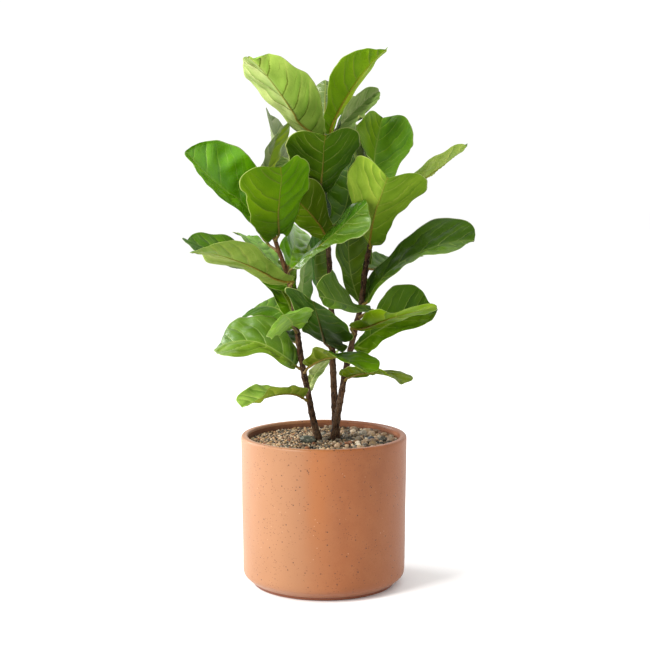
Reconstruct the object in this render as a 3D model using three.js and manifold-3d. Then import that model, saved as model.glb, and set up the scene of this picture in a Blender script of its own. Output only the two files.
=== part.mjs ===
// A potted fiddle leaf fig: three leafy stems in a round terracotta pot with a gravel topping.
// Millimetres, +Z up. The origin is the centre of the pot's underside and the front of the plant faces -Y.
import * as THREE from "three";
import { mergeVertices } from "three/addons/utils/BufferGeometryUtils.js";
import Module from "manifold-3d";

// ---- driving dimensions ----
const POT_HEIGHT = 272; // to the top of the rim
const POT_WALL_TOP = 12; // wall thickness at the rim
const POT_FLOOR = 13; // thickness of the pot's floor
const POT_SIDES = 56; // facets round the pot
// outer profile of the pot, radius and height: foot, bevel, wall, rounded lip
const POT_OUTER = [
  [126.5, 0],
  [128.0, 0.9],
  [128.4, 4.6],
  [132.0, 6.4],
  [141.0, 13.8],
  [145.2, 19],
  [146.8, 27],
  [149.6, POT_HEIGHT - 8],
  [149.4, POT_HEIGHT - 3],
  [147.2, POT_HEIGHT - 0.5],
  [145.0, POT_HEIGHT],
];
// inner profile of the pot, from the lip down to the floor
const POT_INNER = [
  [139.5, POT_HEIGHT],
  [138.0, POT_HEIGHT - 1.5],
  [137.5, POT_HEIGHT - 7],
  [133.5, 26],
  [128, POT_FLOOR + 3],
  [121, POT_FLOOR],
];
const GRAVEL_RIM = 259; // gravel height against the wall
const GRAVEL_MOUND = 263; // gravel height round the stems
const GRAVEL_UNDER = 243; // underside of the gravel layer
const GRAVEL_BUMP = 1.6; // half height of the pebbly relief
const GAP = 0.35; // clearance between pieces that touch
const BLADE = 1.2; // leaf blade thickness
const RIB_BASE = 2.4; // how far the midrib stands out under the blade at its base
const RIB_TIP = 0.3; // and at the tip
const PETIOLE_R = 2.6; // leaf stalk radius at the stem
const ROOT_DEPTH = 46; // length of stem set into the potting mix

// Stems: centre line x, y, z and radius, from the gravel to the tip.
const STEMS = {
  stem_left: [
    [-8.8, -4.0, 261.5, 7.2],
    [-16.7, -3.1, 288.3, 6.4],
    [-22.8, -2.2, 315.5, 5.9],
    [-27.8, -1.4, 343.0, 5.8],
    [-33.5, -0.7, 370.3, 5.6],
    [-38.7, -0.9, 397.7, 5.4],
    [-43.0, -2.0, 425.3, 5.2],
    [-47.0, -3.3, 452.9, 5.1],
    [-50.3, -4.7, 480.6, 4.9],
    [-53.9, -5.9, 508.3, 4.8],
    [-59.0, -7.0, 535.7, 4.6],
    [-65.9, -8.0, 562.6, 4.5],
    [-74.6, -9.0, 589.1, 4.3],
    [-84.1, -10.0, 615.3, 4.1],
    [-91.5, -11.0, 641.9, 3.5],
    [-95.3, -12.0, 669.5, 3.0],
  ],
  stem_centre: [
    [22.9, 12.0, 263.9, 7.4],
    [20.5, 12.9, 298.8, 6.6],
    [18.9, 13.8, 333.8, 6.1],
    [17.5, 14.6, 368.7, 6.0],
    [15.8, 15.2, 403.7, 5.8],
    [14.9, 15.2, 438.7, 5.6],
    [14.1, 14.6, 473.7, 5.5],
    [12.9, 13.8, 508.6, 5.3],
    [11.6, 12.9, 543.6, 5.1],
    [10.0, 11.9, 578.6, 4.9],
    [7.2, 10.4, 613.4, 4.7],
    [2.4, 8.8, 647.9, 4.5],
    [-1.3, 7.1, 682.6, 4.3],
    [-1.6, 5.4, 717.4, 4.0],
    [0.7, 3.7, 752.3, 3.4],
    [3.2, 2.0, 787.1, 2.8],
  ],
  stem_right: [
    [17.3, -4.0, 261.5, 7.2],
    [22.1, -4.5, 291.6, 6.4],
    [27.3, -5.1, 321.7, 5.9],
    [32.4, -5.5, 351.8, 5.8],
    [37.5, -5.5, 381.9, 5.7],
    [44.2, -4.6, 411.6, 5.5],
    [51.0, -3.5, 441.3, 5.4],
    [57.8, -2.4, 471.0, 5.3],
    [65.3, -1.3, 500.5, 5.1],
    [69.8, -0.3, 530.4, 5.0],
    [72.4, 0.6, 560.7, 4.8],
    [77.5, 1.3, 590.6, 4.7],
    [84.3, 2.0, 620.3, 4.5],
    [88.7, 2.6, 650.4, 4.2],
    [90.1, 3.3, 680.8, 3.6],
    [89.0, 4.0, 711.2, 3.0],
  ],
};

// Outline of a blade: station along the midrib, half width as a share of the widest, and how far the margin runs ahead of the midrib.
const OUTLINE_S = [0, 0.02, 0.06, 0.12, 0.2, 0.3, 0.4, 0.5, 0.6, 0.68, 0.76, 0.84, 0.91, 0.96, 0.985, 1];
const OUTLINE_W = [0, 0.2, 0.36, 0.46, 0.51, 0.54, 0.62, 0.76, 0.9, 0.98, 1, 0.93, 0.75, 0.5, 0.28, 0];
const OUTLINE_F = [0, -0.02, -0.03, -0.03, -0.02, -0.01, 0, 0, 0, 0, 0.005, 0.015, 0.03, 0.035, 0.02, 0];
const WIDTH_KEYS = [0, 0.15, 0.42, 0.68, 0.9, 1]; // where each leaf's own width factors apply
const RINGS = [0.02, 0.08, 0.18, 0.32, 0.47, 0.6, 0.72, 0.84, 0.93, 0.975, 0.998]; // sections along a blade
const STEPS = 48; // integration steps along a midrib

const EDGE_S = [0.06, 0.16, 0.28, 0.41, 0.54, 0.66, 0.77, 0.86, 0.93, 0.975];
// Local shifts in millimetres at the stations EDGE_S: for the right and then the left margin ten sideways, ten ahead
// and ten upward, and last the midrib's own ten sideways shifts.
const EDGES = {
  leaf_left_01: [
    [-0.2, 0.3, 1.3, 2.6, 1.6, -0.8, -1.5, -0.8, -0.2, 0.1, 0, -0.1, -0.4, -0.5, 0.4, 1.2, 1.1, 0.9, 0.3, -0.1, -0.3, 0.3, 1.5, 3, 1.6, -2, -2.7, -1.3, -0.3, 0.2],
    [-0.1, 0.1, 0.6, 1.5, 1.5, 1.3, -0.4, -0.4, 0, -0.2, -0, 0.4, 0.8, 0.8, -1.7, -3.3, -2.8, -1.4, 0.3, 1.9, 0.3, -0.3, -1.6, -3.6, -2.4, -0.7, 4.5, 2.2, -1.9, 0],
    [-0.1, -0.1, 0, 0.6, 1.8, 3.4, -3.6, -9, -8.7, -4.1],
  ],
  leaf_left_02: [
    [0, 0, 0, -0, -0, -0.1, -0.1, 0.1, 0.7, 1.9, 0, -0, -0, -0, 0, 0.1, 0.2, 0.3, -0.1, -1.9, 0, 0, 0, -0, -0, -0, -0, 0.3, 1, 1.6],
    [-0, -0, 0, 0.1, 0.3, 0.3, 0.3, 0.1, 0, -0, -0, -0, 0, 0.2, 0.5, 0.6, 0.9, 0.4, 0.1, -0.1, -0, 0, 0.1, 0.3, 0.4, -0.3, 1.5, 0.9, 0.2, -0.1],
    [0, 0, 0, 0, 0, 0, 0, 0, 0, 0],
  ],
  leaf_left_04: [
    [-5.2, -2.1, 4.1, 7.8, 2.3, 1, -4.6, -3.5, -2.2, -0.7, -4.6, -0.8, -1.4, -4.7, -3.5, -1.2, 3.3, 4.5, 0, 0.3, -9.9, -1.7, 0.5, -2.1, -3.1, -0.9, 1.5, 2.9, -0.8, 0.1],
    [-15.8, -5.3, 1.7, 2, 0.4, -0.9, 0.4, -0.5, -3.1, 3.8, -10.6, -2.9, -0.1, 0.2, -0, -0.1, 0.1, -0.3, -0.8, 5.3, -9.4, -1.5, -1, -0.7, -0.1, 0.6, -0.2, -0.1, 1.1, 2.3],
    [1, 1.5, 2.2, 2.1, 0.5, -0.4, -2.1, -2.6, -1.4, -0.2],
  ],
  leaf_left_05: [
    [0.2, 0.6, 0.5, -1.4, 0.2, 0.7, 0.9, 2.7, 2.4, 3.6, -0.1, -0.8, -1.2, 0, 0.6, -4, -3.1, -1.2, 0.8, -1.8, 0, 0.2, 0.3, -0.1, -0.1, 0.7, 0.6, 0.5, 0.1, 1],
    [-1.6, 0.8, 0.8, 0.3, 0.6, 0.6, 0.6, -0.3, -1.3, -2.2, 5.3, 1.5, -1, -2, -1.2, -0.3, -1.1, -2.1, 0.9, 8.2, 2.9, -6.8, -4.1, 0.3, -1.6, -2.3, -0.9, 5.3, 6.9, 0.1],
    [-9, 1.4, 9, 9, -4.1, -9, -9, -5.5, -0.8, 2],
  ],
  leaf_left_06: [
    [-2.1, 1.5, -0.7, 0.7, -0.2, 4.4, 2.1, -2, -0.8, -0.8, 3.6, 0, -0.2, -1.8, -0.8, -0.8, 1.6, 5.5, 3.1, -3.5, 3.1, -4.4, 0.2, -0.4, 1.7, -4.2, -2.7, 0.2, -0.4, 1.6],
    [-1.1, -1.6, -0.9, -0.8, -0.6, 0.5, 1.3, -0.4, -2.8, -2, -3.5, -3.8, -2.4, -0.2, 1.1, 1.1, 0.9, -0.7, -2.5, -1.8, -6.7, -4, 1.9, -1, -3.1, -0.3, 2.2, 0, -3.4, -2.4],
    [7, 8.7, 9, 8.7, 8.8, 5.5, 2.1, 1.3, 0.5, -0.1],
  ],
  leaf_left_07: [
    [0, 0.1, 0, -0.3, -1.1, -1.9, -0.6, 0.5, 0.1, -1.2, -0, -0, -0, 0, 0.2, 0.4, 0.7, 1.2, 1.5, 0.6, 0, 0, -0, -0.2, -0.4, -0.3, 1.3, 3.9, 4, -0.3],
    [-0, 2.5, 3.9, 1.4, 0.1, -0.2, -0.1, -0, -0, 0, 2, 2, 2.8, 2.3, 0.9, 0.2, -0.1, -0.1, -0, 0, 2.4, 0.2, 0.6, 3.7, 1.9, 0.5, -0, -0.1, -0.1, 0],
    [2.4, 0.8, 1.6, 0.6, -0.8, -0.9, -0.5, -0.1, 0, 0.1],
  ],
  leaf_left_08: [
    [0.1, -0.1, -0.4, -0.8, -0.5, -0.6, -1, -0.9, -1.2, -2.2, -0, 0.1, 0.3, 0.5, 0.2, -0.3, -0.7, -0.4, 0.9, 3.4, 0, -0, -0.2, -0.6, -0.6, -1.7, -3.6, -2.5, 0.2, 4.8],
    [0, -0, -0.1, -0.3, -0.5, -0.1, 0.4, -0.1, -3.3, -10.9, -0, -0, 0, 0.1, 0.3, 0.4, 0.4, -0.1, -2.4, -7.8, -0.1, -0.1, 0.2, 1.2, 2.5, 1.5, 0.5, 0, -0.8, -2.7],
    [1.7, 2.3, 1.2, -3, -2.2, 1.2, 4.6, 3.5, 1.4, -0.3],
  ],
  leaf_left_10: [
    [0.1, 0.1, 0, -0.7, -2.5, -4.5, -1.2, -3.3, -1.8, -1.2, -0.1, -0.1, -0.1, 0.3, 1.8, 4.5, 5.2, 1.8, 2.7, 0.8, 0.1, 0.1, 0, -0.6, -2.1, -3.5, 0.8, -3.4, -1.1, -1.1],
    [0.6, 0.3, -1.1, -0.8, -0.3, 0.5, 1.2, 0.4, -1.9, -1.5, -0.2, -2.3, -2.7, -1.1, 0.8, 2.4, 4.9, 3.8, 0.3, -1.7, -1.5, -1.8, 1.2, 1.6, 1.5, 0.1, 0.1, 5.2, 5.7, 5.2],
    [0, 0, 0, 0, 0, 0, 0, 0, 0, 0],
  ],
  leaf_left_11: [
    [0, 0, 0, 0, 0, 0, 0, 0, 0, 0, 0, 0, 0, 0, 0, 0, 0, 0, 0, 0, 0, 0, 0, 0, 0, 0, 0, 0, 0, 0],
    [-2.7, -3.6, -1.9, 0.7, 1.1, 0.5, 0.1, -0, -0, -0, -7.1, -3.1, -1.9, -1.4, -0.9, -0.3, -0, 0, 0, 0, -2, 0.8, -0.2, -2.3, -2.1, -0.8, -0.1, 0.1, 0.1, 0],
    [-0.3, 0.6, -1.2, -2.5, -1.6, -0.6, -0.1, 0.1, 0.1, 0],
  ],
  leaf_left_12: [
    [-4.3, -3.5, 4.5, 4.2, 0.1, -0.3, 0.4, 0.4, 0.2, -0, 1.4, 0.1, -3.5, -5.1, -2.7, -0.4, 0.8, 0.7, 0.3, -0, -1.3, -0.8, 2.3, 0.5, -1.3, -0.3, 1, 0.8, 0.3, -0.1],
    [-1.2, 0.1, 1, 0.8, 0.4, 0.1, -0, -0, -0, 0, 7.1, 2.6, 0.4, -0.5, -0.9, -0.5, -0.2, -0, 0, 0, 4.3, 0.2, -2.5, -2.5, -2.2, -0.8, -0, 0.1, 0.1, 0],
    [0, 0, 0, 0, 0, 0, 0, 0, 0, 0],
  ],
  leaf_left_13: [
    [-4.3, -1.3, 0.4, 1.1, 0.7, -0, -0.2, 1.1, 4.9, 3.5, -1.4, -0.5, -0.1, -0.2, -0.1, -0, 0, -0, -0.3, -0.6, 7.9, 2.2, 0.2, 0.4, 0.4, 0.3, -0.2, -1.7, -4.1, 2],
    [-6.4, -0.6, 1.9, 2.7, 0.8, -0.8, -0.8, -0.4, -0.2, 0.1, 0.5, 0.3, -0.2, -0.5, -0.3, -0.1, -0.1, -0.1, -0.1, 0.3, 1.9, -0.7, 0.3, 1.7, 0.8, 0.1, 0.1, 0.6, 0.7, -1.2],
    [0, 0, 0, 0, 0, 0, 0, 0, 0, 0],
  ],
  leaf_left_14: [
    [0, 0.1, 0.1, -0, -0.8, -2.3, -3.6, -1.7, -0.3, 0.4, -0, -0, -0, -0, 0.2, 0.8, 1.5, 1.3, 1.2, 0.8, 0, 0, 0.1, -0.1, -0.6, -1.7, -2.2, 0.9, 3.8, 3.9],
    [-1.7, 2.6, 2.6, 1.7, -0.7, -1, -0.7, -0.5, -0, 2.1, 2.4, -0.6, -1.6, -2.1, -1.5, -0.6, -0.3, -0.5, -0.6, 0.7, 1.7, -1.1, -1.9, -2.3, -0.7, 0.2, 0.4, -0.2, -2.5, -5],
    [0.1, 1, 1.7, 2.8, 3.6, 2.6, 1.9, 0.8, 0.1, -0.3],
  ],
  leaf_left_15: [
    [-1.5, -0.7, -0.2, 0, 0, 0, 0, -0, -0, -0, 1.5, 0.6, 0.1, -0, -0, -0, -0, 0, 0, 0, 0.8, 0.2, -0, -0, -0, -0, 0, 0, 0, -0],
    [0, 0, 0, 0, 0, 0, 0, 0, 0, 0, 0, 0, 0, 0, 0, 0, 0, 0, 0, 0, 0, 0, 0, 0, 0, 0, 0, 0, 0, 0],
    [0, 0, 0, 0, 0, 0, 0, 0, 0, 0],
  ],
  leaf_left_16: [
    [0.4, -0.4, -2.4, 2.9, 4.7, 1.4, 0, -0, 0.5, 0.4, 0.4, 0.2, -0.4, -2, -2.6, -1, -0.1, -0.4, -1.6, -1.2, 0.4, -0, -1.3, 2.1, 0.9, -2.9, -4.1, -5.8, 1.1, 2.8],
    [-16, -2.4, 5, 2.5, 1.8, 1.5, 1.6, 0.7, 1.2, 1.3, -12.9, -2.4, 2.6, 2.1, 1.7, 0.6, -0, -0.1, 1.4, 2, 2.8, -3, -4.3, 5.8, 1.1, 1.2, 2, 1, 0.1, -0.4],
    [0, 0, 0, 0, 0, 0, 0, 0, 0, 0],
  ],
  leaf_left_17: [
    [-2.7, 0.7, 1.7, 1.3, -0.8, -0.3, 3.5, 1.4, 0.6, -1.7, 1.6, -0.3, -1.4, -2.1, -1.7, -1.9, -1.8, -1.6, -1.2, -3.9, -1.6, 0.2, 0.8, 0.5, -0.7, -0.2, 2.7, 0.4, -0.2, -4.8],
    [-2.7, -2, -1.3, 0.6, 0.5, 0.2, 1.7, 1, 0.3, -0.7, 3.2, -0.1, -1.7, -2.6, -0.7, 0.7, 2.7, 0.7, -0.2, -1.7, 0.9, 1.8, 1.5, -0.8, 0, 0.4, -2.7, -2.6, -1.3, 0.3],
    [-2.5, -5.1, -5.5, -3.2, -1.1, -1.3, -1.8, -1.8, -0.9, 0],
  ],
  leaf_left_18: [
    [-1.5, -0.7, 0.5, -0, 0.9, 0.9, 0.7, -0.2, -3.7, -4.9, -5.2, -2.2, -0.6, 1.2, 1.3, 0.9, 0.6, -0.4, -4.1, -4.8, -3.8, -1.4, -0.8, 2, -1, -0.9, -0.3, 0.6, 2.1, 3.2],
    [-1.2, -3.5, -3.7, -0.3, 2.3, 1.4, 0.5, 0.2, 0.1, 0, 0.6, 1.6, 1.5, -0.3, -1.8, -1.1, -0.5, -0.3, -0.4, -0.1, -0.5, -1.8, -2, -0.3, 1, 0.5, -0.3, -0.9, -1, -0.3],
    [-0.2, -0.9, -1.4, -0.6, 0.7, 2.1, 2.6, 1.5, 0.5, -0.3],
  ],
  leaf_left_19: [
    [0.6, 3.5, 5.2, 3.1, 0.2, -0.5, -2.4, -1.1, -0.3, 0.2, 0.6, 2.5, 3.5, 2.9, -2.6, -6.6, -3.9, -1, -0, -0.2, -0.5, -0.8, 1.7, 0.1, 0.1, 5, 1.1, -0, -0.2, 0.1],
    [-0.4, 1, 0.8, -0.4, -0.4, 1, 3.8, 1.7, 0.9, 0.1, 1.8, 0.3, -1, -2.2, -1.5, -0.3, -2.2, -3, -1.2, 0.2, 2.5, 0.9, -1.4, -3.7, -0.6, 2.8, 6.1, -1, 1.1, 1],
    [0, 0, 0, 0, 0, 0, 0, 0, 0, 0],
  ],
  leaf_centre_01: [
    [0.9, 1.3, 0, 0.6, 1.9, 0.6, 2.4, 1.8, 0.5, -1, -0.1, 0.2, 0.7, -0.3, -1.9, -1, -0.3, 1.9, 1.6, -2.8, 0.4, 0.6, 0.1, 0.3, 0.6, 0.1, 1.7, 2.1, 1.1, -2.1],
    [-0.4, -0.4, -0.3, -0.3, 0.4, 0.8, 0.3, -0.6, -0.6, -0.2, 0.4, 0.2, -0.1, -0.2, 1.1, 2.9, 1.1, -1.8, -2.1, -0.8, 2, 1.9, 1.7, 1.7, -0.4, -2.9, -2.2, -1, 0.7, 0.7],
    [4, 3.3, 2.7, 1.7, 1.4, 2.1, 2.2, 2.9, 2.9, 1.7],
  ],
  leaf_centre_02: [
    [0, 0.9, 1.7, 2.2, 2.1, 0.4, 0.7, -0.2, -0.5, -0.6, -0.8, -0.6, 1.1, 5, 5, -0.7, -5.8, -5.1, -2.9, -1.3, -0.6, -2, -2, 0.1, -0.5, -1.6, -5.4, -2.5, -0.7, 0.3],
    [-6, -0.7, 1.5, -1.5, -1.1, 2.7, -2, 0.6, 0.7, -9.6, 5.4, 0.3, -2.4, -0.7, 0.2, 0.2, 0.1, 4.1, 3.5, -3.8, 1.4, 0, -0.9, -0.7, -0.1, 0.7, -0.8, 2, 1.5, -6.7],
    [9, 9, 8.3, -2.3, -5.7, -5.6, -4.9, -6.9, -6.1, -2.8],
  ],
  leaf_centre_03: [
    [1.25, 2.35, 1.15, -0.25, -1.25, -0.7, -0.25, -0.4, -0.25, -0.1, 0.35, 0.6, 0.2, -0.45, -1.15, -0.3, 0.2, -1.4, -2.1, -1.8, -0.5, -0.8, 0.05, 1.15, 1.35, -0.2, -1.95, -2.35, -0.35, 0.8],
    [0.5, -0.4, -1.05, -0.3, 0.45, 0.45, -0.4, -0.55, -0.95, -1.5, -0.5, -0.55, -0.7, -0.1, 0.65, 1.25, 0.45, -0.5, -0.95, 0.1, 2.15, -0.15, -1.75, -1.65, -1.15, 0.3, 1.75, 1.05, 1.1, 2.1],
    [-0.05, 0.15, 0.4, 0.65, 0.3, -0.5, -1.2, -1.45, -1.2, -0.75],
  ],
  leaf_centre_04: [
    [0, 0.1, 0, -0.3, -1.2, -2.3, -1.4, -0.8, -0.2, -1.6, -0, -0, 0, 0.1, 0.2, 0.4, 0.1, 0.1, 1.2, 2.3, 0, 0.1, 0, -0.2, -0.8, -1.8, -1.2, -0.6, 1.2, 0.9],
    [-0, -0, 0, 0, 0.1, 0.2, -0, -0.5, -0.5, -0.2, -0, 0, 0, 0, 0, -0.1, -0.3, -0.7, -1.1, -0.7, -0, -0, 0, 0, 0.1, 0.1, -0.3, -1.4, -1.9, -0.9],
    [-0.1, 0.2, 0.5, 0.8, 0.4, -0.2, -0.5, -0.3, -0.1, 0],
  ],
  leaf_centre_05: [
    [-13.2, -4.5, -0.7, -0.8, -1.8, 1.1, -0.3, -0.2, -0.1, 2, -3.1, -0.7, 0, -0.3, -1.4, -2.5, -2, -1.4, -1.2, -1.3, -3.6, -0.2, 0.3, 0.2, -0.6, -2.6, -1.6, -1.1, -0.8, -1.1],
    [-8.9, -1.8, 1.1, 0.5, -0.2, -0.1, -2.7, -0.6, -0.8, -0.4, -3, -1.2, -0.5, -0.3, -1.2, -2.5, -0.4, 2.6, 0.6, 0.3, -2.9, -1.7, -1.3, -0.2, -0.9, -3, 1.3, 3, 1, 0.6],
    [-0.8, -1.2, -1, -1, -1.1, -0.7, 0.2, 1, 0.8, 0.4],
  ],
  leaf_centre_06: [
    [0, 0, 0, -0, -0, -0, -0, 0.1, 0.4, 0.9, -0, -0, -0, 0, 0, 0, 0, -0, -0.3, -1, 0, 0, -0, -0, -0, -0, 0, 0.3, 1, 1.5],
    [-0, 0, 0, 0, -0, -0.2, -0.5, -0.5, -0.4, -0.6, -0, 0, 0, 0, -0, -0.1, -0.2, -0.3, -0.5, -1.3, -0, 0, 0, 0, -0, -0.1, -0.1, -0.1, 0.1, 0.4],
    [0, 0, 0, 0, 0, 0, 0, 0, 0, 0],
  ],
  leaf_centre_07: [
    [0.6, 0.8, -0, -1.1, -0.6, -0.7, -1.3, -0.7, -0.2, 0.1, 0.1, 0.1, -0.2, -0.8, -1.2, -1.4, -1.5, -0.7, -0.1, 0.1, -1.7, -3.3, -1.1, 1.1, -0.1, -0.1, 1.3, 0.8, 0.2, -0.1],
    [0.1, 0.1, -0.1, -0.5, -1.2, -0.7, 0, 0.7, 0.6, -0.1, -0.1, -0, 0.1, 0.4, 0.9, 0.7, 0.6, 0.7, -0.3, -2.4, 0, 0, 0, -0.1, -0.2, -0.1, 0.2, 0.7, 0.3, -0.9],
    [0, 0, 0, 0, 0, 0, 0, 0, 0, 0],
  ],
  leaf_centre_08: [
    [0, 0, 0, -0.1, -0.2, 0.3, 0.9, -0, -0.3, -0.2, -0, -0.1, 0, 0.3, 0.9, 1.4, 1.5, -0.3, -0.8, -0.5, -0, 0, 0.1, 0.1, 0.5, 1.4, 2.1, -0.2, -0.8, -0.5],
    [-0.4, 0.1, 0.5, 0.3, 0.1, -0, -0, -0, -0, 0, -2.3, -0.3, 0.8, 1, 0.8, 0.3, 0, -0, -0, -0, 5.1, -0.1, -2.6, 0.6, 2.6, 1.4, 0.3, -0, -0.1, -0],
    [0, 0, 0, 0, 0, 0, 0, 0, 0, 0],
  ],
  leaf_centre_09: [
    [-2.4, -0.7, -0.3, 0.4, 0.6, 0.3, 0.1, -0, -0, -0, 2.2, 1, 0.7, 0.2, -0.1, -0.1, -0.1, -0, 0, 0, 2.2, 0.8, 0.5, -0, -0.3, -0.2, -0, 0, 0, 0],
    [0, 0, 0, 0, 0, 0, 0, 0, 0, 0, 0, 0, 0, 0, 0, 0, 0, 0, 0, 0, 0, 0, 0, 0, 0, 0, 0, 0, 0, 0],
    [-2.7, -3.4, -3.4, -2, -0.4, 1.7, 2.3, 1.4, 0.4, -0.2],
  ],
  leaf_centre_10: [
    [0.2, -0.6, -1.9, -2.7, 1, 3, 1.8, 0.8, 0.1, -0.2, 0.2, -0.1, -0.7, -1.8, -2.3, -2, -0.8, -0, 0.1, 0.1, 0.5, -0.8, -3, -5.5, -1.2, 1.5, 1.2, 0.6, 0.2, -0.1],
    [0.3, 1.1, 1.4, 0.9, -0.1, -0.2, -0.1, -0, 0, 0, 0.4, 1.2, 1.4, 1.4, 1.3, 0.5, 0.1, -0, -0, -0, 1.6, 2.9, 0.5, -1, 1.6, 1.1, 0.3, 0, -0, -0],
    [0, 0, 0, 0, 0, 0, 0, 0, 0, 0],
  ],
  leaf_centre_11: [
    [-1.5, 0.4, -0.4, -0.7, -0.4, -0.1, 0, 0, -0, -0.1, 0.5, -1.4, -1, -0.4, -0.1, 0, 0, 0, 0.2, 0.6, 2.2, -3.7, -1.7, -0.1, 0.2, 0.1, -0, -0, 0.4, 1.5],
    [9.4, 10.3, 0.9, -1.3, 3.9, 3.5, 2.4, 3.3, 1.7, 0.7, -6.8, -3.6, -3.3, -2.9, -5, -4, -2.7, -0.5, -0.6, -0.1, -8.3, -1.4, -6.4, -6.1, -6.7, -5.2, -3.4, 2.5, 0.2, 0.5],
    [0, 0, 0, 0, 0, 0, 0, 0, 0, 0],
  ],
  leaf_right_01: [
    [-0.5, 0.1, 1.6, 4.7, 3.4, 1.7, -3.6, -1.1, 0.4, 0.6, -0, -0, 0, -0.2, -1.2, -4.8, -3.3, 1, 0.4, -0.8, 0.1, -0.4, -1, -1.9, -1.5, -3.9, 0.4, 0.5, -0.3, -0.6],
    [2, 0.6, -0.1, -0.1, 0, 0.2, 0.3, 0.4, 0.3, 0.2, 0.1, 0, -0.1, -0.4, 0.1, 0.3, 0.3, 0.3, 0.6, 1.2, 2.7, 1.7, 1.3, -0.8, -0.3, 0.1, -0, -0.2, -0, 0.2],
    [-0.1, 0.5, 1.1, 1.3, -0.3, -1.6, -1.6, -1.5, -1.7, -1.1],
  ],
  leaf_right_02: [
    [0, 0, 0, 0, 0, 0, 0, 0, 0, 0, 0, 0, 0, 0, 0, 0, 0, 0, 0, 0, 0, 0, 0, 0, 0, 0, 0, 0, 0, 0],
    [0.1, 0.7, 1.2, 1.1, -1.9, -1.4, -0.5, -0.1, 0.1, 0.1, -0, -0.3, -0.6, -0.7, 0.9, 0.7, 0.3, 0, -0, -0, -0, -1.1, -2.2, -1.9, 5.6, 3.5, 1, 0, -0.2, -0.1],
    [0, 0, 0, 0, 0, 0, 0, 0, 0, 0],
  ],
  leaf_right_03: [
    [0, 0.1, 0.1, -0.1, -0.7, -0.7, 0.7, 0.7, 0.7, -0.8, -0.1, -0.1, -0, 0.4, 1.4, 2.2, 1.4, -0.3, -1.3, 0.3, 0, 0.1, 0.1, 0, -0.8, -0.6, 1.8, 1.2, 0.9, -1.6],
    [-0, 0, 0.1, 0.3, 0.4, 0.2, -0, -0.2, -0.1, -0, -0.1, 0.1, 0.6, 1.4, 1.8, 0.9, 0.3, -0.5, -2.3, -1.6, -0, -0.3, -0.4, 0.2, 3.2, 2.3, -0.4, -2, 3.7, 3],
    [0, 0, 0, 0, 0, 0, 0, 0, 0, 0],
  ],
  leaf_right_05: [
    [-0.5, -0.6, 0.2, 0.1, -0.3, 1.1, -3.4, -0.5, -0.5, -2.1, 1, 1.2, -0.1, -0.5, -0.1, -0.1, -1.1, -0.2, -1.4, -1.7, 1.7, 2.3, -0.2, -0.7, 0.3, -1, 0.9, 0.2, -1.3, -0.8],
    [-4.1, -4.1, 1, 1.6, -0.8, -0.7, -2.2, 0.1, 0.5, -0.6, -3.9, -4.2, -3.5, 0.1, -0.9, -3, -2, 0.3, 1.6, 1.1, -1.9, -2.4, -3.9, 0.1, -0.7, -3, -0.5, 0.4, 1.7, 2.2],
    [2.2, 1.2, 0.8, -0.2, -0.8, -1.9, -1.7, -1, -0.3, 0.2],
  ],
  leaf_right_06: [
    [0, 0, 0, 0, 0, 0, 0, 0, 0, 0, 0, 0, 0, 0, 0, 0, 0, 0, 0, 0, 0, 0, 0, 0, 0, 0, 0, 0, 0, 0],
    [-0.1, 0.3, 0.9, 1.6, 0.4, -2.6, -6.4, -5, -2.5, -1.3, 0.1, -0.1, -0.4, -0.7, -0.3, 1, 2.7, 2.7, 0.5, -2.6, 0, -0.1, -0.2, -0.4, -0, 1.5, 4.2, 5, 0.7, -6.6],
    [0, 0, 0, 0, 0, 0, 0, 0, 0, 0],
  ],
  leaf_right_07: [
    [-0.3, -0.1, 0.4, 0.6, 0.2, -1.4, -0.2, 0.2, 0.4, -0.1, 3, 1.7, 1.4, 2, 0.5, 0.1, -0.1, -0.2, -0.9, -3, -4.7, -3, -4.1, -5.4, -3.5, 6.2, 1.3, -0.4, -1.1, 2.3],
    [2.4, 2.4, 0.6, 4.1, -0.5, -0.3, -1.2, -0.7, 0.5, -0.2, -0.4, 1.5, 3.5, 2.9, 4.8, 5, 1.8, 0.4, 0.1, -1.6, 2.9, 2.4, -0.6, 3.6, -1.5, -1.5, -1.5, -0.7, 0.5, 0.1],
    [-8.7, -6.4, -2.7, 1.8, 4.9, 4.9, 1, -2.7, -4, -2.7],
  ],
  leaf_right_08: [
    [0, 0, 0, 0, 0, 0, 0, 0, 0, 0, 0, 0, 0, 0, 0, 0, 0, 0, 0, 0, 0, 0, 0, 0, 0, 0, 0, 0, 0, 0],
    [-1.5, -1.6, -2.3, -2.5, -2.4, -3.1, -1.5, -0.4, 0.1, 0.2, -0.7, -3.4, -4.5, -5.9, -5.2, -2.8, -0.8, 0, 0.2, 0.1, 1.9, -1.1, -0.4, -1.1, -0.3, 3.4, 2, 0.6, -0, -0.2],
    [0, 0, 0, 0, 0, 0, 0, 0, 0, 0],
  ],
  leaf_right_09: [
    [-6.2, -2.9, 0.3, 1.8, 4.7, 9.2, 5.6, 1.2, 2.4, -1.8, -5.5, -1.5, 1.4, 2.5, 3.8, 3.9, -1.1, -3.8, -0.2, 3.2, 4.6, 0.5, -1.8, -2.3, -2.6, -1.1, 2.8, 3.3, 1, -1.7],
    [0.3, 0.6, 0.3, 0.1, -0.2, -0.7, -0.9, -0.3, 1.9, 2.5, -0.2, -0.4, -0.3, -0.1, 0.1, 0.3, 0.5, 0.5, 1.2, -0.2, -0.2, -0.5, -0.3, -0.1, 0.3, 1.3, 2.5, 1.9, -4.9, -4.6],
    [4.5, 3.3, 2.8, 1.3, -0.4, -2.4, -2.7, -1.5, -0.4, 0.3],
  ],
  leaf_right_10: [
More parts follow.
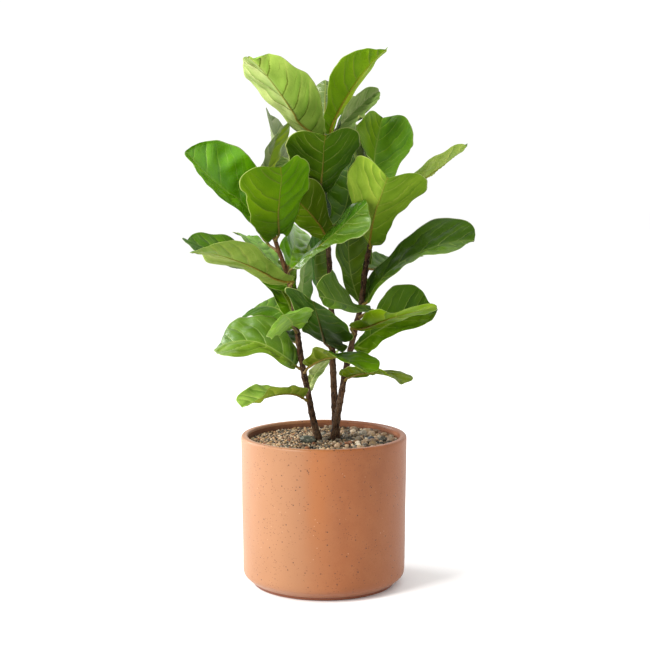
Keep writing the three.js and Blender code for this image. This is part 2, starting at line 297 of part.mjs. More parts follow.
    [-3, -0.9, 0.6, 5.5, 4.1, 0.2, -0.3, 0, 0.2, 0.3, 1.3, -0.9, -1.2, -3.4, 0.1, -0.8, -0.5, -0.1, 0.1, 0.1, -1.3, -2.4, 0.3, 5.4, 4.6, -1.3, -1.1, 0.4, 1, 0.9],
    [1, 1.3, 0.2, -0.8, -1, -1.7, -1.4, -1.3, -1, -1.6, 0.2, -0, -0.7, -1.7, -3, -4.2, -4.7, -3.3, -3.2, -6.3, -1.4, -2.4, -1.1, -0.4, -1, -0.3, -1.7, 1.9, 0.9, 0.2],
    [-9, -9, -5.7, -0.8, 3.9, 6.6, 6.9, 6, 2.8, -0.2],
  ],
  leaf_right_11: [
    [3.8, -1.5, -4.9, 0.8, 0.7, 0, -0.7, -0.5, 0.1, -1.4, 0.6, -2, -4.4, -3.6, -1.6, -0.4, -3.9, -2, 0.1, -3.2, -1.6, 0.9, 1.4, -3.9, -1, -2.3, -3.6, -0.9, -0.8, -0.1],
    [-1.5, -2.7, -1.2, 0.8, -1.7, 1.3, -0.2, 2.2, 2, -0.5, 1.8, 2.4, -0.1, -3.5, -0.6, -2.8, -1.4, 0.6, 0.6, -3.9, 1.9, 3.8, 1.5, -2.1, 0.3, -1.4, -0.3, 0.4, 0.4, -1.5],
    [0, 0, 0, 0, 0, 0, 0, 0, 0, 0],
  ],
  leaf_right_12: [
    [-2.3, -0.3, 1, 3.5, 0.9, -1, -0.5, 0.2, -0.3, -1.6, -0, -0.6, -1.1, -2, -1, -0.1, 0.5, 1.3, 1.9, 3.5, -1.9, -1, -0.5, 0.3, -2.1, -2.8, 1.7, 7, 2.4, -4.3],
    [0.6, 3.2, 0.9, -0.6, -0.5, -0.2, 0.1, 2.1, 1.4, -0.1, 0.2, 0.4, -1.1, -1, -0.4, 0.4, 1.3, 2.3, 1, -0.1, -1.9, -7.2, -4.6, 0.6, 1.6, 0.5, -2, 1.4, 1.7, -0.1],
    [0, 0, 0, 0, 0, 0, 0, 0, 0, 0],
  ],
};

// Leaves. Each row: name, stem,
// stalk start beside the stem [x, y, z], the direction it leaves in, blade base [x, y, z],
// azimuth, elevation and roll of the blade at its base (radians), blade length, blade width,
// droop and its growth, sideways bend, twist (radians over the length),
// fold and cup of the right half, fold and cup of the left half (radians), notch at the tip,
// width factors of the right half, width factors of the left half.
const LEAVES = [
  ["leaf_left_01", "stem_left", [-97.3, -7.8, 664.5], [-0.562, 0.827, 0.0], [-104.0, 2.0, 684.2], 2.581, 1.567, -0.008, 158.4, 70.8, -0.866, -0.577, 0.092, 0.227, 0.12, 0.048, 0.092, 0.03, -0.014, [0.89, 1.15, 0.99, 0.9], [0.89, 1.1, 1.01, 0.99]],
  ["leaf_left_02", "stem_left", [-94.3, -6.8, 660.5], [-0.038, 0.999, 0.0], [-95.6, 28.0, 676.5], 1.313, 1.033, 1.594, 193.7, 115.5, 0.282, 0.027, 0.143, -0.347, 0.042, -0.003, 0.297, 0.162, 0.004, [1.0, 1.0, 1.0, 0.98], [1.0, 1.0, 1.01, 1.0]],
  ["leaf_left_03", "stem_left", [-91.6, -5.7, 639.9], [-0.119, 0.993, 0.0], [-94.7, 20.0, 655.3], 1.925, 0.44, -0.0, 195.6, 117.4, 0.288, -0.0, -0.0, -0.0, 0.2, 0.1, 0.2, 0.1, 0.0, [1.0, 1.0, 1.0, 1.0], [1.0, 1.0, 1.0, 1.0]],
  ["leaf_left_04", "stem_left", [-84.7, -15.6, 623.7], [0.303, -0.953, 0.0], [-78.9, -34.0, 635.5], -1.518, 0.407, 0.304, 208.8, 139.2, -0.272, 0.407, 0.107, -0.106, -0.016, -0.036, 0.218, 0.12, 0.065, [1.12, 1.0, 0.83, 1.2], [1.08, 1.03, 0.85, 0.88]],
  ["leaf_left_05", "stem_left", [-83.9, -5.2, 603.8], [-0.676, 0.737, 0.0], [-101.5, 14.0, 618.2], -2.356, 1.071, -0.944, 226.4, 148.5, 0.299, -0.997, 0.113, 0.094, 0.684, 0.41, 0.138, 0.058, -0.038, [0.5, 1.33, 1.01, 0.77], [0.96, 1.0, 1.09, 0.97]],
  ["leaf_left_06", "stem_left", [-63.5, -13.9, 560.0], [0.272, -0.962, 0.0], [-55.1, -43.7, 576.0], -0.669, 0.684, 0.37, 190.2, 100.5, 0.056, -0.248, 0.21, 0.58, -0.133, -0.12, -0.01, -0.043, -0.02, [0.97, 0.74, 0.82, 1.27], [1.01, 1.01, 0.96, 0.8]],
  ["leaf_left_07", "stem_left", [-64.8, -1.7, 559.1], [0.029, 1.0, 0.0], [-64.1, 22.8, 573.8], 1.385, 0.524, 0.712, 186.9, 108.5, 0.406, -0.009, -0.01, 0.316, 0.177, 0.094, 0.317, 0.167, 0.001, [1.0, 0.98, 0.84, 1.02], [1.14, 0.91, 1.0, 1.0]],
  ["leaf_left_08", "stem_left", [-65.3, -2.0, 549.2], [-0.466, 0.885, 0.0], [-71.6, 9.8, 561.8], 2.115, 0.376, 0.545, 173.8, 97.7, -0.003, 0.106, -0.218, -0.354, -0.016, -0.045, 0.104, 0.037, 0.002, [1.0, 0.91, 0.98, 0.98], [1.0, 1.0, 1.0, 1.0]],
  ["leaf_left_09", "stem_left", [-59.4, -13.4, 541.9], [0.183, -0.983, 0.0], [-56.3, -30.0, 552.1], -2.524, 0.193, 0.313, 206.2, 121.0, 0.208, 1.255, -0.031, -0.401, -0.061, -0.073, 0.326, 0.181, -0.027, [1.09, 0.83, 1.1, 0.87], [0.69, 1.06, 1.15, 0.98]],
  ["leaf_left_10", "stem_left", [-56.9, -0.1, 521.8], [-0.073, 0.997, 0.0], [-58.2, 18.3, 533.0], 2.741, 0.417, -0.278, 220.9, 132.6, 0.001, -0.073, 0.125, 0.209, 0.191, 0.094, 0.133, 0.056, 0.012, [1.0, 1.03, 1.01, 0.96], [1.0, 1.0, 1.01, 0.98]],
  ["leaf_left_11", "stem_left", [-52.6, 1.6, 480.1], [-0.358, 0.934, 0.0], [-57.4, 14.0, 488.4], 2.016, 0.779, -0.145, 176.0, 100.4, 0.588, -0.08, -0.031, 0.201, 0.2, 0.1, 0.193, 0.102, 0.0, [1.0, 1.0, 1.0, 1.0], [0.95, 0.95, 1.0, 1.0]],
  ["leaf_left_12", "stem_left", [-46.2, 0.3, 482.2], [0.657, 0.754, 0.0], [-42.9, 4.0, 485.7], 1.455, 1.155, 0.677, 131.6, 56.6, -0.161, 0.045, -0.003, 0.879, 0.166, 0.075, 0.294, 0.161, -0.0, [0.99, 1.11, 0.98, 0.97], [0.96, 1.05, 1.0, 1.0]],
  ["leaf_left_13", "stem_left", [-49.0, -10.2, 458.4], [-0.196, -0.981, 0.0], [-55.9, -44.7, 474.4], -1.534, 0.225, -2.488, 197.8, 103.4, 0.043, -0.201, 0.172, 0.264, 0.493, 0.302, -0.002, -0.032, 0.011, [1.04, 1.0, 0.83, 1.04], [1.0, 1.09, 0.91, 0.96]],
  ["leaf_left_14", "stem_left", [-50.1, 2.7, 456.2], [-0.399, 0.917, 0.0], [-53.6, 10.8, 462.0], 1.952, 0.493, -0.242, 166.8, 103.4, 0.731, 0.238, 0.412, 0.178, 0.193, 0.099, -0.187, -0.142, 0.002, [1.0, 1.0, 0.96, 0.98], [1.07, 1.19, 0.79, 1.0]],
  ["leaf_left_15", "stem_left", [-47.2, 3.8, 433.4], [-0.44, 0.898, 0.0], [-50.2, 10.0, 438.1], 2.079, 0.11, -0.059, 182.9, 91.5, 0.283, -0.001, 0.0, -0.019, 0.2, 0.1, 0.2, 0.1, 0.0, [1.0, 1.0, 1.0, 1.0], [1.0, 1.0, 1.0, 1.0]],
  ["leaf_left_16", "stem_left", [-33.9, -7.6, 385.3], [0.342, -0.94, 0.0], [-26.5, -27.8, 398.4], -1.096, 0.465, 0.006, 199.7, 98.0, 0.926, 0.387, 0.129, 0.116, 0.385, 0.206, 0.074, 0.019, -0.013, [0.85, 1.11, 1.11, 1.0], [0.99, 1.08, 0.88, 0.88]],
  ["leaf_left_17", "stem_left", [-44.8, -1.5, 392.1], [-0.996, -0.091, 0.0], [-50.1, -2.0, 396.2], -2.31, 0.848, -1.309, 169.9, 117.7, 1.835, -0.274, -0.034, 0.484, 0.258, 0.101, 0.096, 0.036, -0.049, [0.9, 1.45, 1.0, 0.99], [0.9, 0.77, 1.13, 0.93]],
  ["leaf_left_18", "stem_left", [-29.2, 6.2, 348.1], [-0.053, 0.999, 0.0], [-29.3, 8.0, 350.1], 1.267, 0.562, -0.339, 137.8, 59.3, 0.401, -0.04, -0.036, -0.326, 0.12, 0.048, 0.073, 0.017, -0.001, [1.0, 1.0, 1.0, 1.0], [0.97, 1.03, 1.02, 1.0]],
  ["leaf_left_19", "stem_left", [-32.3, -6.1, 334.7], [-0.801, -0.598, 0.0], [-37.5, -10.0, 339.3], -1.887, 0.418, -0.161, 176.4, 82.0, 0.947, 0.098, -0.448, -0.425, 0.061, 0.009, 0.684, 0.425, 0.007, [1.0, 1.05, 1.0, 0.87], [1.0, 1.02, 0.95, 1.0]],
  ["leaf_centre_01", "stem_centre", [6.4, -0.7, 782.1], [0.768, -0.641, 0.0], [10.4, -4.0, 810.0], -0.569, 1.196, -0.147, 188.3, 115.6, 0.584, -0.17, -0.029, 0.157, 0.277, 0.14, 0.287, 0.164, -0.032, [0.8, 1.16, 1.11, 0.95], [0.93, 1.03, 1.03, 0.94]],
  ["leaf_centre_02", "stem_centre", [2.0, -2.3, 782.1], [-0.182, -0.983, 0.0], [0.2, -12.0, 808.2], -2.279, 0.117, 0.009, 225.1, 138.8, -0.432, 1.696, -0.204, -0.478, -0.055, -0.067, 0.59, 0.338, -0.045, [1.0, 0.89, 1.05, 1.03], [0.87, 1.34, 0.9, 0.76]],
  ["leaf_centre_03", "stem_centre", [7.1, 4.1, 782.1], [0.918, 0.397, 0.0], [16.2, 8.0, 806.5], 1.578, 0.239, 1.085, 190.4, 116.9, -1.33, -0.409, -0.214, -0.523, 0.96, 0.493, 0.761, 0.568, -0.011, [1.25, 1.11, 0.91, 0.95], [1.04, 1.13, 0.7, 0.6]],
  ["leaf_centre_04", "stem_centre", [-0.3, 5.6, 782.1], [-0.693, 0.721, 0.0], [-2.3, 7.7, 806.4], 1.505, 0.534, 0.019, 177.2, 89.1, -0.175, -0.018, 0.052, 0.007, -0.503, -0.398, -0.488, -0.382, 0.003, [1.0, 1.0, 0.9, 0.95], [1.0, 1.0, 0.91, 0.95]],
  ["leaf_centre_05", "stem_centre", [-3.0, 0.7, 696.7], [-0.259, -0.966, 0.0], [-6.9, -14.0, 706.0], -1.556, 0.313, -0.03, 201.9, 140.5, -0.386, 0.141, 0.081, 0.144, 0.261, 0.125, 0.293, 0.165, 0.019, [1.12, 1.12, 0.91, 0.99], [0.9, 1.04, 1.0, 1.0]],
  ["leaf_centre_06", "stem_centre", [-5.9, 10.5, 676.4], [-0.858, 0.514, 0.0], [-15.1, 16.0, 683.2], 0.35, 1.57, 0.329, 127.7, 77.8, -1.39, 0.202, 0.013, 0.173, 0.305, 0.168, 0.41, 0.231, -0.002, [1.0, 1.0, 1.0, 1.0], [1.0, 1.0, 1.02, 1.02]],
  ["leaf_centre_07", "stem_centre", [6.7, 15.0, 636.9], [0.425, 0.905, 0.0], [12.8, 28.0, 645.9], 1.04, 0.205, -0.18, 181.1, 106.7, -1.147, 0.343, 0.027, -0.595, 0.183, 0.091, 0.206, 0.104, -0.003, [1.04, 0.99, 0.95, 0.98], [0.99, 0.96, 1.02, 1.03]],
  ["leaf_centre_08", "stem_centre", [6.3, 16.2, 625.2], [0.11, 0.994, 0.0], [7.4, 26.0, 631.6], 2.02, 0.357, 0.697, 196.1, 128.5, -0.742, 0.098, -0.004, 0.037, 0.106, 0.034, 0.23, 0.119, -0.005, [1.0, 1.03, 1.19, 0.93], [1.01, 1.0, 1.0, 1.0]],
  ["leaf_centre_09", "stem_centre", [6.3, 4.0, 614.8], [-0.121, -0.993, 0.0], [5.0, -6.0, 621.2], -2.087, 0.816, 0.312, 147.1, 91.8, 0.047, -0.117, -0.25, 0.307, 0.073, 0.016, 0.2, 0.1, 0.0, [1.0, 1.08, 1.0, 1.0], [1.0, 1.0, 1.0, 1.0]],
  ["leaf_centre_10", "stem_centre", [10.8, 20.6, 502.3], [-0.337, 0.941, 0.0], [9.3, 24.5, 505.5], 2.188, 0.395, 0.648, 177.0, 81.1, -1.092, 0.219, -0.03, -0.045, 0.093, 0.03, 0.166, 0.078, 0.0, [0.99, 0.98, 1.04, 1.01], [1.0, 1.0, 0.99, 1.0]],
  ["leaf_centre_11", "stem_centre", [11.8, 8.7, 426.5], [-0.465, -0.885, 0.0], [2.0, -10.0, 439.0], -1.656, 0.441, -0.273, 203.9, 137.2, -0.05, 0.035, -0.074, -0.32, 0.067, 0.012, 0.022, -0.016, -0.001, [1.19, 0.96, 1.0, 1.0], [1.04, 1.03, 1.02, 0.98]],
  ["leaf_right_01", "stem_right", [90.1, 8.6, 706.2], [0.192, 0.981, 0.0], [90.4, 10.0, 731.6], 1.671, 0.094, 0.693, 209.3, 142.8, -1.214, -0.401, 0.075, -0.65, 0.479, 0.238, 0.532, 0.325, 0.024, [1.12, 1.09, 1.02, 1.02], [1.11, 1.13, 0.87, 0.74]],
  ["leaf_right_02", "stem_right", [88.9, 8.5, 685.4], [-0.193, 0.981, 0.0], [85.5, 25.9, 696.0], 1.658, 0.672, 0.205, 186.2, 114.6, 0.15, 0.142, -0.062, 0.666, 0.2, 0.1, 0.236, 0.119, 0.0, [1.0, 1.0, 1.0, 1.0], [1.09, 1.0, 0.95, 1.0]],
  ["leaf_right_03", "stem_right", [94.7, 1.8, 688.2], [0.943, -0.332, 0.0], [101.4, -0.6, 693.0], -0.353, 0.375, -0.135, 184.3, 105.8, -0.334, 0.066, -0.028, 0.166, 0.181, 0.087, 0.142, 0.062, 0.004, [1.0, 0.99, 1.03, 0.98], [1.0, 1.0, 1.0, 1.0]],
  ["leaf_right_04", "stem_right", [90.8, 8.3, 659.1], [0.292, 0.956, 0.0], [93.1, 16.0, 664.5], 1.303, 0.443, -0.0, 186.4, 111.8, 0.279, -0.0, -0.0, -0.0, 0.2, 0.1, 0.2, 0.1, 0.0, [1.0, 1.0, 1.0, 1.0], [1.0, 1.0, 1.0, 1.0]],
  ["leaf_right_05", "stem_right", [82.9, -4.5, 609.1], [0.177, -0.984, 0.0], [83.9, -9.8, 613.1], -1.605, 0.673, -0.257, 212.3, 152.2, 0.11, 0.324, 0.275, 0.072, 0.45, 0.233, 0.393, 0.222, 0.022, [0.8, 1.29, 0.98, 1.01], [0.83, 0.92, 1.13, 1.09]],
  ["leaf_right_06", "stem_right", [75.6, 6.3, 561.5], [0.478, 0.878, 0.0], [82.4, 18.7, 570.0], 1.016, -0.1, -0.053, 183.6, 106.5, -0.255, 0.074, 0.419, -0.022, 0.2, 0.1, 0.268, 0.151, -0.002, [1.0, 1.0, 1.0, 1.0], [0.99, 0.88, 1.0, 1.06]],
  ["leaf_right_07", "stem_right", [71.7, -5.3, 507.9], [0.78, -0.625, 0.0], [77.6, -10.0, 513.0], -0.455, 1.127, 0.39, 237.3, 144.6, 1.071, -0.331, -0.235, -0.098, 0.032, -0.01, 0.352, 0.199, -0.016, [0.99, 1.04, 0.85, 1.12], [1.01, 1.0, 1.07, 0.92]],
  ["leaf_right_08", "stem_right", [64.6, 5.4, 496.8], [0.039, 0.999, 0.0], [65.3, 22.6, 507.1], 1.941, 0.582, 0.201, 172.8, 104.6, -0.677, 0.137, -0.012, 0.419, 0.2, 0.1, 0.223, 0.113, 0.0, [1.0, 1.0, 1.0, 1.0], [1.05, 1.0, 0.96, 1.0]],
  ["leaf_right_09", "stem_right", [65.3, -7.5, 485.2], [0.569, -0.822, 0.0], [85.1, -36.0, 501.2], -2.005, -0.045, -0.158, 180.0, 96.2, 0.055, 1.277, -0.341, -0.921, 0.322, 0.188, 0.287, 0.179, 0.017, [0.86, 1.01, 1.02, 1.02], [0.94, 1.0, 0.93, 0.94]],
  ["leaf_right_10", "stem_right", [53.2, -9.9, 455.4], [-0.145, -0.989, 0.0], [49.9, -32.3, 469.1], -0.984, 0.199, -0.39, 191.4, 85.1, -0.194, 0.312, 0.53, 0.47, 0.129, 0.057, 0.011, -0.024, -0.004, [0.94, 1.16, 0.68, 1.0], [1.07, 0.97, 0.92, 0.98]],
  ["leaf_right_11", "stem_right", [48.2, 2.3, 418.0], [0.361, 0.933, 0.0], [52.7, 14.0, 425.8], 0.704, 0.501, 1.0, 197.7, 116.2, 0.237, 0.158, -0.42, -0.927, 0.276, 0.165, 0.677, 0.387, -0.035, [1.01, 0.83, 1.07, 0.91], [0.57, 1.17, 1.11, 1.02]],
  ["leaf_right_12", "stem_right", [39.2, -12.1, 372.3], [0.444, -0.896, 0.0], [43.1, -20.0, 378.1], -1.3, 0.279, 0.152, 181.2, 94.3, 0.723, 0.683, 0.515, 0.141, 0.443, 0.253, -0.109, -0.101, -0.006, [1.09, 1.03, 0.91, 0.99], [1.06, 1.04, 0.99, 0.92]],
];

// ---- helpers ----
function interp(x, xs, ys) {
  if (x <= xs[0]) return ys[0];
  for (let i = 1; i < xs.length; i++)
    if (x <= xs[i])
      return ys[i - 1] + ((ys[i] - ys[i - 1]) * (x - xs[i - 1])) / (xs[i] - xs[i - 1]);
  return ys[ys.length - 1];
}

// A closed skin over a stack of rings that all have the same number of points.
// On a sheet, the second half of each ring lies under the first: both sides of a cell then split along
// the same diagonal, and the ends close in strips from one side to the other, so that thin sheets stay clear of themselves.
function loft(rings, sheet = false) {
  const n = rings[0].length;
  const verts = [];
  for (const ring of rings) for (const p of ring) verts.push(p.x, p.y, p.z);
  const index = [];
  for (let i = 0; i + 1 < rings.length; i++)
    for (let j = 0; j < n; j++) {
      const a = i * n + j,
        b = i * n + ((j + 1) % n),
        c = a + n,
        d = b + n;
      if (sheet && j >= n / 2) index.push(a, b, c, b, d, c);
      else index.push(a, b, d, a, d, c);
    }
  const cap = [];
  if (sheet)
    for (let j = 0; j < n / 2; j++) {
      const [a, b, c, d] = [j, j + 1, n - j - 1, (n - j) % n];
      if (c !== b) cap.push([a, b, c]);
      if (d !== a) cap.push([a, c, d]);
    }
  else for (let j = 1; j + 1 < n; j++) cap.push([0, j, j + 1]);
  const last = (rings.length - 1) * n;
  for (const [a, b, c] of cap) index.push(a, c, b, last + a, last + b, last + c);
  return closed(verts, index);
}

// An indexed geometry whose faces point outwards.
function closed(verts, index) {
  let volume = 0;
  const at = (i) => new THREE.Vector3(verts[3 * i], verts[3 * i + 1], verts[3 * i + 2]);
  for (let i = 0; i < index.length; i += 3) {
    const a = at(index[i]),
      b = at(index[i + 1]),
      c = at(index[i + 2]);
    volume += a.dot(b.clone().cross(c));
  }
  if (volume < 0)
    for (let i = 0; i < index.length; i += 3) [index[i + 1], index[i + 2]] = [index[i + 2], index[i + 1]];
  const g = new THREE.BufferGeometry();
  g.setAttribute("position", new THREE.Float32BufferAttribute(verts, 3));
  g.setIndex(index);
  g.computeVertexNormals();
  return g;
}

const wasm = await Module();
wasm.setup();

function toSolid(geometry) {
  const g = geometry.clone();
  g.deleteAttribute("normal");
  g.deleteAttribute("uv");
  const merged = mergeVertices(g, 1e-4);
  const idx = merged.index.array;
  const keep = [];
  for (let i = 0; i < idx.length; i += 3)
    if (idx[i] !== idx[i + 1] && idx[i + 1] !== idx[i + 2] && idx[i] !== idx[i + 2])
      keep.push(idx[i], idx[i + 1], idx[i + 2]);
  return new wasm.Manifold(
    new wasm.Mesh({
      numProp: 3,
      vertProperties: merged.attributes.position.array,
      triVerts: new Uint32Array(keep),
    }),
  );
}

function fromSolid(solid) {
  const m = solid.getMesh();
  const v = new Float32Array(m.numVert * 3);
  for (let i = 0; i < m.numVert; i++)
    for (let k = 0; k < 3; k++) v[3 * i + k] = m.vertProperties[i * m.numProp + k];
  const g = new THREE.BufferGeometry();
  g.setAttribute("position", new THREE.BufferAttribute(v, 3));
  g.setIndex(new THREE.BufferAttribute(m.triVerts, 1));
  g.computeVertexNormals();
  return g;
}

// A solid of revolution about Z from a closed half profile of [radius, height].
function turned(profile, sides) {
  const g = new THREE.LatheGeometry(
    profile.map(([r, z]) => new THREE.Vector2(r, z)),
    sides,
  );
  g.rotateX(Math.PI / 2);
  return g;
}

// ---- leaf surface ----
function turn(v, axis, angle) {
  return v.clone().applyAxisAngle(axis, angle);
}

// The moving frame of a midrib: point, tangent, upper side and right side at each step.
function midrib(leaf) {
  let t = new THREE.Vector3(
    Math.cos(leaf.el) * Math.cos(leaf.az),
    Math.cos(leaf.el) * Math.sin(leaf.az),
    Math.sin(leaf.el),
  );
  let n = new THREE.Vector3(
    -Math.sin(leaf.el) * Math.cos(leaf.az),
    -Math.sin(leaf.el) * Math.sin(leaf.az),
    Math.cos(leaf.el),
  );
  n = turn(n, t, leaf.roll);
  let s = t.clone().cross(n);
  const p = new THREE.Vector3(...leaf.base);
  const out = [{ p: p.clone(), t: t.clone(), n: n.clone(), s: s.clone() }];
  const ds = 1 / STEPS;
  for (let i = 0; i < STEPS; i++) {
    const mid = (i + 0.5) * ds;
    const bend = ((leaf.k0 + leaf.k1 * (2 * mid - 1)) * ds) / 2;
    for (let half = 0; half < 2; half++) {
      [t, n] = [turn(t, s, -bend), turn(n, s, -bend)];
      [t, s] = [turn(t, n, (leaf.c0 * ds) / 2), turn(s, n, (leaf.c0 * ds) / 2)];
      [n, s] = [turn(n, t, (leaf.tw * ds) / 2), turn(s, t, (leaf.tw * ds) / 2)];
      if (half === 0) p.addScaledVector(t, leaf.L * ds);
    }
    out.push({ p: p.clone(), t: t.clone(), n: n.clone(), s: s.clone() });
  }
  return out;
}

function frameAt(frames, s) {
  const x = Math.min(Math.max(s, 0), 1) * STEPS;
  const i = Math.min(Math.floor(x), STEPS - 1);
  const f = x - i;
  const mix = (k) => frames[i][k].clone().lerp(frames[i + 1][k], f);
  return { p: mix("p"), t: mix("t").normalize(), n: mix("n").normalize(), s: mix("s").normalize() };
}

// A point of the blade: s runs along the midrib, u runs across from -1 (left margin) to 1 (right margin).
function bladePoint(leaf, frames, s, u) {
  const f = frameAt(frames, s);
  const side = u >= 0 ? 1 : -1;
  const a = Math.abs(u);
  const [fold, cup, keys] = u >= 0 ? [leaf.fR, leaf.gR, leaf.mR] : [leaf.fL, leaf.gL, leaf.mL];
  const own = interp(s, WIDTH_KEYS, [keys[0], ...keys, keys[3]]);
  const w = (leaf.W / 2) * interp(s, OUTLINE_S, OUTLINE_W) * own;
  const ang = fold + (cup * a) / 2;
  const h = (cup * a) / 2;
  const k = Math.abs(h) < 1e-6 ? 1 : Math.sin(h) / h;
  const notch = leaf.q * Math.exp(-(((s - 0.93) / 0.06) ** 2)) * Math.min(1, (1 - s) / 0.02);
  const ahead = leaf.L * a ** 1.5 * (interp(s, OUTLINE_S, OUTLINE_F) + notch);
  const edge = leaf.edges ? (u >= 0 ? leaf.edges[0] : leaf.edges[1]) : null;
  const part = (i) => (edge ? interp(s, [0, ...EDGE_S, 1], [0, ...edge.slice(10 * i, 10 * i + 10), 0]) : 0);
  const e = part(0) * a,
    g = part(1) * a ** 1.6,
    d = part(2) * a ** 2,
    c = leaf.edges ? interp(s, [0, ...EDGE_S, 1], [0, ...leaf.edges[2], 0]) * (1 - a) : 0,
    b = fold + cup * a;
  return f.p
    .clone()
    .addScaledVector(f.t, ahead + g)
    .addScaledVector(f.s, side * w * a * Math.cos(ang) * k + e * side * Math.cos(b) - d * side * Math.sin(b) + c)
    .addScaledVector(f.n, w * a * Math.sin(ang) * k + e * Math.sin(b) + d * Math.cos(b));
}

// One leaf: stalk and blade in one closed skin, eight points to a section.
function leafGeometry(leaf) {
  const frames = midrib(leaf);
  const rings = [];
  const A = new THREE.Vector3(...leaf.start);
  const B = new THREE.Vector3(...leaf.base);
  const reach = A.distanceTo(B);
  const out = new THREE.Vector3(leaf.out[0] * 0.8, leaf.out[1] * 0.8, 0.6);
  const curve = new THREE.CubicBezierCurve3(
    A,
    A.clone().addScaledVector(out, reach * 0.35),
    B.clone().addScaledVector(frames[0].t, -reach * 0.4),
    B,
  );
  for (const u of [0, 1 / 3, 2 / 3]) {
    const c = curve.getPoint(u);
    const d = curve.getTangent(u);
    const s = frames[0].s.clone().addScaledVector(d, -frames[0].s.dot(d)).normalize();
    const n = s.clone().cross(d);
    const r = PETIOLE_R - 0.4 * u;
    rings.push(
      [-90, -45, 0, 45, 90, 135, 180, 225].map((deg) => {
        const a = (deg * Math.PI) / 180;
        return c.clone().addScaledVector(s, r * Math.sin(a)).addScaledVector(n, r * Math.cos(a));
      }),
    );
  }
  const e = 1 / STEPS;
  for (const s of RINGS) {
    const g = [-1, -0.5, 0, 0.5, 1].map((u) => bladePoint(leaf, frames, s, u));
    const up = frameAt(frames, s).n;
    const nrm = (u) => {
      const along = bladePoint(leaf, frames, Math.min(s + e, 1), u).sub(bladePoint(leaf, frames, Math.max(s - e, 0), u));
      const across = bladePoint(leaf, frames, s, u + 0.3).sub(bladePoint(leaf, frames, s, u - 0.3));
      const v = across.cross(along);
      if (v.length() < 1e-6) return up.clone();
      v.normalize();
      return v.dot(up) < 0 ? v.negate() : v;
    };
    const nl = nrm(-0.5),
      nr = nrm(0.5);
    const rib = RIB_BASE * (1 - s) ** 1.2 + RIB_TIP;
    const half = (BLADE / 2) * (s > 0.99 ? 0.6 : 1);
    rings.push([
      g[0],
      g[1].clone().addScaledVector(nl, half),
      g[2].clone().addScaledVector(up, half),
      g[3].clone().addScaledVector(nr, half),
      g[4],
      g[3].clone().addScaledVector(nr, -half),
      g[2].clone().addScaledVector(up, -half - rib),
      g[1].clone().addScaledVector(nl, -half),
    ]);
  }
  return loft(rings, true);
}

// ---- stems ----
const STEM_SIDES = 10;
function stemRings(rows, grow) {
  const [b0, b1] = [rows[0], rows[1]];
  const down = new THREE.Vector3(b0[0] - b1[0], b0[1] - b1[1], b0[2] - b1[2]).normalize();
  const line = [];
  // the buried end: a short tapering foot straight down the stem's own line
  const foot = [
    [ROOT_DEPTH, 5.2],
    [ROOT_DEPTH * 0.5, 7.4],
    [6, 8.2],
  ];
  for (const [depth, r] of foot)
    line.push([b0[0] + down.x * depth * 0.5, b0[1] + down.y * depth * 0.5, b0[2] - depth, r]);
  line.push(...rows.slice(0, -1));
  // the bud at the tip
  const tip = rows[rows.length - 1],
    pre = rows[rows.length - 2];
  const up = new THREE.Vector3(tip[0] - pre[0], tip[1] - pre[1], tip[2] - pre[2]).normalize();
  line.push(tip);
  line.push([tip[0] + up.x * 5, tip[1] + up.y * 5, tip[2] + up.z * 5, tip[3] * 1.05]);
  line.push([tip[0] + up.x * 14, tip[1] + up.y * 14, tip[2] + up.z * 14, 0.9]);
  return line.map(([x, y, z, r]) => {
    const ring = [];
    for (let j = 0; j < STEM_SIDES; j++) {
      const a = (j / STEM_SIDES) * Math.PI * 2;
      ring.push(new THREE.Vector3(x + Math.cos(a) * (r + grow), y + Math.sin(a) * (r + grow), z));
    }
    return ring;
  });
}

// ---- assembly ----
const plant = new THREE.Group();
plant.name = "potted_fiddle_leaf_fig";
const paint = (color, roughness) => new THREE.MeshStandardMaterial({ color, roughness, metalness: 0 });
function add(parent, name, geometry, material) {
  const mesh = new THREE.Mesh(geometry, material);
  mesh.name = name;
  parent.add(mesh);
  return mesh;
}

// pot: one turned body, solid floor and open top
const potProfile = [[0, 0], ...POT_OUTER, ...POT_INNER, [0, POT_FLOOR]];
add(plant, "pot", turned(potProfile, POT_SIDES), paint(0xc9875c, 0.85));

const stemGroup = new THREE.Group();
plant.add(stemGroup);
const stemSockets = [];
for (const [name, rows] of Object.entries(STEMS)) {
  add(stemGroup, name, loft(stemRings(rows, 0)), paint(0x4a372b, 0.9));
  stemSockets.push(toSolid(loft(stemRings(rows, GAP))));
}

// potting mix: fills the pot up to the gravel, with a socket for each buried stem
const innerAt = (z) => {
  const pts = [...POT_INNER].reverse();
  return interp(
    z,
    pts.map((p) => p[1]),
    pts.map((p) => p[0]),
  );
};
const MIX_TOP = GRAVEL_UNDER - GAP;
let mix = toSolid(
  turned(
    [
      [0, POT_FLOOR + GAP],
      [120.5, POT_FLOOR + GAP],
      [127.5, POT_FLOOR + 3 + GAP],
      [133 - GAP, 26 + GAP],
      [innerAt(MIX_TOP) - GAP - 0.35, MIX_TOP],
      [0, MIX_TOP],
    ],
    40,
  ),
);
for (const s of stemSockets) mix = mix.subtract(s);
add(plant, "potting_mix", fromSolid(mix), paint(0x2e2018, 1));

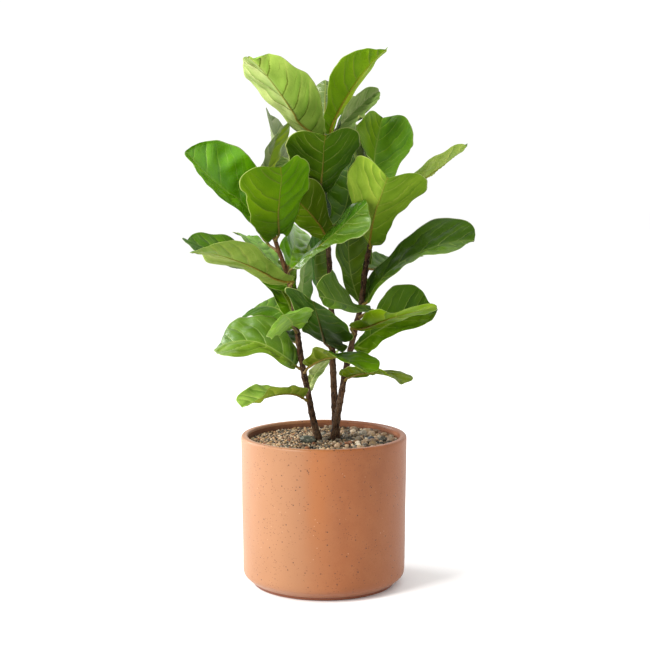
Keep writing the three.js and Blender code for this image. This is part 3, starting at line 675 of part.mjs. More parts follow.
// gravel topping: one loose layer with a pebbly top, mounded a little round the stems
function bump(x, y) {
  const h = Math.sin(x * 12.9898 + y * 78.233) * 43758.5453;
  return (h - Math.floor(h)) * 2 - 1;
}
function gravelGeometry() {
  const radii = [0, 22, 44, 66, 88, 108, 124, 0];
  const sides = 36;
  const top = innerAt(GRAVEL_RIM) - GAP - 0.75;
  radii[radii.length - 1] = top;
  const verts = [0, 0, GRAVEL_MOUND];
  const index = [];
  for (let i = 1; i < radii.length; i++)
    for (let j = 0; j < sides; j++) {
      const a = ((j + (i % 2) * 0.5) / sides) * Math.PI * 2;
      const x = Math.cos(a) * radii[i],
        y = Math.sin(a) * radii[i];
      const rise = GRAVEL_RIM + (GRAVEL_MOUND - GRAVEL_RIM) * Math.exp(-((radii[i] / 70) ** 2));
      verts.push(x, y, rise + bump(Math.round(x), Math.round(y)) * GRAVEL_BUMP * (i === radii.length - 1 ? 0.4 : 1));
    }
  const at = (i, j) => 1 + (i - 1) * sides + (j % sides);
  for (let j = 0; j < sides; j++) index.push(0, at(1, j), at(1, j + 1));
  for (let i = 1; i + 1 < radii.length; i++)
    for (let j = 0; j < sides; j++) {
      // rows are turned half a step against each other
      if (i % 2) {
        index.push(at(i, j), at(i + 1, j), at(i + 1, j + 1));
        index.push(at(i, j), at(i + 1, j + 1), at(i, j + 1));
      } else {
        index.push(at(i, j), at(i + 1, j), at(i, j + 1));
        index.push(at(i + 1, j), at(i + 1, j + 1), at(i, j + 1));
      }
    }
  // side and underside
  const low = verts.length / 3;
  const bottom = innerAt(GRAVEL_UNDER) - GAP - 0.75;
  const rows = radii.length - 1;
  for (let j = 0; j < sides; j++) {
    const a = ((j + (rows % 2) * 0.5) / sides) * Math.PI * 2;
    verts.push(Math.cos(a) * bottom, Math.sin(a) * bottom, GRAVEL_UNDER);
  }
  verts.push(0, 0, GRAVEL_UNDER);
  const centre = low + sides;
  for (let j = 0; j < sides; j++) {
    const a = at(rows, j),
      b = at(rows, j + 1),
      c = low + j,
      d = low + ((j + 1) % sides);
    index.push(a, c, d, a, d, b);
    index.push(centre, d, c);
  }
  return closed(verts, index);
}
let gravel = toSolid(gravelGeometry());
for (const s of stemSockets) gravel = gravel.subtract(s);
add(plant, "gravel_topping", fromSolid(gravel), paint(0xb39a7c, 1));

const leafGroup = new THREE.Group();
plant.add(leafGroup);
for (const [name, , start, out, base, az, el, roll, L, W, k0, k1, c0, tw, fR, gR, fL, gL, q, mR, mL] of LEAVES)
  add(
    leafGroup,
    name,
    leafGeometry({ start, out, base, az, el, roll, L, W, k0, k1, c0, tw, fR, gR, fL, gL, q, mR, mL, edges: EDGES[name] }),
    paint(0x4f7d22, 0.5),
  );

export default plant;
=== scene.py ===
import math

import bpy
import numpy as np
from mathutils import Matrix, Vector


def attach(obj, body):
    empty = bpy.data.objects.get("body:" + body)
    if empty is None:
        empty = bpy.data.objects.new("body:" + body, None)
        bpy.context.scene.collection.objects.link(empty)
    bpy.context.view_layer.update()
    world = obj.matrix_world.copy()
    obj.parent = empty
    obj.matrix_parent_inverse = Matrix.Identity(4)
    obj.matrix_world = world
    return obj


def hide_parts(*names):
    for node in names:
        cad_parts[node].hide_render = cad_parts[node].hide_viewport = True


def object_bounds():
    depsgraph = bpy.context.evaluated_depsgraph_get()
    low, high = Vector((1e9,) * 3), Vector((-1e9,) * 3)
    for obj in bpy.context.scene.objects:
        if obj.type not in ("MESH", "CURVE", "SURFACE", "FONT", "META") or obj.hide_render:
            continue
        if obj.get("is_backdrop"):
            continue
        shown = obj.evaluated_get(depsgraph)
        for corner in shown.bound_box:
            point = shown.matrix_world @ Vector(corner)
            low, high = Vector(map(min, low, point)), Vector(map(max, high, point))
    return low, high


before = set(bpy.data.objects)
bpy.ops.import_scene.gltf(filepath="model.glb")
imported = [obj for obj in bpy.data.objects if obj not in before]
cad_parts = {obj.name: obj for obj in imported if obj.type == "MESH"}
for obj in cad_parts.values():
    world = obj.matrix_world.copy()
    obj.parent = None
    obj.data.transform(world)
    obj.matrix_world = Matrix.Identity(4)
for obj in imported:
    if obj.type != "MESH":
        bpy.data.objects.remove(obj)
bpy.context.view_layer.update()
MM = 0.001

# ---------------------------------------------------------------- shape tables, millimetres
STEMS = {
    "stem_left": [
        [-8.8, -4.0, 261.5, 7.2],
        [-16.7, -3.1, 288.3, 6.4],
        [-22.8, -2.2, 315.5, 5.9],
        [-27.8, -1.4, 343.0, 5.8],
        [-33.5, -0.7, 370.3, 5.6],
        [-38.7, -0.9, 397.7, 5.4],
        [-43.0, -2.0, 425.3, 5.2],
        [-47.0, -3.3, 452.9, 5.1],
        [-50.3, -4.7, 480.6, 4.9],
        [-53.9, -5.9, 508.3, 4.8],
        [-59.0, -7.0, 535.7, 4.6],
        [-65.9, -8.0, 562.6, 4.5],
        [-74.6, -9.0, 589.1, 4.3],
        [-84.1, -10.0, 615.3, 4.1],
        [-91.5, -11.0, 641.9, 3.5],
        [-95.3, -12.0, 669.5, 3.0],
    ],
    "stem_centre": [
        [22.9, 12.0, 263.9, 7.4],
        [20.5, 12.9, 298.8, 6.6],
        [18.9, 13.8, 333.8, 6.1],
        [17.5, 14.6, 368.7, 6.0],
        [15.8, 15.2, 403.7, 5.8],
        [14.9, 15.2, 438.7, 5.6],
        [14.1, 14.6, 473.7, 5.5],
        [12.9, 13.8, 508.6, 5.3],
        [11.6, 12.9, 543.6, 5.1],
        [10.0, 11.9, 578.6, 4.9],
        [7.2, 10.4, 613.4, 4.7],
        [2.4, 8.8, 647.9, 4.5],
        [-1.3, 7.1, 682.6, 4.3],
        [-1.6, 5.4, 717.4, 4.0],
        [0.7, 3.7, 752.3, 3.4],
        [3.2, 2.0, 787.1, 2.8],
    ],
    "stem_right": [
        [17.3, -4.0, 261.5, 7.2],
        [22.1, -4.5, 291.6, 6.4],
        [27.3, -5.1, 321.7, 5.9],
        [32.4, -5.5, 351.8, 5.8],
        [37.5, -5.5, 381.9, 5.7],
        [44.2, -4.6, 411.6, 5.5],
        [51.0, -3.5, 441.3, 5.4],
        [57.8, -2.4, 471.0, 5.3],
        [65.3, -1.3, 500.5, 5.1],
        [69.8, -0.3, 530.4, 5.0],
        [72.4, 0.6, 560.7, 4.8],
        [77.5, 1.3, 590.6, 4.7],
        [84.3, 2.0, 620.3, 4.5],
        [88.7, 2.6, 650.4, 4.2],
        [90.1, 3.3, 680.8, 3.6],
        [89.0, 4.0, 711.2, 3.0],
    ],
}
# name, stem, stalk start, direction it leaves in, blade base, azimuth, elevation, roll, length, width,
# droop, its growth, sideways bend, twist, fold and cup right, fold and cup left, notch, width factors right and left
LEAVES = [
    ["leaf_left_01", "stem_left", [-97.3, -7.8, 664.5], [-0.562, 0.827, 0.0], [-104.0, 2.0, 684.2], 2.581, 1.567, -0.008, 158.4, 70.8, -0.866, -0.577, 0.092, 0.227, 0.12, 0.048, 0.092, 0.03, -0.014, [0.89, 1.15, 0.99, 0.9], [0.89, 1.1, 1.01, 0.99]],
    ["leaf_left_02", "stem_left", [-94.3, -6.8, 660.5], [-0.038, 0.999, 0.0], [-95.6, 28.0, 676.5], 1.313, 1.033, 1.594, 193.7, 115.5, 0.282, 0.027, 0.143, -0.347, 0.042, -0.003, 0.297, 0.162, 0.004, [1.0, 1.0, 1.0, 0.98], [1.0, 1.0, 1.01, 1.0]],
    ["leaf_left_03", "stem_left", [-91.6, -5.7, 639.9], [-0.119, 0.993, 0.0], [-94.7, 20.0, 655.3], 1.925, 0.44, -0.0, 195.6, 117.4, 0.288, -0.0, -0.0, -0.0, 0.2, 0.1, 0.2, 0.1, 0.0, [1.0, 1.0, 1.0, 1.0], [1.0, 1.0, 1.0, 1.0]],
    ["leaf_left_04", "stem_left", [-84.7, -15.6, 623.7], [0.303, -0.953, 0.0], [-78.9, -34.0, 635.5], -1.518, 0.407, 0.304, 208.8, 139.2, -0.272, 0.407, 0.107, -0.106, -0.016, -0.036, 0.218, 0.12, 0.065, [1.12, 1.0, 0.83, 1.2], [1.08, 1.03, 0.85, 0.88]],
    ["leaf_left_05", "stem_left", [-83.9, -5.2, 603.8], [-0.676, 0.737, 0.0], [-101.5, 14.0, 618.2], -2.356, 1.071, -0.944, 226.4, 148.5, 0.299, -0.997, 0.113, 0.094, 0.684, 0.41, 0.138, 0.058, -0.038, [0.5, 1.33, 1.01, 0.77], [0.96, 1.0, 1.09, 0.97]],
    ["leaf_left_06", "stem_left", [-63.5, -13.9, 560.0], [0.272, -0.962, 0.0], [-55.1, -43.7, 576.0], -0.669, 0.684, 0.37, 190.2, 100.5, 0.056, -0.248, 0.21, 0.58, -0.133, -0.12, -0.01, -0.043, -0.02, [0.97, 0.74, 0.82, 1.27], [1.01, 1.01, 0.96, 0.8]],
    ["leaf_left_07", "stem_left", [-64.8, -1.7, 559.1], [0.029, 1.0, 0.0], [-64.1, 22.8, 573.8], 1.385, 0.524, 0.712, 186.9, 108.5, 0.406, -0.009, -0.01, 0.316, 0.177, 0.094, 0.317, 0.167, 0.001, [1.0, 0.98, 0.84, 1.02], [1.14, 0.91, 1.0, 1.0]],
    ["leaf_left_08", "stem_left", [-65.3, -2.0, 549.2], [-0.466, 0.885, 0.0], [-71.6, 9.8, 561.8], 2.115, 0.376, 0.545, 173.8, 97.7, -0.003, 0.106, -0.218, -0.354, -0.016, -0.045, 0.104, 0.037, 0.002, [1.0, 0.91, 0.98, 0.98], [1.0, 1.0, 1.0, 1.0]],
    ["leaf_left_09", "stem_left", [-59.4, -13.4, 541.9], [0.183, -0.983, 0.0], [-56.3, -30.0, 552.1], -2.524, 0.193, 0.313, 206.2, 121.0, 0.208, 1.255, -0.031, -0.401, -0.061, -0.073, 0.326, 0.181, -0.027, [1.09, 0.83, 1.1, 0.87], [0.69, 1.06, 1.15, 0.98]],
    ["leaf_left_10", "stem_left", [-56.9, -0.1, 521.8], [-0.073, 0.997, 0.0], [-58.2, 18.3, 533.0], 2.741, 0.417, -0.278, 220.9, 132.6, 0.001, -0.073, 0.125, 0.209, 0.191, 0.094, 0.133, 0.056, 0.012, [1.0, 1.03, 1.01, 0.96], [1.0, 1.0, 1.01, 0.98]],
    ["leaf_left_11", "stem_left", [-52.6, 1.6, 480.1], [-0.358, 0.934, 0.0], [-57.4, 14.0, 488.4], 2.016, 0.779, -0.145, 176.0, 100.4, 0.588, -0.08, -0.031, 0.201, 0.2, 0.1, 0.193, 0.102, 0.0, [1.0, 1.0, 1.0, 1.0], [0.95, 0.95, 1.0, 1.0]],
    ["leaf_left_12", "stem_left", [-46.2, 0.3, 482.2], [0.657, 0.754, 0.0], [-42.9, 4.0, 485.7], 1.455, 1.155, 0.677, 131.6, 56.6, -0.161, 0.045, -0.003, 0.879, 0.166, 0.075, 0.294, 0.161, -0.0, [0.99, 1.11, 0.98, 0.97], [0.96, 1.05, 1.0, 1.0]],
    ["leaf_left_13", "stem_left", [-49.0, -10.2, 458.4], [-0.196, -0.981, 0.0], [-55.9, -44.7, 474.4], -1.534, 0.225, -2.488, 197.8, 103.4, 0.043, -0.201, 0.172, 0.264, 0.493, 0.302, -0.002, -0.032, 0.011, [1.04, 1.0, 0.83, 1.04], [1.0, 1.09, 0.91, 0.96]],
    ["leaf_left_14", "stem_left", [-50.1, 2.7, 456.2], [-0.399, 0.917, 0.0], [-53.6, 10.8, 462.0], 1.952, 0.493, -0.242, 166.8, 103.4, 0.731, 0.238, 0.412, 0.178, 0.193, 0.099, -0.187, -0.142, 0.002, [1.0, 1.0, 0.96, 0.98], [1.07, 1.19, 0.79, 1.0]],
    ["leaf_left_15", "stem_left", [-47.2, 3.8, 433.4], [-0.44, 0.898, 0.0], [-50.2, 10.0, 438.1], 2.079, 0.11, -0.059, 182.9, 91.5, 0.283, -0.001, 0.0, -0.019, 0.2, 0.1, 0.2, 0.1, 0.0, [1.0, 1.0, 1.0, 1.0], [1.0, 1.0, 1.0, 1.0]],
    ["leaf_left_16", "stem_left", [-33.9, -7.6, 385.3], [0.342, -0.94, 0.0], [-26.5, -27.8, 398.4], -1.096, 0.465, 0.006, 199.7, 98.0, 0.926, 0.387, 0.129, 0.116, 0.385, 0.206, 0.074, 0.019, -0.013, [0.85, 1.11, 1.11, 1.0], [0.99, 1.08, 0.88, 0.88]],
    ["leaf_left_17", "stem_left", [-44.8, -1.5, 392.1], [-0.996, -0.091, 0.0], [-50.1, -2.0, 396.2], -2.31, 0.848, -1.309, 169.9, 117.7, 1.835, -0.274, -0.034, 0.484, 0.258, 0.101, 0.096, 0.036, -0.049, [0.9, 1.45, 1.0, 0.99], [0.9, 0.77, 1.13, 0.93]],
    ["leaf_left_18", "stem_left", [-29.2, 6.2, 348.1], [-0.053, 0.999, 0.0], [-29.3, 8.0, 350.1], 1.267, 0.562, -0.339, 137.8, 59.3, 0.401, -0.04, -0.036, -0.326, 0.12, 0.048, 0.073, 0.017, -0.001, [1.0, 1.0, 1.0, 1.0], [0.97, 1.03, 1.02, 1.0]],
    ["leaf_left_19", "stem_left", [-32.3, -6.1, 334.7], [-0.801, -0.598, 0.0], [-37.5, -10.0, 339.3], -1.887, 0.418, -0.161, 176.4, 82.0, 0.947, 0.098, -0.448, -0.425, 0.061, 0.009, 0.684, 0.425, 0.007, [1.0, 1.05, 1.0, 0.87], [1.0, 1.02, 0.95, 1.0]],
    ["leaf_centre_01", "stem_centre", [6.4, -0.7, 782.1], [0.768, -0.641, 0.0], [10.4, -4.0, 810.0], -0.569, 1.196, -0.147, 188.3, 115.6, 0.584, -0.17, -0.029, 0.157, 0.277, 0.14, 0.287, 0.164, -0.032, [0.8, 1.16, 1.11, 0.95], [0.93, 1.03, 1.03, 0.94]],
    ["leaf_centre_02", "stem_centre", [2.0, -2.3, 782.1], [-0.182, -0.983, 0.0], [0.2, -12.0, 808.2], -2.279, 0.117, 0.009, 225.1, 138.8, -0.432, 1.696, -0.204, -0.478, -0.055, -0.067, 0.59, 0.338, -0.045, [1.0, 0.89, 1.05, 1.03], [0.87, 1.34, 0.9, 0.76]],
    ["leaf_centre_03", "stem_centre", [7.1, 4.1, 782.1], [0.918, 0.397, 0.0], [16.2, 8.0, 806.5], 1.578, 0.239, 1.085, 190.4, 116.9, -1.33, -0.409, -0.214, -0.523, 0.96, 0.493, 0.761, 0.568, -0.011, [1.25, 1.11, 0.91, 0.95], [1.04, 1.13, 0.7, 0.6]],
    ["leaf_centre_04", "stem_centre", [-0.3, 5.6, 782.1], [-0.693, 0.721, 0.0], [-2.3, 7.7, 806.4], 1.505, 0.534, 0.019, 177.2, 89.1, -0.175, -0.018, 0.052, 0.007, -0.503, -0.398, -0.488, -0.382, 0.003, [1.0, 1.0, 0.9, 0.95], [1.0, 1.0, 0.91, 0.95]],
    ["leaf_centre_05", "stem_centre", [-3.0, 0.7, 696.7], [-0.259, -0.966, 0.0], [-6.9, -14.0, 706.0], -1.556, 0.313, -0.03, 201.9, 140.5, -0.386, 0.141, 0.081, 0.144, 0.261, 0.125, 0.293, 0.165, 0.019, [1.12, 1.12, 0.91, 0.99], [0.9, 1.04, 1.0, 1.0]],
    ["leaf_centre_06", "stem_centre", [-5.9, 10.5, 676.4], [-0.858, 0.514, 0.0], [-15.1, 16.0, 683.2], 0.35, 1.57, 0.329, 127.7, 77.8, -1.39, 0.202, 0.013, 0.173, 0.305, 0.168, 0.41, 0.231, -0.002, [1.0, 1.0, 1.0, 1.0], [1.0, 1.0, 1.02, 1.02]],
    ["leaf_centre_07", "stem_centre", [6.7, 15.0, 636.9], [0.425, 0.905, 0.0], [12.8, 28.0, 645.9], 1.04, 0.205, -0.18, 181.1, 106.7, -1.147, 0.343, 0.027, -0.595, 0.183, 0.091, 0.206, 0.104, -0.003, [1.04, 0.99, 0.95, 0.98], [0.99, 0.96, 1.02, 1.03]],
    ["leaf_centre_08", "stem_centre", [6.3, 16.2, 625.2], [0.11, 0.994, 0.0], [7.4, 26.0, 631.6], 2.02, 0.357, 0.697, 196.1, 128.5, -0.742, 0.098, -0.004, 0.037, 0.106, 0.034, 0.23, 0.119, -0.005, [1.0, 1.03, 1.19, 0.93], [1.01, 1.0, 1.0, 1.0]],
    ["leaf_centre_09", "stem_centre", [6.3, 4.0, 614.8], [-0.121, -0.993, 0.0], [5.0, -6.0, 621.2], -2.087, 0.816, 0.312, 147.1, 91.8, 0.047, -0.117, -0.25, 0.307, 0.073, 0.016, 0.2, 0.1, 0.0, [1.0, 1.08, 1.0, 1.0], [1.0, 1.0, 1.0, 1.0]],
    ["leaf_centre_10", "stem_centre", [10.8, 20.6, 502.3], [-0.337, 0.941, 0.0], [9.3, 24.5, 505.5], 2.188, 0.395, 0.648, 177.0, 81.1, -1.092, 0.219, -0.03, -0.045, 0.093, 0.03, 0.166, 0.078, 0.0, [0.99, 0.98, 1.04, 1.01], [1.0, 1.0, 0.99, 1.0]],
    ["leaf_centre_11", "stem_centre", [11.8, 8.7, 426.5], [-0.465, -0.885, 0.0], [2.0, -10.0, 439.0], -1.656, 0.441, -0.273, 203.9, 137.2, -0.05, 0.035, -0.074, -0.32, 0.067, 0.012, 0.022, -0.016, -0.001, [1.19, 0.96, 1.0, 1.0], [1.04, 1.03, 1.02, 0.98]],
    ["leaf_right_01", "stem_right", [90.1, 8.6, 706.2], [0.192, 0.981, 0.0], [90.4, 10.0, 731.6], 1.671, 0.094, 0.693, 209.3, 142.8, -1.214, -0.401, 0.075, -0.65, 0.479, 0.238, 0.532, 0.325, 0.024, [1.12, 1.09, 1.02, 1.02], [1.11, 1.13, 0.87, 0.74]],
    ["leaf_right_02", "stem_right", [88.9, 8.5, 685.4], [-0.193, 0.981, 0.0], [85.5, 25.9, 696.0], 1.658, 0.672, 0.205, 186.2, 114.6, 0.15, 0.142, -0.062, 0.666, 0.2, 0.1, 0.236, 0.119, 0.0, [1.0, 1.0, 1.0, 1.0], [1.09, 1.0, 0.95, 1.0]],
    ["leaf_right_03", "stem_right", [94.7, 1.8, 688.2], [0.943, -0.332, 0.0], [101.4, -0.6, 693.0], -0.353, 0.375, -0.135, 184.3, 105.8, -0.334, 0.066, -0.028, 0.166, 0.181, 0.087, 0.142, 0.062, 0.004, [1.0, 0.99, 1.03, 0.98], [1.0, 1.0, 1.0, 1.0]],
    ["leaf_right_04", "stem_right", [90.8, 8.3, 659.1], [0.292, 0.956, 0.0], [93.1, 16.0, 664.5], 1.303, 0.443, -0.0, 186.4, 111.8, 0.279, -0.0, -0.0, -0.0, 0.2, 0.1, 0.2, 0.1, 0.0, [1.0, 1.0, 1.0, 1.0], [1.0, 1.0, 1.0, 1.0]],
    ["leaf_right_05", "stem_right", [82.9, -4.5, 609.1], [0.177, -0.984, 0.0], [83.9, -9.8, 613.1], -1.605, 0.673, -0.257, 212.3, 152.2, 0.11, 0.324, 0.275, 0.072, 0.45, 0.233, 0.393, 0.222, 0.022, [0.8, 1.29, 0.98, 1.01], [0.83, 0.92, 1.13, 1.09]],
    ["leaf_right_06", "stem_right", [75.6, 6.3, 561.5], [0.478, 0.878, 0.0], [82.4, 18.7, 570.0], 1.016, -0.1, -0.053, 183.6, 106.5, -0.255, 0.074, 0.419, -0.022, 0.2, 0.1, 0.268, 0.151, -0.002, [1.0, 1.0, 1.0, 1.0], [0.99, 0.88, 1.0, 1.06]],
    ["leaf_right_07", "stem_right", [71.7, -5.3, 507.9], [0.78, -0.625, 0.0], [77.6, -10.0, 513.0], -0.455, 1.127, 0.39, 237.3, 144.6, 1.071, -0.331, -0.235, -0.098, 0.032, -0.01, 0.352, 0.199, -0.016, [0.99, 1.04, 0.85, 1.12], [1.01, 1.0, 1.07, 0.92]],
    ["leaf_right_08", "stem_right", [64.6, 5.4, 496.8], [0.039, 0.999, 0.0], [65.3, 22.6, 507.1], 1.941, 0.582, 0.201, 172.8, 104.6, -0.677, 0.137, -0.012, 0.419, 0.2, 0.1, 0.223, 0.113, 0.0, [1.0, 1.0, 1.0, 1.0], [1.05, 1.0, 0.96, 1.0]],
    ["leaf_right_09", "stem_right", [65.3, -7.5, 485.2], [0.569, -0.822, 0.0], [85.1, -36.0, 501.2], -2.005, -0.045, -0.158, 180.0, 96.2, 0.055, 1.277, -0.341, -0.921, 0.322, 0.188, 0.287, 0.179, 0.017, [0.86, 1.01, 1.02, 1.02], [0.94, 1.0, 0.93, 0.94]],
    ["leaf_right_10", "stem_right", [53.2, -9.9, 455.4], [-0.145, -0.989, 0.0], [49.9, -32.3, 469.1], -0.984, 0.199, -0.39, 191.4, 85.1, -0.194, 0.312, 0.53, 0.47, 0.129, 0.057, 0.011, -0.024, -0.004, [0.94, 1.16, 0.68, 1.0], [1.07, 0.97, 0.92, 0.98]],
    ["leaf_right_11", "stem_right", [48.2, 2.3, 418.0], [0.361, 0.933, 0.0], [52.7, 14.0, 425.8], 0.704, 0.501, 1.0, 197.7, 116.2, 0.237, 0.158, -0.42, -0.927, 0.276, 0.165, 0.677, 0.387, -0.035, [1.01, 0.83, 1.07, 0.91], [0.57, 1.17, 1.11, 1.02]],
    ["leaf_right_12", "stem_right", [39.2, -12.1, 372.3], [0.444, -0.896, 0.0], [43.1, -20.0, 378.1], -1.3, 0.279, 0.152, 181.2, 94.3, 0.723, 0.683, 0.515, 0.141, 0.443, 0.253, -0.109, -0.101, -0.006, [1.09, 1.03, 0.91, 0.99], [1.06, 1.04, 0.99, 0.92]],
]
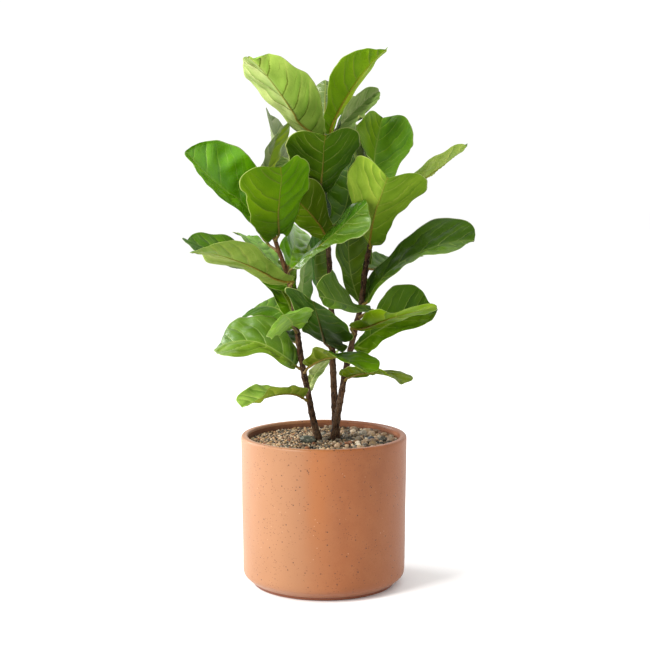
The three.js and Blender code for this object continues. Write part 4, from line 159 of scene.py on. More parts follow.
# colours (linear) of the upper side, right and left half, and of the underside, right and left half, then gloss, wave
# height in mm, bulge height; besides each leaf's own green the colours hold painted light and shade, paler on lit
# halves and darker on shaded ones, and a pale painted highlight on a few
LOOK = {
    "leaf_left_01": ((0.3800, 0.5600, 0.0300), (0.4200, 0.5113, 0.2374),
        (0.2232, 0.3763, 0.0452), (0.2232, 0.3763, 0.0452), 0.70, 2.8, 1.00),
    "leaf_left_02": ((0.2900, 0.3600, 0.1900), (0.2900, 0.3600, 0.1900),
        (0.1559, 0.2051, 0.1022), (0.1559, 0.2051, 0.1022), 0.30, 2.8, 1.00),
    "leaf_left_03": ((0.0423, 0.1070, 0.0080), (0.0423, 0.1070, 0.0080),
        (0.1170, 0.1946, 0.0252), (0.1170, 0.1946, 0.0252), 0.30, 2.8, 1.00),
    "leaf_left_04": ((0.0612, 0.1559, 0.0097), (0.0612, 0.1559, 0.0097),
        (0.0920, 0.1880, 0.0014), (0.0830, 0.2020, 0.0008), 0.30, 2.8, 1.00),
    "leaf_left_05": ((0.1000, 0.2920, 0.0008), (0.1220, 0.3160, 0.0008),
        (0.1559, 0.2623, 0.0452), (0.1559, 0.2623, 0.0452), 0.90, 4.0, 1.00),
    "leaf_left_06": ((0.0790, 0.1610, 0.0115), (0.0480, 0.1400, 0.0060),
        (0.1274, 0.2051, 0.0319), (0.1274, 0.2051, 0.0319), 1.00, 2.8, 1.00),
    "leaf_left_07": ((0.2530, 0.5600, 0.0008), (0.2170, 0.5580, 0.0008),
        (0.1274, 0.1878, 0.0452), (0.1274, 0.1878, 0.0452), 0.80, 2.8, 1.00),
    "leaf_left_08": ((0.2750, 0.5230, 0.0850), (0.2750, 0.5230, 0.0850),
        (0.1144, 0.1878, 0.0319), (0.1144, 0.1878, 0.0319), 0.25, 2.8, 1.00),
    "leaf_left_09": ((0.0802, 0.1878, 0.0130), (0.0802, 0.1878, 0.0130),
        (0.1920, 0.2650, 0.0470), (0.1700, 0.2560, 0.0390), 0.30, 2.8, 1.00),
    "leaf_left_10": ((0.0550, 0.1370, 0.0008), (0.0520, 0.1480, 0.0008),
        (0.0802, 0.1274, 0.0212), (0.0802, 0.1274, 0.0212), 0.30, 2.8, 1.00),
    "leaf_left_11": ((0.0790, 0.1350, 0.0008), (0.0760, 0.1840, 0.0012),
        (0.0802, 0.1274, 0.0212), (0.0802, 0.1274, 0.0212), 0.30, 2.8, 1.00),
    "leaf_left_12": ((0.2040, 0.3790, 0.0891), (0.3650, 0.5600, 0.1719),
        (0.1274, 0.1812, 0.0529), (0.1274, 0.1812, 0.0529), 0.30, 2.8, 1.00),
    "leaf_left_13": ((0.1310, 0.2640, 0.0212), (0.2000, 0.3730, 0.0410),
        (0.1220, 0.2560, 0.0300), (0.1220, 0.2560, 0.0300), 0.30, 2.8, 1.00),
    "leaf_left_14": ((0.0880, 0.1980, 0.0008), (0.0470, 0.1250, 0.0008),
        (0.1144, 0.1714, 0.0319), (0.1144, 0.1714, 0.0319), 0.20, 2.8, 1.00),
    "leaf_left_15": ((0.0423, 0.1070, 0.0080), (0.0423, 0.1070, 0.0080),
        (0.1170, 0.1946, 0.0252), (0.1170, 0.1946, 0.0252), 0.30, 2.8, 1.00),
    "leaf_left_16": ((0.0630, 0.1460, 0.0008), (0.0630, 0.1460, 0.0008),
        (0.1150, 0.1610, 0.0085), (0.1150, 0.1610, 0.0085), 0.30, 2.8, 1.00),
    "leaf_left_17": ((0.0720, 0.1570, 0.0077), (0.1350, 0.2430, 0.0149),
        (0.1144, 0.1714, 0.0319), (0.1144, 0.1714, 0.0319), 0.80, 2.8, 1.00),
    "leaf_left_18": ((0.3750, 0.4820, 0.1540), (0.3010, 0.3830, 0.0840),
        (0.2623, 0.3515, 0.1274), (0.2623, 0.3515, 0.1274), 0.30, 2.8, 1.00),
    "leaf_left_19": ((0.2070, 0.3370, 0.0520), (0.2070, 0.3370, 0.0520),
        (0.1700, 0.2400, 0.0200), (0.1700, 0.2400, 0.0200), 0.30, 2.8, 1.00),
    "leaf_centre_01": ((0.0802, 0.2232, 0.0097), (0.0802, 0.2232, 0.0097),
        (0.1573, 0.3000, 0.0063), (0.3035, 0.4570, 0.0121), 0.30, 2.8, 1.00),
    "leaf_centre_02": ((0.1878, 0.3515, 0.0452), (0.1878, 0.3515, 0.0452),
        (0.3360, 0.4160, 0.1414), (0.2860, 0.4140, 0.0733), 0.30, 3.0, 1.00),
    "leaf_centre_03": ((0.1480, 0.2386, 0.0599), (0.4200, 0.5400, 0.2200),
        (0.0452, 0.0908, 0.0130), (0.0452, 0.0908, 0.0130), 0.60, 2.8, 1.00),
    "leaf_centre_04": ((0.0760, 0.1330, 0.0110), (0.0760, 0.1330, 0.0110),
        (0.1559, 0.2623, 0.0319), (0.1559, 0.2623, 0.0319), 1.00, 2.8, 1.00),
    "leaf_centre_05": ((0.0452, 0.1274, 0.0070), (0.0452, 0.1274, 0.0070),
        (0.0420, 0.0890, 0.0008), (0.0350, 0.0870, 0.0008), 0.30, 2.8, 1.00),
    "leaf_centre_06": ((0.4200, 0.5600, 0.2000), (0.4200, 0.5600, 0.2000),
        (0.1274, 0.1878, 0.0612), (0.1274, 0.1878, 0.0612), 0.30, 2.8, 1.00),
    "leaf_centre_07": ((0.0320, 0.0860, 0.0008), (0.0320, 0.0860, 0.0008),
        (0.0612, 0.0908, 0.0130), (0.0612, 0.0908, 0.0130), 0.30, 2.8, 1.00),
    "leaf_centre_08": ((0.0078, 0.0450, 0.0008), (0.0078, 0.0450, 0.0008),
        (0.0612, 0.0908, 0.0130), (0.0612, 0.0908, 0.0130), 0.30, 2.8, 1.00),
    "leaf_centre_09": ((0.0452, 0.0802, 0.0070), (0.0452, 0.0802, 0.0070),
        (0.0965, 0.1723, 0.0024), (0.0500, 0.0893, 0.0013), 0.30, 2.8, 1.00),
    "leaf_centre_10": ((0.0970, 0.1880, 0.0008), (0.0770, 0.2490, 0.0008),
        (0.0802, 0.1144, 0.0168), (0.0802, 0.1144, 0.0168), 0.30, 2.8, 1.00),
    "leaf_centre_11": ((0.0452, 0.0802, 0.0048), (0.0452, 0.0802, 0.0048),
        (0.0240, 0.0640, 0.0008), (0.0220, 0.0570, 0.0008), 0.30, 2.8, 1.00),
    "leaf_right_01": ((0.1060, 0.2570, 0.0026), (0.1430, 0.2800, 0.0050),
        (0.1274, 0.2232, 0.0319), (0.1274, 0.2232, 0.0319), 0.45, 2.8, 1.00),
    "leaf_right_02": ((0.4200, 0.5600, 0.1400), (0.4200, 0.5600, 0.1400),
        (0.0612, 0.0908, 0.0130), (0.0612, 0.0908, 0.0130), 0.30, 2.8, 1.00),
    "leaf_right_03": ((0.0423, 0.1070, 0.0080), (0.0423, 0.1070, 0.0080),
        (0.2840, 0.4000, 0.0710), (0.2840, 0.4000, 0.0710), 0.30, 2.8, 1.00),
    "leaf_right_04": ((0.0423, 0.1070, 0.0080), (0.0423, 0.1070, 0.0080),
        (0.1170, 0.1946, 0.0252), (0.1170, 0.1946, 0.0252), 0.30, 2.8, 1.00),
    "leaf_right_05": ((0.1878, 0.3763, 0.0262), (0.1878, 0.3763, 0.0262),
        (0.1930, 0.2910, 0.0281), (0.1380, 0.2410, 0.0145), 0.30, 2.8, 1.00),
    "leaf_right_06": ((0.0630, 0.1470, 0.0008), (0.0630, 0.1470, 0.0008),
        (0.1274, 0.1714, 0.0612), (0.1274, 0.1714, 0.0612), 0.30, 2.8, 1.00),
    "leaf_right_07": ((0.0628, 0.1370, 0.0008), (0.0326, 0.0830, 0.0008),
        (0.0908, 0.1413, 0.0262), (0.0908, 0.1413, 0.0262), 0.50, 2.8, 1.00),
    "leaf_right_08": ((0.0580, 0.1130, 0.0008), (0.0570, 0.1210, 0.0008),
        (0.0802, 0.1070, 0.0168), (0.0802, 0.1070, 0.0168), 0.30, 2.8, 1.00),
    "leaf_right_09": ((0.0600, 0.1250, 0.0078), (0.0570, 0.1270, 0.0065),
        (0.1144, 0.1714, 0.0319), (0.1144, 0.1714, 0.0319), 0.30, 2.8, 1.00),
    "leaf_right_10": ((0.0612, 0.1274, 0.0130), (0.0612, 0.1274, 0.0130),
        (0.1740, 0.2970, 0.0048), (0.1390, 0.2440, 0.0025), 0.30, 2.8, 1.00),
    "leaf_right_11": ((0.1020, 0.2130, 0.0008), (0.0580, 0.1360, 0.0008),
        (0.1022, 0.1500, 0.0262), (0.1022, 0.1500, 0.0262), 0.30, 2.8, 1.00),
    "leaf_right_12": ((0.1200, 0.1710, 0.0098), (0.1200, 0.1710, 0.0098),
        (0.0790, 0.1300, 0.0008), (0.0790, 0.1300, 0.0008), 0.30, 2.8, 1.00),
}
# finer margins, millimetres, at the stations EDGE_S of each half: sideways, ahead and up, right half then left half,
# and last the midrib's own sideways shift
EDGE_S = [.06, .16, .28, .41, .54, .66, .77, .86, .93, .975]
EDGES = {
    "leaf_left_01": ([-0.2, 0.3, 1.3, 2.6, 1.6, -0.8, -1.5, -0.8, -0.2, 0.1, 0, -0.1, -0.4, -0.5, 0.4, 1.2, 1.1, 0.9, 0.3, -0.1, -0.3, 0.3, 1.5, 3, 1.6, -2, -2.7, -1.3, -0.3, 0.2],
        [-0.1, 0.1, 0.6, 1.5, 1.5, 1.3, -0.4, -0.4, 0, -0.2, -0, 0.4, 0.8, 0.8, -1.7, -3.3, -2.8, -1.4, 0.3, 1.9, 0.3, -0.3, -1.6, -3.6, -2.4, -0.7, 4.5, 2.2, -1.9, 0],
        [-0.1, -0.1, 0, 0.6, 1.8, 3.4, -3.6, -9, -8.7, -4.1]),
    "leaf_left_02": ([0, 0, 0, -0, -0, -0.1, -0.1, 0.1, 0.7, 1.9, 0, -0, -0, -0, 0, 0.1, 0.2, 0.3, -0.1, -1.9, 0, 0, 0, -0, -0, -0, -0, 0.3, 1, 1.6],
        [-0, -0, 0, 0.1, 0.3, 0.3, 0.3, 0.1, 0, -0, -0, -0, 0, 0.2, 0.5, 0.6, 0.9, 0.4, 0.1, -0.1, -0, 0, 0.1, 0.3, 0.4, -0.3, 1.5, 0.9, 0.2, -0.1],
        [0, 0, 0, 0, 0, 0, 0, 0, 0, 0]),
    "leaf_left_04": ([-5.2, -2.1, 4.1, 7.8, 2.3, 1, -4.6, -3.5, -2.2, -0.7, -4.6, -0.8, -1.4, -4.7, -3.5, -1.2, 3.3, 4.5, 0, 0.3, -9.9, -1.7, 0.5, -2.1, -3.1, -0.9, 1.5, 2.9, -0.8, 0.1],
        [-15.8, -5.3, 1.7, 2, 0.4, -0.9, 0.4, -0.5, -3.1, 3.8, -10.6, -2.9, -0.1, 0.2, -0, -0.1, 0.1, -0.3, -0.8, 5.3, -9.4, -1.5, -1, -0.7, -0.1, 0.6, -0.2, -0.1, 1.1, 2.3],
        [1, 1.5, 2.2, 2.1, 0.5, -0.4, -2.1, -2.6, -1.4, -0.2]),
    "leaf_left_05": ([0.2, 0.6, 0.5, -1.4, 0.2, 0.7, 0.9, 2.7, 2.4, 3.6, -0.1, -0.8, -1.2, 0, 0.6, -4, -3.1, -1.2, 0.8, -1.8, 0, 0.2, 0.3, -0.1, -0.1, 0.7, 0.6, 0.5, 0.1, 1],
        [-1.6, 0.8, 0.8, 0.3, 0.6, 0.6, 0.6, -0.3, -1.3, -2.2, 5.3, 1.5, -1, -2, -1.2, -0.3, -1.1, -2.1, 0.9, 8.2, 2.9, -6.8, -4.1, 0.3, -1.6, -2.3, -0.9, 5.3, 6.9, 0.1],
        [-9, 1.4, 9, 9, -4.1, -9, -9, -5.5, -0.8, 2]),
    "leaf_left_06": ([-2.1, 1.5, -0.7, 0.7, -0.2, 4.4, 2.1, -2, -0.8, -0.8, 3.6, 0, -0.2, -1.8, -0.8, -0.8, 1.6, 5.5, 3.1, -3.5, 3.1, -4.4, 0.2, -0.4, 1.7, -4.2, -2.7, 0.2, -0.4, 1.6],
        [-1.1, -1.6, -0.9, -0.8, -0.6, 0.5, 1.3, -0.4, -2.8, -2, -3.5, -3.8, -2.4, -0.2, 1.1, 1.1, 0.9, -0.7, -2.5, -1.8, -6.7, -4, 1.9, -1, -3.1, -0.3, 2.2, 0, -3.4, -2.4],
        [7, 8.7, 9, 8.7, 8.8, 5.5, 2.1, 1.3, 0.5, -0.1]),
    "leaf_left_07": ([0, 0.1, 0, -0.3, -1.1, -1.9, -0.6, 0.5, 0.1, -1.2, -0, -0, -0, 0, 0.2, 0.4, 0.7, 1.2, 1.5, 0.6, 0, 0, -0, -0.2, -0.4, -0.3, 1.3, 3.9, 4, -0.3],
        [-0, 2.5, 3.9, 1.4, 0.1, -0.2, -0.1, -0, -0, 0, 2, 2, 2.8, 2.3, 0.9, 0.2, -0.1, -0.1, -0, 0, 2.4, 0.2, 0.6, 3.7, 1.9, 0.5, -0, -0.1, -0.1, 0],
        [2.4, 0.8, 1.6, 0.6, -0.8, -0.9, -0.5, -0.1, 0, 0.1]),
    "leaf_left_08": ([0.1, -0.1, -0.4, -0.8, -0.5, -0.6, -1, -0.9, -1.2, -2.2, -0, 0.1, 0.3, 0.5, 0.2, -0.3, -0.7, -0.4, 0.9, 3.4, 0, -0, -0.2, -0.6, -0.6, -1.7, -3.6, -2.5, 0.2, 4.8],
        [0, -0, -0.1, -0.3, -0.5, -0.1, 0.4, -0.1, -3.3, -10.9, -0, -0, 0, 0.1, 0.3, 0.4, 0.4, -0.1, -2.4, -7.8, -0.1, -0.1, 0.2, 1.2, 2.5, 1.5, 0.5, 0, -0.8, -2.7],
        [1.7, 2.3, 1.2, -3, -2.2, 1.2, 4.6, 3.5, 1.4, -0.3]),
    "leaf_left_09": ([1.5, 2.1, 0.9, -1.6, 0.3, 0.6, -2.3, -0.4, -0.1, -1, 1.4, 3.1, 1.9, -1.7, -0.3, 1.5, -2.8, 0.8, 0.1, -3.4, -1.4, -1.4, 0.2, 1, -1.4, 0.7, 6.1, 2.4, -0.4, -2.3],
        [-0.7, 0.6, 1.6, -1.5, 0.1, -1.1, -0.7, -1.8, -1.2, -0.2, -0.6, -2.4, -3.4, -2, -1.1, 2.1, 0.6, -1.6, -1.6, -1.3, -0.7, -0.6, -0.3, -2.2, -0.3, 0.2, -0.6, -4.1, -2.9, -1.1],
        [9, 9, 0.5, -3.9, -3.9, -1.5, -0.1, 0.3, 0.3, 0.1]),
    "leaf_left_10": ([0.1, 0.1, 0, -0.7, -2.5, -4.5, -1.2, -3.3, -1.8, -1.2, -0.1, -0.1, -0.1, 0.3, 1.8, 4.5, 5.2, 1.8, 2.7, 0.8, 0.1, 0.1, 0, -0.6, -2.1, -3.5, 0.8, -3.4, -1.1, -1.1],
        [0.6, 0.3, -1.1, -0.8, -0.3, 0.5, 1.2, 0.4, -1.9, -1.5, -0.2, -2.3, -2.7, -1.1, 0.8, 2.4, 4.9, 3.8, 0.3, -1.7, -1.5, -1.8, 1.2, 1.6, 1.5, 0.1, 0.1, 5.2, 5.7, 5.2],
        [0, 0, 0, 0, 0, 0, 0, 0, 0, 0]),
    "leaf_left_11": ([0, 0, 0, 0, 0, 0, 0, 0, 0, 0, 0, 0, 0, 0, 0, 0, 0, 0, 0, 0, 0, 0, 0, 0, 0, 0, 0, 0, 0, 0],
        [-2.7, -3.6, -1.9, 0.7, 1.1, 0.5, 0.1, -0, -0, -0, -7.1, -3.1, -1.9, -1.4, -0.9, -0.3, -0, 0, 0, 0, -2, 0.8, -0.2, -2.3, -2.1, -0.8, -0.1, 0.1, 0.1, 0],
        [-0.3, 0.6, -1.2, -2.5, -1.6, -0.6, -0.1, 0.1, 0.1, 0]),
    "leaf_left_12": ([-4.3, -3.5, 4.5, 4.2, 0.1, -0.3, 0.4, 0.4, 0.2, -0, 1.4, 0.1, -3.5, -5.1, -2.7, -0.4, 0.8, 0.7, 0.3, -0, -1.3, -0.8, 2.3, 0.5, -1.3, -0.3, 1, 0.8, 0.3, -0.1],
        [-1.2, 0.1, 1, 0.8, 0.4, 0.1, -0, -0, -0, 0, 7.1, 2.6, 0.4, -0.5, -0.9, -0.5, -0.2, -0, 0, 0, 4.3, 0.2, -2.5, -2.5, -2.2, -0.8, -0, 0.1, 0.1, 0],
        [0, 0, 0, 0, 0, 0, 0, 0, 0, 0]),
    "leaf_left_13": ([-4.3, -1.3, 0.4, 1.1, 0.7, -0, -0.2, 1.1, 4.9, 3.5, -1.4, -0.5, -0.1, -0.2, -0.1, -0, 0, -0, -0.3, -0.6, 7.9, 2.2, 0.2, 0.4, 0.4, 0.3, -0.2, -1.7, -4.1, 2],
        [-6.4, -0.6, 1.9, 2.7, 0.8, -0.8, -0.8, -0.4, -0.2, 0.1, 0.5, 0.3, -0.2, -0.5, -0.3, -0.1, -0.1, -0.1, -0.1, 0.3, 1.9, -0.7, 0.3, 1.7, 0.8, 0.1, 0.1, 0.6, 0.7, -1.2],
        [0, 0, 0, 0, 0, 0, 0, 0, 0, 0]),
    "leaf_left_14": ([0, 0.1, 0.1, -0, -0.8, -2.3, -3.6, -1.7, -0.3, 0.4, -0, -0, -0, -0, 0.2, 0.8, 1.5, 1.3, 1.2, 0.8, 0, 0, 0.1, -0.1, -0.6, -1.7, -2.2, 0.9, 3.8, 3.9],
        [-1.7, 2.6, 2.6, 1.7, -0.7, -1, -0.7, -0.5, -0, 2.1, 2.4, -0.6, -1.6, -2.1, -1.5, -0.6, -0.3, -0.5, -0.6, 0.7, 1.7, -1.1, -1.9, -2.3, -0.7, 0.2, 0.4, -0.2, -2.5, -5],
        [0.1, 1, 1.7, 2.8, 3.6, 2.6, 1.9, 0.8, 0.1, -0.3]),
    "leaf_left_15": ([-1.5, -0.7, -0.2, 0, 0, 0, 0, -0, -0, -0, 1.5, 0.6, 0.1, -0, -0, -0, -0, 0, 0, 0, 0.8, 0.2, -0, -0, -0, -0, 0, 0, 0, -0],
        [0, 0, 0, 0, 0, 0, 0, 0, 0, 0, 0, 0, 0, 0, 0, 0, 0, 0, 0, 0, 0, 0, 0, 0, 0, 0, 0, 0, 0, 0],
        [0, 0, 0, 0, 0, 0, 0, 0, 0, 0]),
    "leaf_left_16": ([0.4, -0.4, -2.4, 2.9, 4.7, 1.4, 0, -0, 0.5, 0.4, 0.4, 0.2, -0.4, -2, -2.6, -1, -0.1, -0.4, -1.6, -1.2, 0.4, -0, -1.3, 2.1, 0.9, -2.9, -4.1, -5.8, 1.1, 2.8],
        [-16, -2.4, 5, 2.5, 1.8, 1.5, 1.6, 0.7, 1.2, 1.3, -12.9, -2.4, 2.6, 2.1, 1.7, 0.6, -0, -0.1, 1.4, 2, 2.8, -3, -4.3, 5.8, 1.1, 1.2, 2, 1, 0.1, -0.4],
        [0, 0, 0, 0, 0, 0, 0, 0, 0, 0]),
    "leaf_left_17": ([-2.7, 0.7, 1.7, 1.3, -0.8, -0.3, 3.5, 1.4, 0.6, -1.7, 1.6, -0.3, -1.4, -2.1, -1.7, -1.9, -1.8, -1.6, -1.2, -3.9, -1.6, 0.2, 0.8, 0.5, -0.7, -0.2, 2.7, 0.4, -0.2, -4.8],
        [-2.7, -2, -1.3, 0.6, 0.5, 0.2, 1.7, 1, 0.3, -0.7, 3.2, -0.1, -1.7, -2.6, -0.7, 0.7, 2.7, 0.7, -0.2, -1.7, 0.9, 1.8, 1.5, -0.8, 0, 0.4, -2.7, -2.6, -1.3, 0.3],
        [-2.5, -5.1, -5.5, -3.2, -1.1, -1.3, -1.8, -1.8, -0.9, 0]),
    "leaf_left_18": ([-1.5, -0.7, 0.5, -0, 0.9, 0.9, 0.7, -0.2, -3.7, -4.9, -5.2, -2.2, -0.6, 1.2, 1.3, 0.9, 0.6, -0.4, -4.1, -4.8, -3.8, -1.4, -0.8, 2, -1, -0.9, -0.3, 0.6, 2.1, 3.2],
        [-1.2, -3.5, -3.7, -0.3, 2.3, 1.4, 0.5, 0.2, 0.1, 0, 0.6, 1.6, 1.5, -0.3, -1.8, -1.1, -0.5, -0.3, -0.4, -0.1, -0.5, -1.8, -2, -0.3, 1, 0.5, -0.3, -0.9, -1, -0.3],
        [-0.2, -0.9, -1.4, -0.6, 0.7, 2.1, 2.6, 1.5, 0.5, -0.3]),
    "leaf_left_19": ([0.6, 3.5, 5.2, 3.1, 0.2, -0.5, -2.4, -1.1, -0.3, 0.2, 0.6, 2.5, 3.5, 2.9, -2.6, -6.6, -3.9, -1, -0, -0.2, -0.5, -0.8, 1.7, 0.1, 0.1, 5, 1.1, -0, -0.2, 0.1],
        [-0.4, 1, 0.8, -0.4, -0.4, 1, 3.8, 1.7, 0.9, 0.1, 1.8, 0.3, -1, -2.2, -1.5, -0.3, -2.2, -3, -1.2, 0.2, 2.5, 0.9, -1.4, -3.7, -0.6, 2.8, 6.1, -1, 1.1, 1],
        [0, 0, 0, 0, 0, 0, 0, 0, 0, 0]),
    "leaf_centre_01": ([0.9, 1.3, 0, 0.6, 1.9, 0.6, 2.4, 1.8, 0.5, -1, -0.1, 0.2, 0.7, -0.3, -1.9, -1, -0.3, 1.9, 1.6, -2.8, 0.4, 0.6, 0.1, 0.3, 0.6, 0.1, 1.7, 2.1, 1.1, -2.1],
        [-0.4, -0.4, -0.3, -0.3, 0.4, 0.8, 0.3, -0.6, -0.6, -0.2, 0.4, 0.2, -0.1, -0.2, 1.1, 2.9, 1.1, -1.8, -2.1, -0.8, 2, 1.9, 1.7, 1.7, -0.4, -2.9, -2.2, -1, 0.7, 0.7],
        [4, 3.3, 2.7, 1.7, 1.4, 2.1, 2.2, 2.9, 2.9, 1.7]),
    "leaf_centre_02": ([0, 0.9, 1.7, 2.2, 2.1, 0.4, 0.7, -0.2, -0.5, -0.6, -0.8, -0.6, 1.1, 5, 5, -0.7, -5.8, -5.1, -2.9, -1.3, -0.6, -2, -2, 0.1, -0.5, -1.6, -5.4, -2.5, -0.7, 0.3],
        [-6, -0.7, 1.5, -1.5, -1.1, 2.7, -2, 0.6, 0.7, -9.6, 5.4, 0.3, -2.4, -0.7, 0.2, 0.2, 0.1, 4.1, 3.5, -3.8, 1.4, 0, -0.9, -0.7, -0.1, 0.7, -0.8, 2, 1.5, -6.7],
        [9, 9, 8.3, -2.3, -5.7, -5.6, -4.9, -6.9, -6.1, -2.8]),
    "leaf_centre_03": ([2.5, 4.7, 2.3, -0.5, -2.5, -1.4, -0.5, -0.8, -0.5, -0.2, 0.7, 1.2, 0.4, -0.9, -2.3, -0.6, 0.4, -2.8, -4.2, -3.6, -1, -1.6, 0.1, 2.3, 2.7, -0.4, -3.9, -4.7, -0.7, 1.6],
        [1, -0.8, -2.1, -0.6, 0.9, 0.9, -0.8, -1.1, -1.9, -3, -1, -1.1, -1.4, -0.2, 1.3, 2.5, 0.9, -1, -1.9, 0.2, 4.3, -0.3, -3.5, -3.3, -2.3, 0.6, 3.5, 2.1, 2.2, 4.2],
        [-0.1, 0.3, 0.8, 1.3, 0.6, -1, -2.4, -2.9, -2.4, -1.5]),
    "leaf_centre_04": ([0, 0.1, 0, -0.3, -1.2, -2.3, -1.4, -0.8, -0.2, -1.6, -0, -0, 0, 0.1, 0.2, 0.4, 0.1, 0.1, 1.2, 2.3, 0, 0.1, 0, -0.2, -0.8, -1.8, -1.2, -0.6, 1.2, 0.9],
        [-0, -0, 0, 0, 0.1, 0.2, -0, -0.5, -0.5, -0.2, -0, 0, 0, 0, 0, -0.1, -0.3, -0.7, -1.1, -0.7, -0, -0, 0, 0, 0.1, 0.1, -0.3, -1.4, -1.9, -0.9],
        [-0.1, 0.2, 0.5, 0.8, 0.4, -0.2, -0.5, -0.3, -0.1, 0]),
    "leaf_centre_05": ([-13.2, -4.5, -0.7, -0.8, -1.8, 1.1, -0.3, -0.2, -0.1, 2, -3.1, -0.7, 0, -0.3, -1.4, -2.5, -2, -1.4, -1.2, -1.3, -3.6, -0.2, 0.3, 0.2, -0.6, -2.6, -1.6, -1.1, -0.8, -1.1],
        [-8.9, -1.8, 1.1, 0.5, -0.2, -0.1, -2.7, -0.6, -0.8, -0.4, -3, -1.2, -0.5, -0.3, -1.2, -2.5, -0.4, 2.6, 0.6, 0.3, -2.9, -1.7, -1.3, -0.2, -0.9, -3, 1.3, 3, 1, 0.6],
        [-0.8, -1.2, -1, -1, -1.1, -0.7, 0.2, 1, 0.8, 0.4]),
    "leaf_centre_06": ([0, 0, 0, -0, -0, -0, -0, 0.1, 0.4, 0.9, -0, -0, -0, 0, 0, 0, 0, -0, -0.3, -1, 0, 0, -0, -0, -0, -0, 0, 0.3, 1, 1.5],
        [-0, 0, 0, 0, -0, -0.2, -0.5, -0.5, -0.4, -0.6, -0, 0, 0, 0, -0, -0.1, -0.2, -0.3, -0.5, -1.3, -0, 0, 0, 0, -0, -0.1, -0.1, -0.1, 0.1, 0.4],
        [0, 0, 0, 0, 0, 0, 0, 0, 0, 0]),
    "leaf_centre_07": ([0.6, 0.8, -0, -1.1, -0.6, -0.7, -1.3, -0.7, -0.2, 0.1, 0.1, 0.1, -0.2, -0.8, -1.2, -1.4, -1.5, -0.7, -0.1, 0.1, -1.7, -3.3, -1.1, 1.1, -0.1, -0.1, 1.3, 0.8, 0.2, -0.1],
        [0.1, 0.1, -0.1, -0.5, -1.2, -0.7, 0, 0.7, 0.6, -0.1, -0.1, -0, 0.1, 0.4, 0.9, 0.7, 0.6, 0.7, -0.3, -2.4, 0, 0, 0, -0.1, -0.2, -0.1, 0.2, 0.7, 0.3, -0.9],
        [0, 0, 0, 0, 0, 0, 0, 0, 0, 0]),
    "leaf_centre_08": ([0, 0, 0, -0.1, -0.2, 0.3, 0.9, -0, -0.3, -0.2, -0, -0.1, 0, 0.3, 0.9, 1.4, 1.5, -0.3, -0.8, -0.5, -0, 0, 0.1, 0.1, 0.5, 1.4, 2.1, -0.2, -0.8, -0.5],
        [-0.4, 0.1, 0.5, 0.3, 0.1, -0, -0, -0, -0, 0, -2.3, -0.3, 0.8, 1, 0.8, 0.3, 0, -0, -0, -0, 5.1, -0.1, -2.6, 0.6, 2.6, 1.4, 0.3, -0, -0.1, -0],
        [0, 0, 0, 0, 0, 0, 0, 0, 0, 0]),
    "leaf_centre_09": ([-2.4, -0.7, -0.3, 0.4, 0.6, 0.3, 0.1, -0, -0, -0, 2.2, 1, 0.7, 0.2, -0.1, -0.1, -0.1, -0, 0, 0, 2.2, 0.8, 0.5, -0, -0.3, -0.2, -0, 0, 0, 0],
        [0, 0, 0, 0, 0, 0, 0, 0, 0, 0, 0, 0, 0, 0, 0, 0, 0, 0, 0, 0, 0, 0, 0, 0, 0, 0, 0, 0, 0, 0],
        [-2.7, -3.4, -3.4, -2, -0.4, 1.7, 2.3, 1.4, 0.4, -0.2]),
    "leaf_centre_10": ([0.2, -0.6, -1.9, -2.7, 1, 3, 1.8, 0.8, 0.1, -0.2, 0.2, -0.1, -0.7, -1.8, -2.3, -2, -0.8, -0, 0.1, 0.1, 0.5, -0.8, -3, -5.5, -1.2, 1.5, 1.2, 0.6, 0.2, -0.1],
        [0.3, 1.1, 1.4, 0.9, -0.1, -0.2, -0.1, -0, 0, 0, 0.4, 1.2, 1.4, 1.4, 1.3, 0.5, 0.1, -0, -0, -0, 1.6, 2.9, 0.5, -1, 1.6, 1.1, 0.3, 0, -0, -0],
        [0, 0, 0, 0, 0, 0, 0, 0, 0, 0]),
    "leaf_centre_11": ([-1.5, 0.4, -0.4, -0.7, -0.4, -0.1, 0, 0, -0, -0.1, 0.5, -1.4, -1, -0.4, -0.1, 0, 0, 0, 0.2, 0.6, 2.2, -3.7, -1.7, -0.1, 0.2, 0.1, -0, -0, 0.4, 1.5],
        [9.4, 10.3, 0.9, -1.3, 3.9, 3.5, 2.4, 3.3, 1.7, 0.7, -6.8, -3.6, -3.3, -2.9, -5, -4, -2.7, -0.5, -0.6, -0.1, -8.3, -1.4, -6.4, -6.1, -6.7, -5.2, -3.4, 2.5, 0.2, 0.5],
        [0, 0, 0, 0, 0, 0, 0, 0, 0, 0]),
    "leaf_right_01": ([-0.5, 0.1, 1.6, 4.7, 3.4, 1.7, -3.6, -1.1, 0.4, 0.6, -0, -0, 0, -0.2, -1.2, -4.8, -3.3, 1, 0.4, -0.8, 0.1, -0.4, -1, -1.9, -1.5, -3.9, 0.4, 0.5, -0.3, -0.6],
        [2, 0.6, -0.1, -0.1, 0, 0.2, 0.3, 0.4, 0.3, 0.2, 0.1, 0, -0.1, -0.4, 0.1, 0.3, 0.3, 0.3, 0.6, 1.2, 2.7, 1.7, 1.3, -0.8, -0.3, 0.1, -0, -0.2, -0, 0.2],
        [-0.1, 0.5, 1.1, 1.3, -0.3, -1.6, -1.6, -1.5, -1.7, -1.1]),
    "leaf_right_02": ([0, 0, 0, 0, 0, 0, 0, 0, 0, 0, 0, 0, 0, 0, 0, 0, 0, 0, 0, 0, 0, 0, 0, 0, 0, 0, 0, 0, 0, 0],
        [0.1, 0.7, 1.2, 1.1, -1.9, -1.4, -0.5, -0.1, 0.1, 0.1, -0, -0.3, -0.6, -0.7, 0.9, 0.7, 0.3, 0, -0, -0, -0, -1.1, -2.2, -1.9, 5.6, 3.5, 1, 0, -0.2, -0.1],
        [0, 0, 0, 0, 0, 0, 0, 0, 0, 0]),
